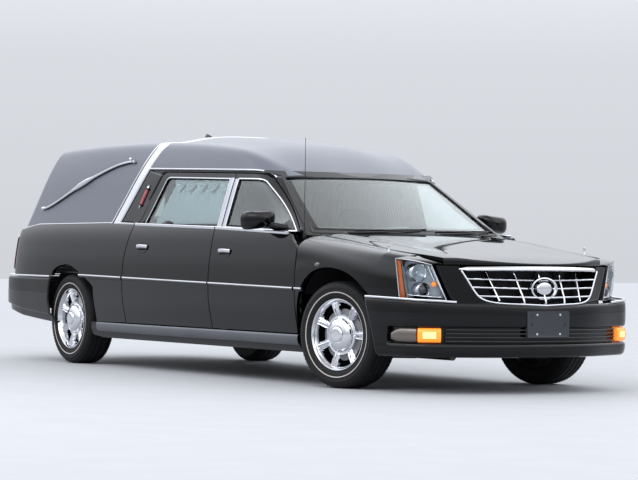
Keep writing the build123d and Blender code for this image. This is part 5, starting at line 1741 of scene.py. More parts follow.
@dataclass
class Front:
    """Bumper, grille, lamps and the painted nose between them."""

    form: Form
    nose: Nose
    # Plan line of the bumper from the middle outwards: x, y
    path_rows: tuple = (
        (3.082, 0.0), (3.045, 0.350), (2.905, 0.685), (2.820, 0.822), (2.670, 0.890), (2.530, 0.930),
        (2.416, 0.948),
    )
    # Upper edge of the bumper: half width and height
    valley: tuple = (
        (0.0, 0.548), (0.210, 0.556), (0.405, 0.565), (0.620, 0.568), (0.685, 0.573), (0.822, 0.579),
        (0.890, 0.587), (0.948, 0.594),
    )
    # Side of the grille's opening: half width and height
    grille_side: tuple = (
        (0.340, 0.570), (0.382, 0.579), (0.420, 0.597), (0.452, 0.632), (0.488, 0.695), (0.531, 0.768),
    )
    bar_heights: tuple = (0.611, 0.665, 0.717)
    # Upright fins: half width at the head and at the foot
    fin_places: tuple = ((0.0, 0.0), (0.176, 0.155), (0.350, 0.312))
    # Rear edge beside the wheel: height and place along the car
    end_rows: tuple = ((0.225, 2.540), (0.319, 2.522), (0.452, 2.476), (0.598, 2.430))
    # Left headlamp: lower inner, lower outer, upper inner and upper outer corner
    lamp_corners: tuple = (
        (2.849, 0.608, 0.582), (2.650, 0.832, 0.589), (2.796, 0.690, 0.803), (2.632, 0.852, 0.840)
    )
    # Bright runs in the headlamp, each from one place of its face to another
    lamp_runs: tuple = (
        ((0.06, 0.92), (0.03, 0.05)), ((0.14, 0.92), (0.12, 0.52)), ((0.80, 0.10), (0.10, 0.07))
    )
    # Depth of the headlamp's housing
    lamp_deep: float = 0.105
    # Section of the grille's brow: across and up
    brow_rows: tuple = (
        (-0.018, -0.013), (0.012, -0.014), (0.017, -0.010), (0.018, -0.002), (0.008, 0.011),
        (-0.002, 0.014), (-0.018, 0.014),
    )
    brow_half: float = 0.545
    brow_z: float = 0.784
    # Oval ring and disc on the grille: middle, stretch across, profiles
    oval_place: Point = (3.032, 0.0, 0.660)
    oval_stretch: tuple = (1, 1.45, 1)
    ring_rows: tuple = (
        (0.058, -0.012), (0.058, 0.004), (0.063, 0.010), (0.070, 0.008), (0.072, 0.0), (0.070, -0.012)
    )
    disc_rows: tuple = (
        (0.0, 0.014), (0.030, 0.013), (0.038, 0.010), (0.041, 0.003), (0.041, -0.012), (0.0, -0.012)
    )
    # Plate bracket: width, height, middle height, and its rolled edge as inset and place along the car
    plate: tuple = (0.325, 0.166, 0.437)
    plate_rows: tuple = (
        (0.0, 3.064), (0.0, 3.084), (0.0015, 3.0875), (0.006, 3.0885), (0.010, 3.0868), (0.016, 3.0862)
    )
    screw_rows: tuple = (
        (0.0068, 3.0860), (0.0068, 3.0885), (0.0050, 3.0893), (0.0018, 3.0886), (0.0, 3.0886)
    )
    # Wipers: pivot y, tip y and tip z
    wipers: tuple = ((-0.560, 0.060, 1.034), (0.140, 0.690, 1.030))
    # Turn lamps: section as share of the height and how far out, heights, and lengths from the middle
    # where their parts start and end
    turn_rows: tuple = (
        (0.03, -0.030), (0.06, -0.006), (0.12, 0.000), (0.30, 0.004), (0.5, 0.005), (0.70, 0.004),
        (0.88, 0.000), (0.94, -0.006), (0.97, -0.030),
    )
    turn_low: float = 0.319
    turn_high: float = 0.414
    turn_inner: float = 0.712
    turn_middle: float = 0.870
    turn_outer: float = 1.060
    # Lengths from the middle where the groove ends and where the wings by the wheels start
    groove_end: float = 1.075
    wing_start: float = 1.09

    def __post_init__(self) -> None:
        """Dense plan line of the bumper."""
        self.line = BumperLine(self.path_rows, 600, 1)
        self.on = self.line.on

    def nose_x(self, y: Array) -> Array:
        """Front of the nose's plan curve at a half width."""
        front = self.form.plan_line[:1400]
        return np.interp(np.abs(y), front[:, 1], front[:, 0])

    def bumper(self) -> None:
        """Painted bumper: one profile carried round the nose, with a groove for slats and lamps."""
        end = float(self.line.along[-1])
        wing = np.linspace(self.wing_start, end, 24)
        s = np.concatenate([-wing[::-1], np.linspace(-self.groove_end, self.groove_end, 171), wing])
        half_y = self.line.at(np.abs(s))[:, 1]
        top = straight(self.valley, half_y)
        groove = np.where(np.abs(s) <= self.groove_end, 1.0, 0.0)
        columns = []
        # Columns: height above the ground (nil or less: from the upper edge), out, extra out in the groove
        for height, out, deep in (
            (-0.0, -0.062, 0.0),
            (-0.0, -0.016, 0.0),
            (-0.002, -0.007, 0.0),
            (-0.008, -0.001, 0.0),
            (-0.018, 0.001, 0.0),
            (-0.040, 0.003, 0.0),
            (0.500, 0.004, 0.0),
            (0.450, 0.003, 0.0),
            (0.430, 0.001, 0.0),
            (0.421, 0.0, -0.003),
            (0.4165, 0.0, -0.010),
            (0.415, 0.0, -0.034),
            (0.367, 0.0, -0.036),
            (0.318, 0.0, -0.034),
            (0.3165, 0.0, -0.010),
            (0.312, 0.0, -0.003),
            (0.300, 0.002, 0.0),
            (0.270, 0.001, 0.0),
            (0.246, -0.006, 0.0),
            (0.233, -0.018, 0.0),
            (0.229, -0.045, 0.0),
        ):
            z = top + height if height <= 0 else np.full(len(s), height)
            stop = self.line.length(float(straight(self.end_rows, z[0])))
            beyond = (np.abs(s) - self.wing_start) * (stop - self.wing_start) / (end - self.wing_start)
            moved = np.where(np.abs(s) > self.wing_start, np.sign(s) * (self.wing_start + beyond), s)
            columns.append(self.on(moved, z, out + deep * groove))
        Piece("bumper_cover").grid(np.stack(columns, axis=1), LACQUER, facing=(1, 0, 0.2)).build(
            "bumper_front", solid=0.010, sharp=50, rim=MOULDED
        )
        slats = Piece("bumper_slats")
        reach = np.linspace(-0.690, 0.690, 121)
        for index in range(4):
            z = self.turn_low + 0.012 + index * 0.0237
            path = self.on(reach, np.full(121, z), np.full(121, -0.014))
            slats.rail(MOULDED, 1, path, rounded(0.026, 0.0085, 0.004, 3), (0, 0, 1))
        slats.build(sharp=50)
        strip = Piece("bumper_strip")
        for side in (1, -1):
            reach = np.linspace(0.625, self.line.length(2.436), 70)
            z = straight(self.valley, self.line.at(reach)[:, 1]) + 0.006
            path = mirrored(self.on(reach, z, np.full(70, -0.002)), side)
            strip.rail(CHROME, 1, path, rounded(0.012, 0.014, 0.005, 4), (0, 0, 1))
        strip.build(sharp=60)

    def turn_lamps(self) -> None:
        """Turn lamps in the bumper: a lit amber block and a clear ribbed outer part."""
        made = Piece("turn_lamps")
        height = self.turn_high - self.turn_low
        for side in (1, -1):
            for start, stop, finish, taper in (
                (self.turn_inner + 0.004, self.turn_middle - 0.002, AMBER_LIT, 0.0),
                (self.turn_middle + 0.001, self.turn_outer, RIB_LENS, 1.0),
            ):
                s = np.linspace(start, stop, 40)
                part = (s - start) / (stop - start)
                round_off = np.clip((part - 0.55) / 0.45, 0, 1) ** 2 * taper
                low = self.turn_low + height * 0.16 * round_off
                high = self.turn_high - height * 0.34 * round_off
                ends = np.where((part == 0) | (part == 1), -0.026, 0.0)
                grid = np.stack(
                    [self.on(s, low + (high - low) * q, v + ends) for q, v in self.turn_rows], axis=1
                )
                made.grid(mirrored(grid, side), finish, facing=(1, 0, 0))
                if finish is AMBER_LIT:
                    spot = np.stack(
                        [
                            self.on(s[9:31], low[9:31] + height * q, s[9:31] * 0 + 0.0062)
                            for q in np.linspace(0.3, 0.72, 8)
                        ],
                        axis=1,
                    )
                    made.grid(mirrored(spot, side), FILAMENT, facing=(1, 0, 0))
        made.build(sharp=50)

    def lamp_patch(self, u: Array, v: Array, out: float, bulge: float = 0.014) -> Array:
        """Left headlamp's face: bilinear between its corners, bowed; u runs outwards, v upwards."""
        c = np.array(self.lamp_corners)
        u, v = np.broadcast_arrays(u, v)
        a, b = u[..., None], v[..., None]
        flat = (1 - b) * ((1 - a) * c[0] + a * c[1]) + b * ((1 - a) * c[2] + a * c[3])
        normal = np.cross(c[1] - c[0], c[2] - c[0])
        normal = -normal / np.linalg.norm(normal) * np.sign(-normal[0])
        swell = bulge * 16 * u * (1 - u) * v * (1 - v) + 0.022 * 4 * u * (1 - u)
        top = np.stack([0 * u, 0 * u, 0.010 * np.sin(math.pi * u) * v], axis=-1)
        return flat + normal * (swell + out)[..., None] + top

    def headlamps(self) -> None:
        """Headlamps: clear cover, bright housing, round reflector over a projector, amber strip."""
        inside = Piece("headlamp_bowls")
        cover = Piece("headlamp_covers")
        u, v = np.linspace(0, 1, 30)[:, None], np.linspace(0, 1, 34)[None, :]
        for side in (1, -1):
            shell = self.lamp_patch(u, v, 0.004)
            cover.grid(mirrored(shell, side), CLEAR_LENS, facing=(1, 0, 0))
            # The housing's faint glow is painted light, not a lit lamp
            back = self.lamp_patch(0.02 + 0.81 * u, 0.02 + 0.96 * v, -self.lamp_deep, 0.0)
            inside.grid(mirrored(back, side), HOUSING, facing=(1, 0, 0))
            amber = self.lamp_patch(0.86 + 0.13 * u, 0.02 + 0.96 * v, -0.006)
            inside.grid(mirrored(amber, side), AMBER_LENS, facing=(1, 0, 0))
            wall = [
                self.lamp_patch(np.full(34, 0.835), np.linspace(0.02, 0.98, 34), o)
                for o in (-self.lamp_deep, -0.004)
            ]
            inside.grid(mirrored(np.stack(wall), side), HOUSING, facing=(1, 0, 0))
            for (au, av), (bu, bv) in self.lamp_runs:
                run = self.lamp_patch(np.linspace(au, bu, 16), np.linspace(av, bv, 16), -0.014)
                inside.rail(BOWL, side, run, rounded(0.009, 0.012, 0.004, 3), (1, 0, 0))
            edge_u = np.concatenate(
                [np.linspace(0, 1, 20), np.ones(20), np.linspace(1, 0, 20), np.zeros(20)]
            )
            edge_v = np.concatenate(
                [np.zeros(20), np.linspace(0, 1, 20), np.ones(20), np.linspace(1, 0, 20)]
            )
            rim = [self.lamp_patch(edge_u, edge_v, o) for o in (-0.005 - self.lamp_deep, 0.004)]
            inside.grid(mirrored(np.stack(rim), side), SEAL, wrap_v=True, facing=(1, 0, 0))
            border = np.stack(
                [
                    self.lamp_patch(0.5 + (edge_u - 0.5) * k, 0.5 + (edge_v - 0.5) * k, 0.005)
                    for k in (1.0, 0.965)
                ]
            )
            inside.grid(mirrored(border, side), CHROME, wrap_v=True, facing=(1, 0, 0))
            for pu, pv, radius, finish in ((0.46, 0.68, 0.052, HOUSING), (0.46, 0.22, 0.046, SMOKE)):
                centre = tuple(self.lamp_patch(np.array(pu), np.array(pv), -0.050) * [1, side, 1])
                rows = [
                    (radius * 1.10, -0.060),
                    (radius * 1.10, 0.004),
                    (radius * 1.04, 0.008),
                    (radius * 0.98, 0.004),
                ]
                ring = lathe(rows, 40, centre, 0)
                inside.grid(ring, CHROME, wrap_u=True, facing=(1, 0, 0))
                if finish is SMOKE:
                    dome = [(radius * 0.98, 0.004), (radius * 0.80, -0.004), (radius * 0.76, 0.000)]
                    inside.turned(CHROME, 1, dome, 40, centre, 0, facing=(1, 0, 0))
                    lens = [
                        (radius * 0.76 * math.cos(a), 0.022 * math.sin(a))
                        for a in np.linspace(0, math.pi / 2, 8)
                    ]
                    inside.turned(SMOKE, 1, lens, 40, centre, 0, facing=(1, 0, 0))
                else:
                    dish = [
                        (radius * 0.98 * k, 0.004 - 0.040 * (1 - k**2)) for k in np.linspace(1, 0.2, 9)
                    ]
                    inside.turned(finish, 1, dish, 40, centre, 0, facing=(1, 0, 0))
                    bulb = [(0.011, -0.040), (0.011, -0.012), (0.007, -0.006), (0.0, -0.005)]
                    inside.turned(BOWL, 1, bulb, 20, centre, 0, facing=(1, 0, 0))
            bulb = self.lamp_patch(np.array(0.16), np.array(0.42), -0.022) * [1, side, 1]
            ball = [
                (0.016 * math.cos(a), 0.016 * math.sin(a)) for a in np.linspace(-1.4, math.pi / 2, 9)
            ]
            inside.turned(AMBER_LIT, 1, ball, 20, tuple(bulb), 0)
        inside.build(sharp=50)
        cover.build("front_lamps", solid=0.003)

    def filler(self) -> None:
        """Painted panels between grille and headlamp, with a dark slit beside the lamp."""
        made = Piece("nose_panels")
        z = np.linspace(0.560, 0.796, 28)
        inner = straight(np.array(self.grille_side)[:, ::-1], z) + 0.004
        outer = straight(np.array(self.lamp_corners)[[0, 2], :0:-1], z) - 0.003
        share = np.concatenate([np.linspace(0, 0.86, 12), [0.90, 0.94, 1.0]])
        y = inner[None] + (outer - inner)[None] * share[:, None]
        recess = np.array([0.0] * 11 + [0.002, 0.020, 0.024, 0.024])
        x = self.nose_x(y) - recess[:, None] - 0.004 * (z[None] - 0.588) / 0.2
        grid = np.stack([x, y, np.broadcast_to(z[None], y.shape)], axis=-1)
        lamp_top = self.lamp_patch(np.linspace(1, 0, 24), np.ones(24), 0.002)
        along = np.linspace(2.642, 2.808, 24)
        gap = np.interp(along, (2.45, 2.81), (0.700, 0.620))
        crest = np.stack([along, gap, np.linspace(0.856, 0.812, 24)], axis=1)
        ledge = ruled(lamp_top, crest, 10)
        ledge[..., 2] += 0.006 * np.sin(math.pi * np.linspace(0, 1, 10))
        for side in (1, -1):
            made.grid(mirrored(grid, side), LACQUER, facing=(1, 0, 0))
            made.grid(mirrored(ledge, side), LACQUER, facing=(0, 0, 1))
        made.build(solid=0.012, bevel=0.002, rim=MOULDED)

    def grille(self) -> None:
        """Grille: thick bright brow, frame, three bars and five deep fins that lean forward."""
        made = Piece("grille_bars")
        y = np.linspace(-self.brow_half, self.brow_half, 120)
        away = (y / self.brow_half) ** 2
        brow = np.stack(
            [self.nose_x(y) + 0.030 * (1 - away) - 0.012, y, self.brow_z - 0.006 * away], axis=1
        )
        scale = np.clip((0.552 - np.abs(y)) / 0.06, 0.35, 1.0)
        made.rail(CHROME, 1, brow, np.array(self.brow_rows), (0, 0, 1), scale)
        rim = np.array(((0.0, 0.554), (0.210, 0.562)) + self.grille_side)
        half = smooth(rim, 60)
        loop = np.concatenate([half[::-1], (half * [-1, 1])[1:]])
        path = np.stack([self.nose_x(loop[:, 0]) + 0.003, loop[:, 0], loop[:, 1]], axis=1)
        made.rail(CHROME, 1, path, rounded(0.013, 0.020, 0.005, 4), (1.0, 0, 0))
        for height in self.bar_heights:
            reach = float(straight(rim[:, ::-1], height)) - 0.004
            y = np.linspace(-reach, reach, 70)
            z = height - 0.008 * (1 - np.abs(y) / reach)
            bar = np.stack(
                [self.nose_x(y) - self.recess(z) * (1 - 0.9 * (y / reach) ** 4), y, z], axis=1
            )
            made.rail(CHROME, 1, bar, rounded(0.032, 0.0115, 0.005, 3), (0, 0, 1))
        for side in (-1, 1):
            for high_y, low_y in self.fin_places[(1 if side < 0 else 0) :]:
                z = np.linspace(0.775, float(straight(rim, low_y)) + 0.004, 24)
                y = side * (low_y + (high_y - low_y) * (z - z[-1]) / (z[0] - z[-1]))
                fin = np.stack([self.nose_x(y) - self.recess(z) - 0.008, y, z], axis=1)
                made.rail(CHROME, 1, fin, rounded(0.013, 0.056, 0.005, 3), (1, 0, 0))
        for rows in (self.ring_rows, self.disc_rows):
            made.grid(lathe(rows, 64, self.oval_place, 0) * self.oval_stretch, CHROME, wrap_u=True)
        made.build("grille", sharp=45)
        dark = Piece("grille_well")
        deep = np.stack([path + [d, 0, 0] for d in (0.0, -0.06, -0.13)])
        dark.grid(deep, MOULDED, facing=(-1, 0, 0))
        heights = np.linspace(0.55, 0.79, 12)
        y = np.linspace(-1, 1, 30)[:, None] * straight(rim[:, ::-1], heights)
        z = np.broadcast_to(heights, y.shape)
        dark.grid(np.stack([self.nose_x(y) - 0.128, y, z], axis=-1), SEAL, facing=(1, 0, 0))
        dark.build()

    def recess(self, z: Array) -> Array:
        """How far the bars stand behind the nose: little at the foot, more under the brow."""
        return 0.008 + 0.100 * np.clip((z - 0.575) / 0.20, 0, 1)

    def bracket(self) -> None:
        """Blank plate bracket: a moulded tray with a rolled edge, slots and four screws."""
        made = Piece("plate_bracket")
        wide, tall, middle = self.plate
        outer = rounded(wide, tall, 0.006, 5)
        rings = [
            upright(outer * (1 - 2 * inset / np.array([wide, tall])), x, 0.0, middle)
            for inset, x in self.plate_rows
        ]
        made.grid(np.stack(rings), BRACKET, wrap_v=True, caps=True, facing=(1, 0, 0))
        for y in (-0.0889, 0.0889):
            for z in (middle - 0.0603, middle + 0.0603):
                made.turned(CHROME, 1, self.screw_rows, 16, (0.0, y, z), 0, facing=(1, 0, 0))
        for y in (-0.128, 0.128):
            for z, tall in ((middle + 0.052, 0.010), (middle, 0.020)):
                slot = rounded(0.008, tall, 0.0039, 4)
                face = upright(slot, 3.0866, y, z)
                made.grid(
                    np.stack([face, face * 0 + face.mean(axis=0)]), SEAL, wrap_v=True, facing=(1, 0, 0)
                )
        made.build("plate_holder", sharp=40)

    def cowl(self) -> None:
        """Dark cowl between windscreen and hood, with two wiper arms and blades."""
        made = Piece("cowl_and_wipers")
        y = np.linspace(-0.770, 0.770, 80)
        screen_z = np.full(80, 1.000)
        upper = np.stack([self.form.screen(y, screen_z) - 0.004, y, screen_z], axis=1)
        rows = np.array(self.nose.hood_back + ((1.520, 0.79),))
        x = straight(rows[:, ::-1], np.abs(y)) - 0.004
        hood = self.nose.hood_points(x, np.clip(y, -0.735, 0.735), -0.016)
        hood[:, 1] = y
        made.grid(
            np.stack(
                [upper, upper * 0.55 + hood * 0.45 + [0, 0, -0.004], hood, hood + [0.03, 0, -0.03]]
            ),
            MOULDED,
            facing=(0, 0, 1),
        )
        for pivot_y, tip_y, tip_z in self.wipers:
            pivot_x = float(self.form.screen(np.array(pivot_y), np.array(0.985))) + 0.020
            ys = np.linspace(pivot_y, tip_y, 30)
            zs = np.linspace(1.004, tip_z, 30) - 0.004 * np.sin(np.linspace(0, math.pi, 30))
            arm = np.stack([self.form.screen(ys, zs) + 0.016, ys, zs], axis=1)
            arm[0] = (pivot_x, pivot_y, 0.992)
            made.rail(
                MOULDED, 1, arm, rounded(0.008, 0.012, 0.003, 3), (0, 0, 1), np.linspace(1.3, 0.7, 30)
            )
            ys = np.linspace(tip_y - 0.52, tip_y + 0.05, 30)
            zs = np.linspace(1.018, tip_z + 0.002, 30)
            blade = np.stack([self.form.screen(ys, zs) + 0.004, ys, zs], axis=1)
            made.rail(SEAL, 1, blade, rounded(0.006, 0.012, 0.0025, 3), (0.5, 0, 1))
            made.turned(
                MOULDED, 1,
                ((0.0, 0.970), (0.018, 0.972), (0.018, 0.995), (0.012, 1.003), (0.0, 1.005)), 20,
                (pivot_x, pivot_y, 0.0), 2,
            )
        made.build(sharp=50)

    def build(self) -> None:
        """Everything at the front."""
        self.bumper()
        self.turn_lamps()
        self.headlamps()
        self.filler()
        self.grille()
        self.bracket()
        self.cowl()


@dataclass
class RoadWheel:
    """One wheel with its bright cover and whitewall tyre."""

    word: str
    centre: Point
    side: int
    steer: float = 0.0
    # Distance of the steering axis from the car's middle
    kingpin: float = 0.732
    # Windows of the cover: number, inner and outer radius, and how deep they lie
    windows: int = 7
    window_low: float = 0.1285
    window_high: float = 0.2085
    window_deep: float = 0.030
    # Radii at which the cover has rings of points around the windows
    window_radii: tuple = (
        0.122, 0.126, 0.1285, 0.131, 0.134, 0.138, 0.143, 0.150, 0.160, 0.170, 0.180, 0.190, 0.198,
        0.2035, 0.206, 0.2085, 0.211,
    )
    # Profile of the cover from hub to flange: radius, distance outwards
    cover_rows: tuple = (
        (0.0, 0.1180), (0.030, 0.1175), (0.046, 0.1155), (0.051, 0.1110), (0.054, 0.1050),
        (0.060, 0.1045), (0.078, 0.1000), (0.098, 0.0900), (0.106, 0.0790), (0.110, 0.0660),
        (0.118, 0.0620), (0.140, 0.0660), (0.175, 0.0740), (0.200, 0.0780), (0.2135, 0.0800),
        (0.2170, 0.0860), (0.2215, 0.0980), (0.2265, 0.1035), (0.2310, 0.1030), (0.2330, 0.0990),
        (0.2330, 0.0900),
    )
    # Profile of the rim's barrel and hub disc
    barrel_rows: tuple = (
        (0.2330, 0.0900), (0.2270, 0.0860), (0.2170, 0.0600), (0.2130, -0.070), (0.2270, -0.0850),
        (0.2330, -0.0990), (0.2300, -0.1025), (0.2180, -0.0920), (0.2050, -0.0700), (0.2050, 0.0300),
        (0.1600, 0.0440), (0.0620, 0.0440), (0.0600, -0.0060), (0.0260, -0.0060),
    )
    # Profile of the tyre from bead to shoulder: lower wall, white ring, upper wall
    lower_wall: tuple = (
        (0.2290, 0.0895), (0.2360, 0.0990), (0.2450, 0.1060), (0.2560, 0.1100), (0.2650, 0.1118),
        (0.2690, 0.1124),
    )
    white_ring: tuple = (
        (0.2690, 0.1124), (0.2693, 0.1134), (0.2725, 0.1142), (0.2752, 0.1144), (0.2756, 0.1134)
    )
    upper_wall: tuple = (
        (0.2756, 0.1134), (0.2900, 0.1148), (0.2985, 0.1150), (0.3000, 0.1160), (0.3060, 0.1156),
        (0.3075, 0.1140), (0.3180, 0.1110), (0.3280, 0.1055), (0.3350, 0.0980), (0.3395, 0.0890),
        (0.3425, 0.0790),
    )
    # Middles of the tread grooves, and one groove across the tread from its middle
    grooves: tuple = (0.066, 0.024, -0.024, -0.066)
    groove_rows: tuple = (
        (0.3448, 0.0055), (0.3442, 0.0045), (0.3375, 0.0035), (0.3375, -0.0035), (0.3442, -0.0045),
        (0.3448, -0.0055),
    )
    # Shoulder blocks: number, profile and half width
    blocks: int = 72
    block_rows: tuple = ((0.3455, 0.0735), (0.3425, 0.0880), (0.3350, 0.1010), (0.3290, 0.1065))
    block_half: float = 0.0042

    def place(self, grid: Array) -> Array:
        """Move a grid drawn about the origin, outer face to +Y, to the wheel's place."""
        moved = grid * [1, self.side, 1] + np.array(self.centre)
        turn = math.radians(self.steer)
        pivot = np.array([self.centre[0], self.side * self.kingpin, 0.0])
        spin = np.array(
            [[math.cos(turn), -math.sin(turn), 0], [math.sin(turn), math.cos(turn), 0], [0, 0, 1]]
        )
        return (moved - pivot) @ spin.T + pivot if self.steer else moved

    def tyre(self) -> None:
        """Tyre: plain sidewalls with a raised white ring, shoulder blocks and four tread grooves."""
        made = Piece("tyre_" + self.word + "_rubber", self.body)
        half = self.lower_wall + self.white_ring + self.upper_wall
        tread = tuple((r, place + w) for place in self.grooves for r, w in self.groove_rows)
        inner = tuple((r, -w) for r, w in half[::-1])
        rows = self.upper_wall + tread + inner
        for profile, finish in (
            (self.lower_wall, RUBBER), (self.white_ring, WHITEWALL), (rows, RUBBER)
        ):
            made.grid(self.place(lathe(profile, 160, (0, 0, 0))), finish, wrap_u=True)
        wide = np.array([-self.block_half, self.block_half])[:, None] / 0.34
        for edge in (1, -1):
            radius, out = (np.array(self.block_rows) * [1, edge]).T[:, None]
            radius = radius - 0.0005
            for turn in full_turn(self.blocks):
                spots = (
                    radius * np.cos(turn + wide), np.broadcast_to(out, (2, 4)),
                    radius * np.sin(turn + wide),
                )
                block = np.stack(spots, axis=-1)
                raised = block * np.array([1.002, 1.004, 1.002])
                made.grid(self.place(np.concatenate([block[:1], raised, block[1:]])), RUBBER)
        made.build("tyre_" + self.word, sharp=35)

    def cover(self) -> None:
        """Bright cover: flange, seven windows between ribbed spokes and a plain stepped dome."""
        made = Piece("wheel_" + self.word + "_cover", self.body)
        base = np.array(self.cover_rows)
        rings = (
            np.linspace(0.001, 0.050, 8), base[3:, 0], self.window_radii, np.linspace(0.056, 0.108, 20)
        )
        radius = np.unique(np.concatenate(rings))
        radius = np.append(radius, 0.2331)
        width = np.interp(radius, base[:, 0], base[:, 1])
        width[-1] = base[-1, 1]
        count = self.windows * 48
        turn = full_turn(count)
        cell = (turn * self.windows / (2 * math.pi)) % 1.0 - 0.5
        r, c = np.meshgrid(radius, cell, indexing="ij")
        w = np.broadcast_to(width[:, None], r.shape).copy()
        span = np.interp(r, (0.128, 0.208), (0.300, 0.345))
        around = (span - np.abs(c)) * r * 2 * math.pi / self.windows
        edge = np.minimum(around, np.minimum(r - self.window_low, self.window_high - r))
        hole = np.clip(edge / 0.0045, 0, 1)
        frame = np.clip(1 - np.abs(edge + 0.003) / 0.004, 0, 1)
        spoke = np.clip((np.abs(c) - 0.36) / 0.14, 0, 1) * ((r > 0.112) & (r < 0.213))
        along = np.clip((r - 0.112) / 0.02, 0, 1) * np.clip((0.214 - r) / 0.01, 0, 1)
        rib = np.exp(-(((np.abs(c) - 0.430) / 0.032) ** 2)) * along
        w += 0.004 * frame * (r > 0.13) * (r < 0.212) + 0.008 * rib - 0.004 * spoke * (1 - rib)
        w -= self.window_deep * hole
        grid = self.place(np.stack([r * np.cos(turn), w, r * np.sin(turn)], axis=-1).swapaxes(0, 1))
        closed = np.concatenate([hole.T, hole.T[:1]])
        inside = (closed[:-1, :-1] + closed[1:, :-1] + closed[1:, 1:] + closed[:-1, 1:]) / 4 > 0.92
        for finish, keep in ((CHROME, ~inside), (HOLLOW, inside)):
            made.grid(grid, finish, wrap_u=True, keep=keep, facing=(0, self.side, 0))
        made.grid(self.place(lathe(self.barrel_rows, 96, (0, 0, 0))), ALLOY, wrap_u=True)
        made.build("wheel_" + self.word, sharp=38)

    def build(self) -> None:
        """Tyre and cover on their own body."""
        place, hand = self.word.split("_")
        self.body = place + "_wheel_" + hand
        self.tyre()
        self.cover()


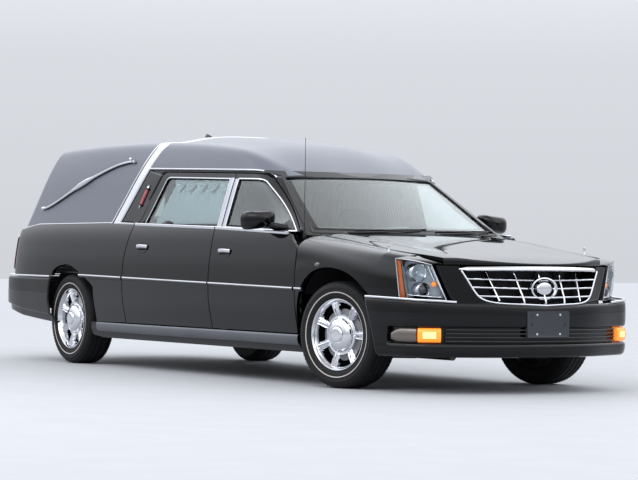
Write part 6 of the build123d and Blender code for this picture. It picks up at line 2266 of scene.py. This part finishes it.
@dataclass
class Rear:
    """Rear bumper, loading door with its window, tail lamps and the corners beside them."""

    form: Form
    # Plan line of the bumper from the middle outwards, x and y, and height of its top
    path_rows: tuple = (
        (-3.089, 0.0), (-3.078, 0.420), (-3.058, 0.700), (-3.024, 0.825), (-2.972, 0.890),
        (-2.860, 0.927), (-2.560, 0.944), (-2.226, 0.950), (-2.000, 0.950),
    )
    top_z: float = 0.660
    # Lower edge of the bumper's skin: place along the car and height
    low_edge: tuple = ((-3.10, 0.452), (-2.87, 0.440), (-2.65, 0.406), (-2.43, 0.389), (-2.04, 0.364))
    # Front edge beside the wheel: height and place along the car
    opening: tuple = (
        (0.330, -2.025), (0.365, -2.041), (0.431, -2.081), (0.508, -2.114), (0.564, -2.116),
        (0.620, -2.105), (0.676, -2.072),
    )
    # Loading door: half width, and half outline of its window, y and z
    door_half: float = 0.606
    window: tuple = (
        (0.430, 1.150), (0.458, 1.160), (0.462, 1.196), (0.404, 1.500), (0.392, 1.528), (0.360, 1.536)
    )
    # Vinyl frame of the loading door: half outline, y and z
    frame_rows: tuple = ((0.606, 1.048), (0.5095, 1.4985), (0.466, 1.572), (0.378, 1.599), (0.0, 1.602))
    # Plate recess: half width, foot and head
    recess: tuple = (0.205, 0.735, 0.885)
    lamp_low: float = 0.712
    lamp_high: float = 0.985

    def __post_init__(self) -> None:
        """Dense plan line of the bumper."""
        self.line = BumperLine(self.path_rows, 800, -1)
        self.on = self.line.on

    def bumper(self) -> None:
        """Bumper cover whose foot rises to the rear, with a valance below and a bright strip on top."""
        made = Piece("rear_bumper_cover")
        count = 161
        share = np.linspace(-1, 1, count)
        columns = []
        # Columns: height from the foot (0) to the top (1), out, metres added to the height
        for part, out, more in (
            (0.0, -0.075, -0.052),
            (0.0, -0.040, -0.058),
            (0.0, -0.028, -0.052),
            (0.0, -0.022, -0.006),
            (0.0, -0.006, 0.000),
            (0.0, 0.000, 0.005),
            (0.0, 0.001, 0.014),
            (0.12, 0.001, 0.0),
            (0.40, 0.002, 0.0),
            (0.70, 0.001, 0.0),
            (0.90, 0.0, 0.0),
            (1.0, -0.001, -0.010),
            (1.0, -0.006, -0.003),
            (1.0, -0.016, 0.0),
            (1.0, -0.060, 0.0),
        ):
            middle = straight(self.opening, 0.42 + part * 0.24 + more)
            s = share * self.line.length(middle)
            foot = straight(self.low_edge, self.line.at(np.abs(s))[:, 0])
            columns.append(self.on(s, foot + (self.top_z - foot) * part + more, np.full(count, out)))
        made.grid(np.stack(columns, axis=1), LACQUER, facing=(-1, 0, 0)).build(
            "bumper_rear", solid=0.010, sharp=50, rim=MOULDED
        )
        strip = Piece("rear_bumper_strip")
        end = self.line.length(-2.095)
        s = np.linspace(-end, end, 121)
        z = np.interp(self.line.at(np.abs(s))[:, 0], (-3.1, -2.1), (0.672, 0.6665))
        strip.rail(
            CHROME, 1, self.on(s, z, np.full(121, -0.003)), rounded(0.012, 0.013, 0.005, 4), (0, 0, 1)
        )
        strip.build(sharp=60)

    def outer(self, y: Array, z: Array, out: float = 0.0) -> Array:
        """Lower body's rear face at places of the rear view, raised by out."""
        rear = self.form.plan_line[2000:]
        rear = rear[np.argsort(rear[:, 1]), ::-1]
        x = straight(rear, np.abs(y)) + self.form.drop(z) * self.form.end_drop - out
        return np.stack([x, y, z + 0 * y], axis=-1)

    def corner(self) -> None:
        """Painted strips between tail lamp, loading door and bumper."""
        made = Piece("rear_corners")
        z = np.linspace(0.674, 1.040, 40)
        y = np.linspace(self.door_half + 0.008, 0.662, 8)
        points = self.outer(np.repeat(y[:, None], 40, axis=1), np.repeat(z[None], 8, axis=0))
        for side in (1, -1):
            made.grid(mirrored(points, side), LACQUER, facing=(-1, 0, 0))
        made.build(solid=0.012, bevel=0.002, rim=MOULDED)

    def lamps(self) -> None:
        """Tail lamps: tall red lenses with a clear reversing field, in a slim bright frame."""
        made = Piece("tail_lamp_lenses")
        trim = Piece("tail_lamp_frames")
        z = np.linspace(self.lamp_low, self.lamp_high, 40)
        y = np.concatenate([np.linspace(0.668, 0.80, 12), [0.820, 0.838, 0.852, 0.862]])
        rear = slice(self.form.tail_from, None)
        s_of = np.interp(y, self.form.plan_line[rear, 1][::-1], self.form.plan_chord[rear][::-1])
        grid_s, grid_z = np.meshgrid(s_of, z, indexing="ij")
        edge = np.minimum(np.minimum(grid_z - z[0], z[-1] - grid_z) / 0.012, 1.0)
        lift = 0.011 * np.sqrt(np.clip(edge, 0, 1))
        step = 1e-3
        ahead = unit(self.form.plan(grid_s + step) - self.form.plan(grid_s - step))
        normal = np.stack([ahead[..., 1], -ahead[..., 0], 0 * grid_s], axis=-1)
        points = self.form.skin(grid_s, grid_z) + normal * lift[..., None]
        clear = np.zeros((15, 39), dtype=bool)
        clear[:9, 26:32] = True
        for side in (1, -1):
            made.grid(mirrored(points, side), RED_LENS, keep=~clear, facing=(-1, 0, 0))
            made.grid(mirrored(points, side), BOWL, keep=clear, facing=(-1, 0, 0))
            loop = np.concatenate(
                [points[:, 0], points[-1, 1:], points[-2::-1, -1], points[0, -2:0:-1]]
            )
            path = mirrored(loop, side)
            trim.grid(
                sweep(
                    np.concatenate([path, path[:1]]), rounded(0.005, 0.009, 0.002, 3), (-1, 0.01, 0.02)
                ),
                CHROME,
                wrap_v=True,
            )
        made.build("tail_lamps", solid=0.006)
        trim.build(sharp=60)

    def door(self) -> None:
        """Loading door: painted panel, vinyl frame round the window, trims, handle and plate."""
        body = "loading_door"
        low = Piece("loading_door_panel", body)
        z = np.concatenate([[0.680, 0.684, 0.692], np.linspace(0.705, 1.028, 34), [1.036]])
        y = np.linspace(-self.door_half, self.door_half, 81)
        grid_y, grid_z = np.meshgrid(y, z, indexing="ij")
        points = self.outer(grid_y, grid_z)
        half, foot, head = self.recess
        depth = np.minimum(half - np.abs(grid_y), np.minimum(grid_z - foot, head - grid_z))
        inside = np.clip(depth / 0.006, 0, 1)
        points[..., 0] += 0.022 * inside
        low.grid(points, LACQUER, facing=(-1, 0, 0)).build(
            "loading_door", solid=0.022, bevel=0.003, rim=TRIM_PLASTIC
        )
        upper = Piece("loading_door_upper", body)
        inner = resample(((0.0, 1.150),) + self.window + ((0.0, 1.536),), 180)
        outer = resample(np.concatenate([[(0.0, 1.048)], resample(self.frame_rows, 90)]), 180)
        half = ruled(outer, inner, 9)
        full = np.concatenate([half, (half * [-1, 1])[::-1][1:]])
        points = self.upper(full[..., 0], full[..., 1])
        upper.grid(points, VINYL, facing=(-1, 0, 0)).build(solid=0.026, bevel=0.003, rim=TRIM_PLASTIC)
        trim = Piece("loading_door_trim", body)
        loop = np.concatenate([inner, (inner * [-1, 1])[::-1][1:-1]])
        for grow, out, wide, tall, finish in (
            (0.004, 0.003, 0.016, 0.013, CHROME), (-0.008, -0.003, 0.012, 0.010, SEAL)
        ):
            centre = np.array([0.0, 1.343])
            ring = (loop - centre) * (1 + grow * 2 / np.array([0.8, 0.39])) + centre
            path = self.upper(ring[:, 0], ring[:, 1], out)
            path = np.concatenate([path, path[:1]])
            trim.grid(sweep(path, rounded(wide, tall, 0.004, 3), (-1, 0, 0.45)), finish, wrap_v=True)
        belt = np.linspace(-self.door_half, self.door_half, 60)
        path = self.upper(belt, np.full(60, 1.044), 0.002)
        trim.rail(CHROME, 1, path, rounded(0.012, 0.014, 0.004, 3), (0, 0, 1))
        bar_y = np.linspace(-0.155, 0.155, 30)
        path = self.outer(bar_y, np.full(30, 0.925), 0.020)
        path[0, 0] += 0.022
        path[-1, 0] += 0.022
        trim.rail(CHROME, 1, path, rounded(0.024, 0.018, 0.008, 4), (0, 0, 1))
        for y_lamp in (-0.11, 0.11):
            lamp = rounded(0.05, 0.014, 0.005, 3)
            front = upright(lamp, 0.0, y_lamp, 0.874)
            front[:, 0] = self.outer(front[:, 1], front[:, 2])[:, 0] + 0.012
            trim.grid(
                np.stack([front, front + [0.03, 0, 0]]), BOWL, wrap_v=True, caps=True, facing=(-1, 0, 0)
            )
        plate = rounded(0.33, 0.128, 0.012, 4)
        face = upright(plate, float(self.outer(np.array(0.165), np.array(0.81))[0]) + 0.016, 0.0, 0.808)
        trim.grid(
            np.stack([face, face + [0.006, 0, 0]]), BRACKET, wrap_v=True, caps=True, facing=(-1, 0, 0)
        )
        trim.build(sharp=55)
        pane = Piece("loading_door_pane", body)
        half = inner[::4]
        fan = np.stack([half * [1 - q, 1] for q in np.linspace(0.0, 2.0, 25)])
        points = self.upper(fan[..., 0], fan[..., 1], -0.004)
        pane.grid(points, PANE, facing=(-1, 0, 0)).build("loading_glass", solid=0.004)

    def upper(self, y: Array, z: Array, out: float = 0.0) -> Array:
        """Cabin's raked rear face at places of the rear view, raised by out."""
        y, z = np.broadcast_arrays(np.asarray(y, float), np.asarray(z, float))
        guess = np.stack([self.form.tail(y, z), y, z], axis=-1)
        return self.form.wrap(guess, 0.001 + out)

    def build(self) -> None:
        """Everything at the rear."""
        self.bumper()
        self.corner()
        self.lamps()
        self.door()


@dataclass
class Cabin:
    """What shows through the glass: seats, dash, wheel, drapes and deck."""

    form: Form
    # Seats: middle and half width
    seat_y: float = 0.390
    seat_half: float = 0.258
    # Side view of a seat: centre line and thickness of cushion, back and headrest
    cushion_line: tuple = ((0.452, 0.446), (0.620, 0.438), (0.800, 0.450), (0.935, 0.452))
    back_line: tuple = ((0.448, 0.462), (0.400, 0.640), (0.345, 0.830), (0.302, 0.985))
    head_line: tuple = ((0.276, 1.000), (0.252, 1.085), (0.214, 1.178))
    # Side view of the dashboard: x, z
    dash_rows: tuple = (
        (1.532, 0.958), (1.470, 0.966), (1.400, 0.962), (1.330, 0.948), (1.275, 0.918), (1.254, 0.880),
        (1.262, 0.800), (1.290, 0.720), (1.330, 0.644), (1.420, 0.626), (1.532, 0.624),
    )
    # Vents of the dashboard: middle, half width, height
    vents: tuple = (
        (-0.590, 0.060, 0.050), (-0.130, 0.060, 0.046), (0.130, 0.060, 0.046), (0.612, 0.055, 0.050)
    )
    # Steering wheel: profile of its hub, centre and radius
    hub_rows: tuple = (
        (0.0, 0.010), (0.040, 0.008), (0.058, 0.000), (0.066, -0.014), (0.062, -0.040), (0.040, -0.052),
        (0.0, -0.052),
    )
    wheel_centre: Point = (1.085, 0.390, 0.815)
    wheel_radius: float = 0.182
    # Deck: height, half width, rear and front end, places and profiles of rollers and pins, width of a
    # board
    deck_z: float = 0.735
    deck_half: float = 0.598
    deck_rear: float = -2.886
    deck_front: float = -0.424
    roller_places: tuple = (-2.760, -2.200, -1.640, -1.080, -0.620)
    roller_rows: tuple = (
        (0.0, -0.285), (0.018, -0.285), (0.0195, -0.280), (0.0195, 0.280), (0.018, 0.285), (0.0, 0.285)
    )
    pin_places: tuple = (-2.45, -1.90, -1.35, -0.85)
    pin_rows: tuple = (
        (0.022, 0.0), (0.022, 0.004), (0.010, 0.006), (0.008, 0.052), (0.004, 0.056), (0.0, 0.056)
    )
    board: float = 0.0997
    # Drapes: foot, width of a pleat and depth of its fold, number of swags
    drape_foot: float = 1.066
    pleat: float = 0.034
    fold: float = 0.0085
    swags: int = 5

    def pad(
        self, line: Rows, half: float, thick: Sequence[float], centre_y: float, channels: int
    ) -> Array:
        """Closed crowned pad along a line of the side view, with sewn channels across its middle.

        Args:
            line: points (x, z) of the centre line.
            half: half width.
            thick: half thickness at the line's start, middle and end.
            centre_y: middle of the pad.
            channels: sewn channels across the middle field.

        Returns:
            Points (along, round, 3): each section is a super-ellipse, thin at its piped edge.
        """
        nu, nv = 72, 64
        u = np.linspace(0, 1, nu)
        path = smooth(line, nu)
        tangent = unit(np.gradient(path, axis=0))
        normal = np.stack([-tangent[:, 1], tangent[:, 0]], axis=1)
        turn = full_turn(nv)
        c, s = np.cos(turn), np.sin(turn)
        across = np.sign(c) * np.abs(c) ** 0.55
        through = np.sign(s) * np.abs(s) ** 0.75
        end = np.clip(1 - np.abs(2 * u - 1) ** 9, 0, 1) ** 0.42
        middle = np.interp(u, (0, 0.5, 1), thick)
        width = (
            half * (0.90 + 0.10 * end) * (0.985 + 0.015 * np.cos(2 * math.pi * u))
            * np.where(end > 0.02, 1, 0.93)
        )
        depth = (middle * end)[:, None] * through[None]
        field = np.clip((0.62 - np.abs(across)) / 0.03, 0, 1)
        sewn = np.exp(-((((u * channels) % 1.0) - 0.5) / 0.10) ** 2)
        depth -= np.sign(through)[None] * 0.006 * field[None] * sewn[:, None] * end[:, None]
        seam = np.exp(-(((np.abs(across) - 0.64) / 0.018) ** 2))
        depth -= np.sign(through)[None] * 0.005 * seam[None] * end[:, None]
        bolster = 0.016 * np.exp(-(((np.abs(across) - 0.80) / 0.10) ** 2))
        depth += np.where(through > 0, 1, 0)[None] * bolster[None] * end[:, None]
        x = path[:, :1] + normal[:, :1] * depth
        z = path[:, 1:] + normal[:, 1:] * depth
        y = centre_y + across[None] * width[:, None]
        return np.stack([x, y, z], axis=-1)

    def seats(self) -> None:
        """Two front seats: padded cushion, back and headrest on a base, with posts and a console."""
        frame = Piece("seat_frames")
        for side in (1, -1):
            centre = side * self.seat_y
            word = "left" if side > 0 else "right"
            for name, line, half, thick, channels in (
                ("seat_cushion_", self.cushion_line, self.seat_half, (0.046, 0.034, 0.046), 7),
                ("seat_back_", self.back_line, self.seat_half * 0.97, (0.050, 0.046, 0.028), 8),
                ("headrest_", self.head_line, 0.124, (0.026, 0.034, 0.020), 1),
            ):
                points = self.pad(line, half, thick, centre, channels)
                made = Piece(name + word).grid(points, HIDE, wrap_v=True, caps=True).build(
                    *(["front_seats"] if name == "seat_cushion_" and side > 0 else []), sharp=70
                )
            for y in (-0.055, 0.055):
                post = np.array([(0.306, centre + y, 0.965), (0.268, centre + y, 1.060)])
                frame.rail(CHROME, 1, post, rounded(0.012, 0.012, 0.0059, 4), (1, 0, 0.3))
            base = rounded(0.38, 0.44, 0.04, 5)
            rings = [
                level(base * k, 0.70, centre, z)
                for z, k in ((0.263, 1.0), (0.29, 1.0), (0.39, 0.92), (0.414, 0.90))
            ]
            frame.grid(np.stack(rings), TRIM_PLASTIC, wrap_v=True, caps=True)
        console = rounded(0.16, 0.20, 0.03, 5)
        xs = np.linspace(0.50, 1.24, 12)
        rings = [upright(console, x, 0.0, 0.43 + 0.10 * max(0, x - 1.0)) for x in xs]
        frame.grid(np.stack(rings), TRIM_PLASTIC, wrap_v=True, caps=True)
        frame.build(sharp=45)

    def dash(self) -> None:
        """Dashboard: a rolled pad with a hood over the dials and four barred vents."""
        made = Piece("dash_pad")
        profile = smooth(self.dash_rows, 60)
        y = np.linspace(-0.684, 0.684, 111)
        hump = np.exp(-(((y - self.seat_y) / 0.17) ** 4))
        x = np.broadcast_to(profile[None, :, 0], (111, 60)).copy()
        z = np.broadcast_to(profile[None, :, 1], (111, 60)).copy()
        lift = np.exp(-(((profile[:, 0] - 1.285) / 0.05) ** 2)) * (profile[:, 1] > 0.86)
        z += 0.016 * hump[:, None] * lift[None]
        grid = np.stack([x, np.broadcast_to(y[:, None], x.shape), z], axis=-1)
        made.grid(grid, TRIM_PLASTIC, wrap_v=True, caps=True)
        for centre, half, tall in self.vents:
            for k in range(5):
                z_bar = 0.850 + tall * (k / 4 - 0.5)
                bar = np.array([(1.2515, centre - half, z_bar), (1.2515, centre + half, z_bar)])
                made.rail(MOULDED, 1, bar, rounded(0.006, 0.004, 0.0015, 2), (0, 0, 1))
            edge = rounded(2 * half + 0.014, tall + 0.020, 0.012, 4)
            ring = upright(edge, 1.2525, centre, 0.850)
            made.grid(
                sweep(np.concatenate([ring, ring[:1]]), rounded(0.005, 0.006, 0.002, 2), (1, 0, 0)),
                CHROME,
                wrap_v=True,
            )
        made.build("dashboard", sharp=50)

    def steering(self) -> None:
        """Steering wheel: hide rim, padded hub, three spokes and column, tilted to the driver."""
        made = Piece("steering_wheel_rim")
        back = unit(np.array([-0.9, 0.0, 0.436]))
        across = np.array([0.0, 1.0, 0.0])
        up = np.cross(across, -back)
        centre = np.array(self.wheel_centre)
        turn = np.linspace(0, 2 * math.pi, 97)
        ring = (
            centre + self.wheel_radius * (np.cos(turn)[:, None] * across + np.sin(turn)[:, None] * up)
        )
        tube = rounded(0.027, 0.030, 0.0134, 5)
        made.grid(sweep(ring, tube, back), HIDE, wrap_v=True)
        angle = full_turn(40)
        rows = np.array(self.hub_rows)
        spread = np.cos(angle)[:, None, None] * across + np.sin(angle)[:, None, None] * up * 0.8
        made.grid(
            centre + spread * rows[None, :, :1] + back * rows[None, :, 1:], TRIM_PLASTIC, wrap_u=True
        )
        for spoke in (-0.15, math.pi + 0.15, 1.5 * math.pi):
            away = math.cos(spoke) * across + math.sin(spoke) * up
            bar = (
                centre
                + np.linspace(0.045, self.wheel_radius - 0.006, 10)[:, None] * away
                - back * np.linspace(0.022, 0.002, 10)[:, None]
            )
            made.rail(TRIM_PLASTIC, 1, bar, rounded(0.034, 0.013, 0.006, 3), back)
        column = centre - back * np.linspace(0.045, 0.215, 6)[:, None]
        made.rail(TRIM_PLASTIC, 1, column, rounded(0.070, 0.080, 0.025, 4), (0, 0, 1))
        for side in (1, -1):
            stalk = (
                centre
                - back * 0.06
                + across * side * np.linspace(0.03, 0.155, 6)[:, None]
                + up * np.linspace(0, 0.02, 6)[:, None]
            )
            made.rail(MOULDED, 1, stalk, rounded(0.012, 0.012, 0.005, 3), back)
        made.build("steering_wheel", sharp=50)

    def drapes(self) -> None:
        """Drapes of the rear doors: a gathered curtain behind the glass under a swagged pelmet."""
        for side, word in SIDES:
            nu, nv = 260, 44
            x = np.linspace(-0.640, 0.352, nu)
            top = drip_z(x) - 0.075
            lean = np.clip((-0.43 - x) / 0.20, 0, 1)
            top = np.minimum(top, 1.392 - 0.32 * lean)
            v = np.linspace(0, 1, nv)
            z = self.drape_foot + (top[:, None] - self.drape_foot) * v[None]
            grid_x = np.broadcast_to(x[:, None], z.shape)
            stray = 1.3 * np.sin(grid_x * 9.0) + 0.5 * np.sin(z * 14.0 + grid_x * 5.0)
            fold = self.fold * np.sin(2 * math.pi * grid_x / self.pleat + stray)
            fold *= 0.55 + 0.45 * np.cos(2.2 * (v[None] - 0.1))
            y = self.form.upper_y(grid_x, z) - 0.052 + fold
            points = mirrored(np.stack([grid_x, y, z], axis=-1), side)
            body = "rear_door_" + word
            made = Piece("drape_cloth_" + word, body).grid(points, DRAPE, facing=(0, side, 0)).build(
                "drape_" + word, solid=0.0015, sharp=80
            )
            valance = Piece("drape_swags_" + word, body)
            u = np.linspace(0, 1, 181)
            xs = -0.440 + u * 0.790
            swag = np.abs(np.sin(u * math.pi * self.swags))
            rows = np.linspace(0, 1, 22)
            drop = 0.030 + 0.062 * swag
            line_top = drip_z(xs) - 0.070
            zs = line_top[:, None] - drop[:, None] * rows[None]
            arcs = 0.006 * np.sin(2 * math.pi * (rows[None] * 4.0)) * (0.3 + swag[:, None])
            ys = (
                self.form.upper_y(np.broadcast_to(xs[:, None], zs.shape), zs)
                - 0.030
                + arcs * 0.6
                - 0.004 * rows[None]
            )
            points = mirrored(np.stack([np.broadcast_to(xs[:, None], zs.shape), ys, zs], axis=-1), side)
            hem = valance.grid(points, DRAPE, facing=(0, side, 0)).build(solid=0.0012, sharp=80)

    def deck(self) -> None:
        """Casket deck: walnut boards, brushed rails, rollers, bier pins and carpets at the sides."""
        made = Piece("deck_boards")
        y = np.linspace(-self.deck_half, self.deck_half, 61)
        x = np.linspace(self.deck_rear, self.deck_front, 40)
        gx, gy = np.meshgrid(x, y, indexing="ij")
        groove = np.exp(-((((gy / self.board) % 1.0) - 0.5) / 0.06) ** 2) * 0.002
        made.grid(np.stack([gx, gy, self.deck_z - groove], axis=-1), WALNUT, facing=(0, 0, 1))
        for side in (1, -1):
            wing = rounded(0.198, 0.030, 0.008, 3)
            path = np.array(
                [
                    (-2.736, side * 0.700, self.deck_z - 0.016),
                    (-1.444, side * 0.700, self.deck_z - 0.016),
                ]
            )
            made.rail(CARPET, 1, path, wing, (0, 0, 1))
            for y_rail in (0.330, 0.560):
                path = np.array(
                    [
                        (-2.790, side * y_rail, self.deck_z + 0.007),
                        (-0.530, side * y_rail, self.deck_z + 0.007),
                    ]
                )
                made.rail(DECK, 1, path, rounded(0.040, 0.016, 0.004, 3), (0, 0, 1))
        for x_roll in self.roller_places:
            made.turned(CHROME, 1, self.roller_rows, 24, (x_roll, 0.0, self.deck_z + 0.008))
        for x_pin in self.pin_places:
            for side in (1, -1):
                made.turned(CHROME, 1, self.pin_rows, 16, (x_pin, side * 0.44, self.deck_z), 2)
        skirt = np.array([(self.deck_rear, 0.0, 0), (self.deck_front, 0.0, 0)])
        for side in (1, -1):
            rows = np.stack(
                [skirt + [0, side * self.deck_half, self.deck_z - down] for down in (0.0005, 0.030)]
            )
            made.grid(rows, DECK, facing=(0, side, 0))
        y = np.linspace(-self.deck_half, self.deck_half, 31)
        face = np.stack([np.full(31, self.deck_front + 0.002), y], axis=1)
        front = np.stack([np.column_stack([face, np.full(31, z)]) for z in (self.deck_z, 0.70, 0.482)])
        made.grid(front, CARPET, facing=(1, 0, 0))
        made.build("casket_deck", sharp=45)

    def build(self) -> None:
        """Everything inside."""
        self.seats()
        self.dash()
        self.steering()
        self.drapes()
        self.deck()


@dataclass
class Studio:
    """Camera at the photograph's place, pale floor, one soft lamp and a plain sky."""

    # Camera: place, angles in degrees, focal length and width in pixels, sensor, how far it sees
    place: Point = (15.502, -9.402, 0.837)
    azimuth: float = 58.165
    elevation: float = -0.407
    roll: float = 0.706
    focal_px: float = 2485.6
    frame_px: float = 638.0
    sensor_mm: float = 36.0
    sight: float = 200.0
    floor_half: float = 60.0
    # Height in the sky (0 to 1) and grey value there
    sky: tuple = ((0.0, 0.66), (0.08, 0.72), (0.30, 1.5), (0.60, 2.5), (1.0, 2.6))

    def stand(
        self, data: bpy.types.ID, right: Array, up: Array, back: Array, place: Point
    ) -> bpy.types.Object:
        """Put a camera or lamp at a place, looking away from back."""
        made = add_object(data.name, data)
        turn = np.eye(4)
        turn[:3] = np.column_stack([right, up, back, place])
        made.matrix_world = Matrix(turn.tolist())
        return made

    def camera(self) -> None:
        """Camera whose axes follow from azimuth, elevation and roll."""
        az, el, roll = (math.radians(v) for v in (self.azimuth, self.elevation, self.roll))
        back = np.array([math.sin(az) * math.cos(el), -math.cos(az) * math.cos(el), math.sin(el)])
        right = unit(np.cross(-back, [0, 0, 1]))
        up = np.cross(right, -back)
        rolled_right = math.cos(roll) * right + math.sin(roll) * up
        rolled_up = -math.sin(roll) * right + math.cos(roll) * up
        data = bpy.data.cameras.new("eye")
        data.sensor_width = self.sensor_mm
        data.lens = self.focal_px * self.sensor_mm / self.frame_px
        data.clip_end = self.sight
        bpy.context.scene.camera = self.stand(data, rolled_right, rolled_up, back, self.place)

    def light(
        self, name: str, place: Point, aim: Point, size: tuple[float, float], power: float
    ) -> None:
        """One soft rectangular lamp that looks at a point."""
        data = bpy.data.lights.new(name, "AREA")
        data.shape = "RECTANGLE"
        data.size, data.size_y = size
        data.energy = power
        back = unit(np.array(place) - np.array(aim))
        right = unit(np.cross([0, 0.001, 1], back))
        self.stand(data, right, np.cross(back, right), back, place)

    def world(self) -> None:
        """Sky of cool greys for every ray: dim near the ground and bright above."""
        made = bpy.data.worlds.new("studio")
        bpy.context.scene.world = made
        made.use_nodes = True
        tree = made.node_tree
        tree.nodes.clear()
        place = add_node(tree, "ShaderNodeTexCoord")
        split = add_node(tree, "ShaderNodeSeparateXYZ", Vector=place.outputs["Generated"])
        ramp = add_node(tree, "ShaderNodeValToRGB", Fac=split.outputs[2])
        marks = ramp.color_ramp.elements
        for spot, grey in self.sky:
            mark = marks.new(spot)
            mark.color = (grey * 0.97, grey, grey * 1.06, 1)
        marks.remove(marks[0])
        marks.remove(marks[-1])
        lit = add_node(tree, "ShaderNodeBackground", Color=ramp.outputs[0], Strength=1.0)
        add_node(tree, "ShaderNodeOutputWorld", Surface=lit.outputs[0])

    def build(self) -> None:
        """Camera, floor, lamp and world."""
        self.camera()
        self.world()
        self.light("key", (4.0, -6.0, 7.5), (0, 0, 0.6), (9.0, 5.0), 260.0)
        reach = np.linspace(-self.floor_half, self.floor_half, 3)
        ground = np.stack(np.meshgrid(reach, reach, [0.0], indexing="ij"), axis=-1)[:, :, 0]
        mesh = bpy.data.meshes.new("floor")
        mesh.from_pydata(
            ground.reshape(-1, 3), [], [[0, 3, 4, 1], [1, 4, 5, 2], [3, 6, 7, 4], [4, 7, 8, 5]]
        )
        mesh.materials.append(FLOOR.material())
        made = add_object("floor", mesh)


def dress_frame(frame: dict) -> None:
    """Give every CAD node that stays the finish of its slot."""
    by_slot = {
        "body_paint": LACQUER,
        "vinyl": VINYL,
        "bright_trim": CHROME,
        "window_glass": PANE,
        "red_lens": RED_LENS,
        "rose_lens": ROSE_LENS,
        "clear_lens": CLEAR_LENS,
        "dark_plastic": MOULDED,
        "underbody": UNDERSEAL,
        "deck_trim": DECK,
        "seat_leather": HIDE,
        "engine_metal": ALLOY,
        "exhaust_steel": PIPE_STEEL,
        "drape_cloth": DRAPE,
        "cast_metal": IRON,
        "wheel_chrome": CHROME,
        "tyre": RUBBER,
    }
    for part in frame["record"]["subparts"]:
        shown = frame["nodes"][part["node"]]
        finish = by_slot[part["material_slot"]]
        for slot in shown.material_slots:
            slot.material = finish.material()


def main() -> None:
    """Load the frame, build every sub-assembly and report each piece."""
    logging.basicConfig(level=logging.INFO, format="%(name)s: %(message)s")
    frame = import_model()
    bpy.context.scene.view_settings.view_transform = "Standard"
    Studio().build()
    dress_frame(frame)
    form = Form()
    BodySides(form).build()
    nose = Nose(form)
    nose.hood()
    nose.fenders()
    canopy = Canopy(form)
    canopy.build()
    Glazing(form, canopy).build()
    Brightwork(form, canopy).build()
    Front(form, nose).build()
    for word, x, half, side, steer in WHEELS:
        RoadWheel(word, (x, side * half, WHEEL_RADIUS), side, steer).build()
    Rear(form).build()
    Cabin(form).build()


if __name__ == "__main__":
    main()
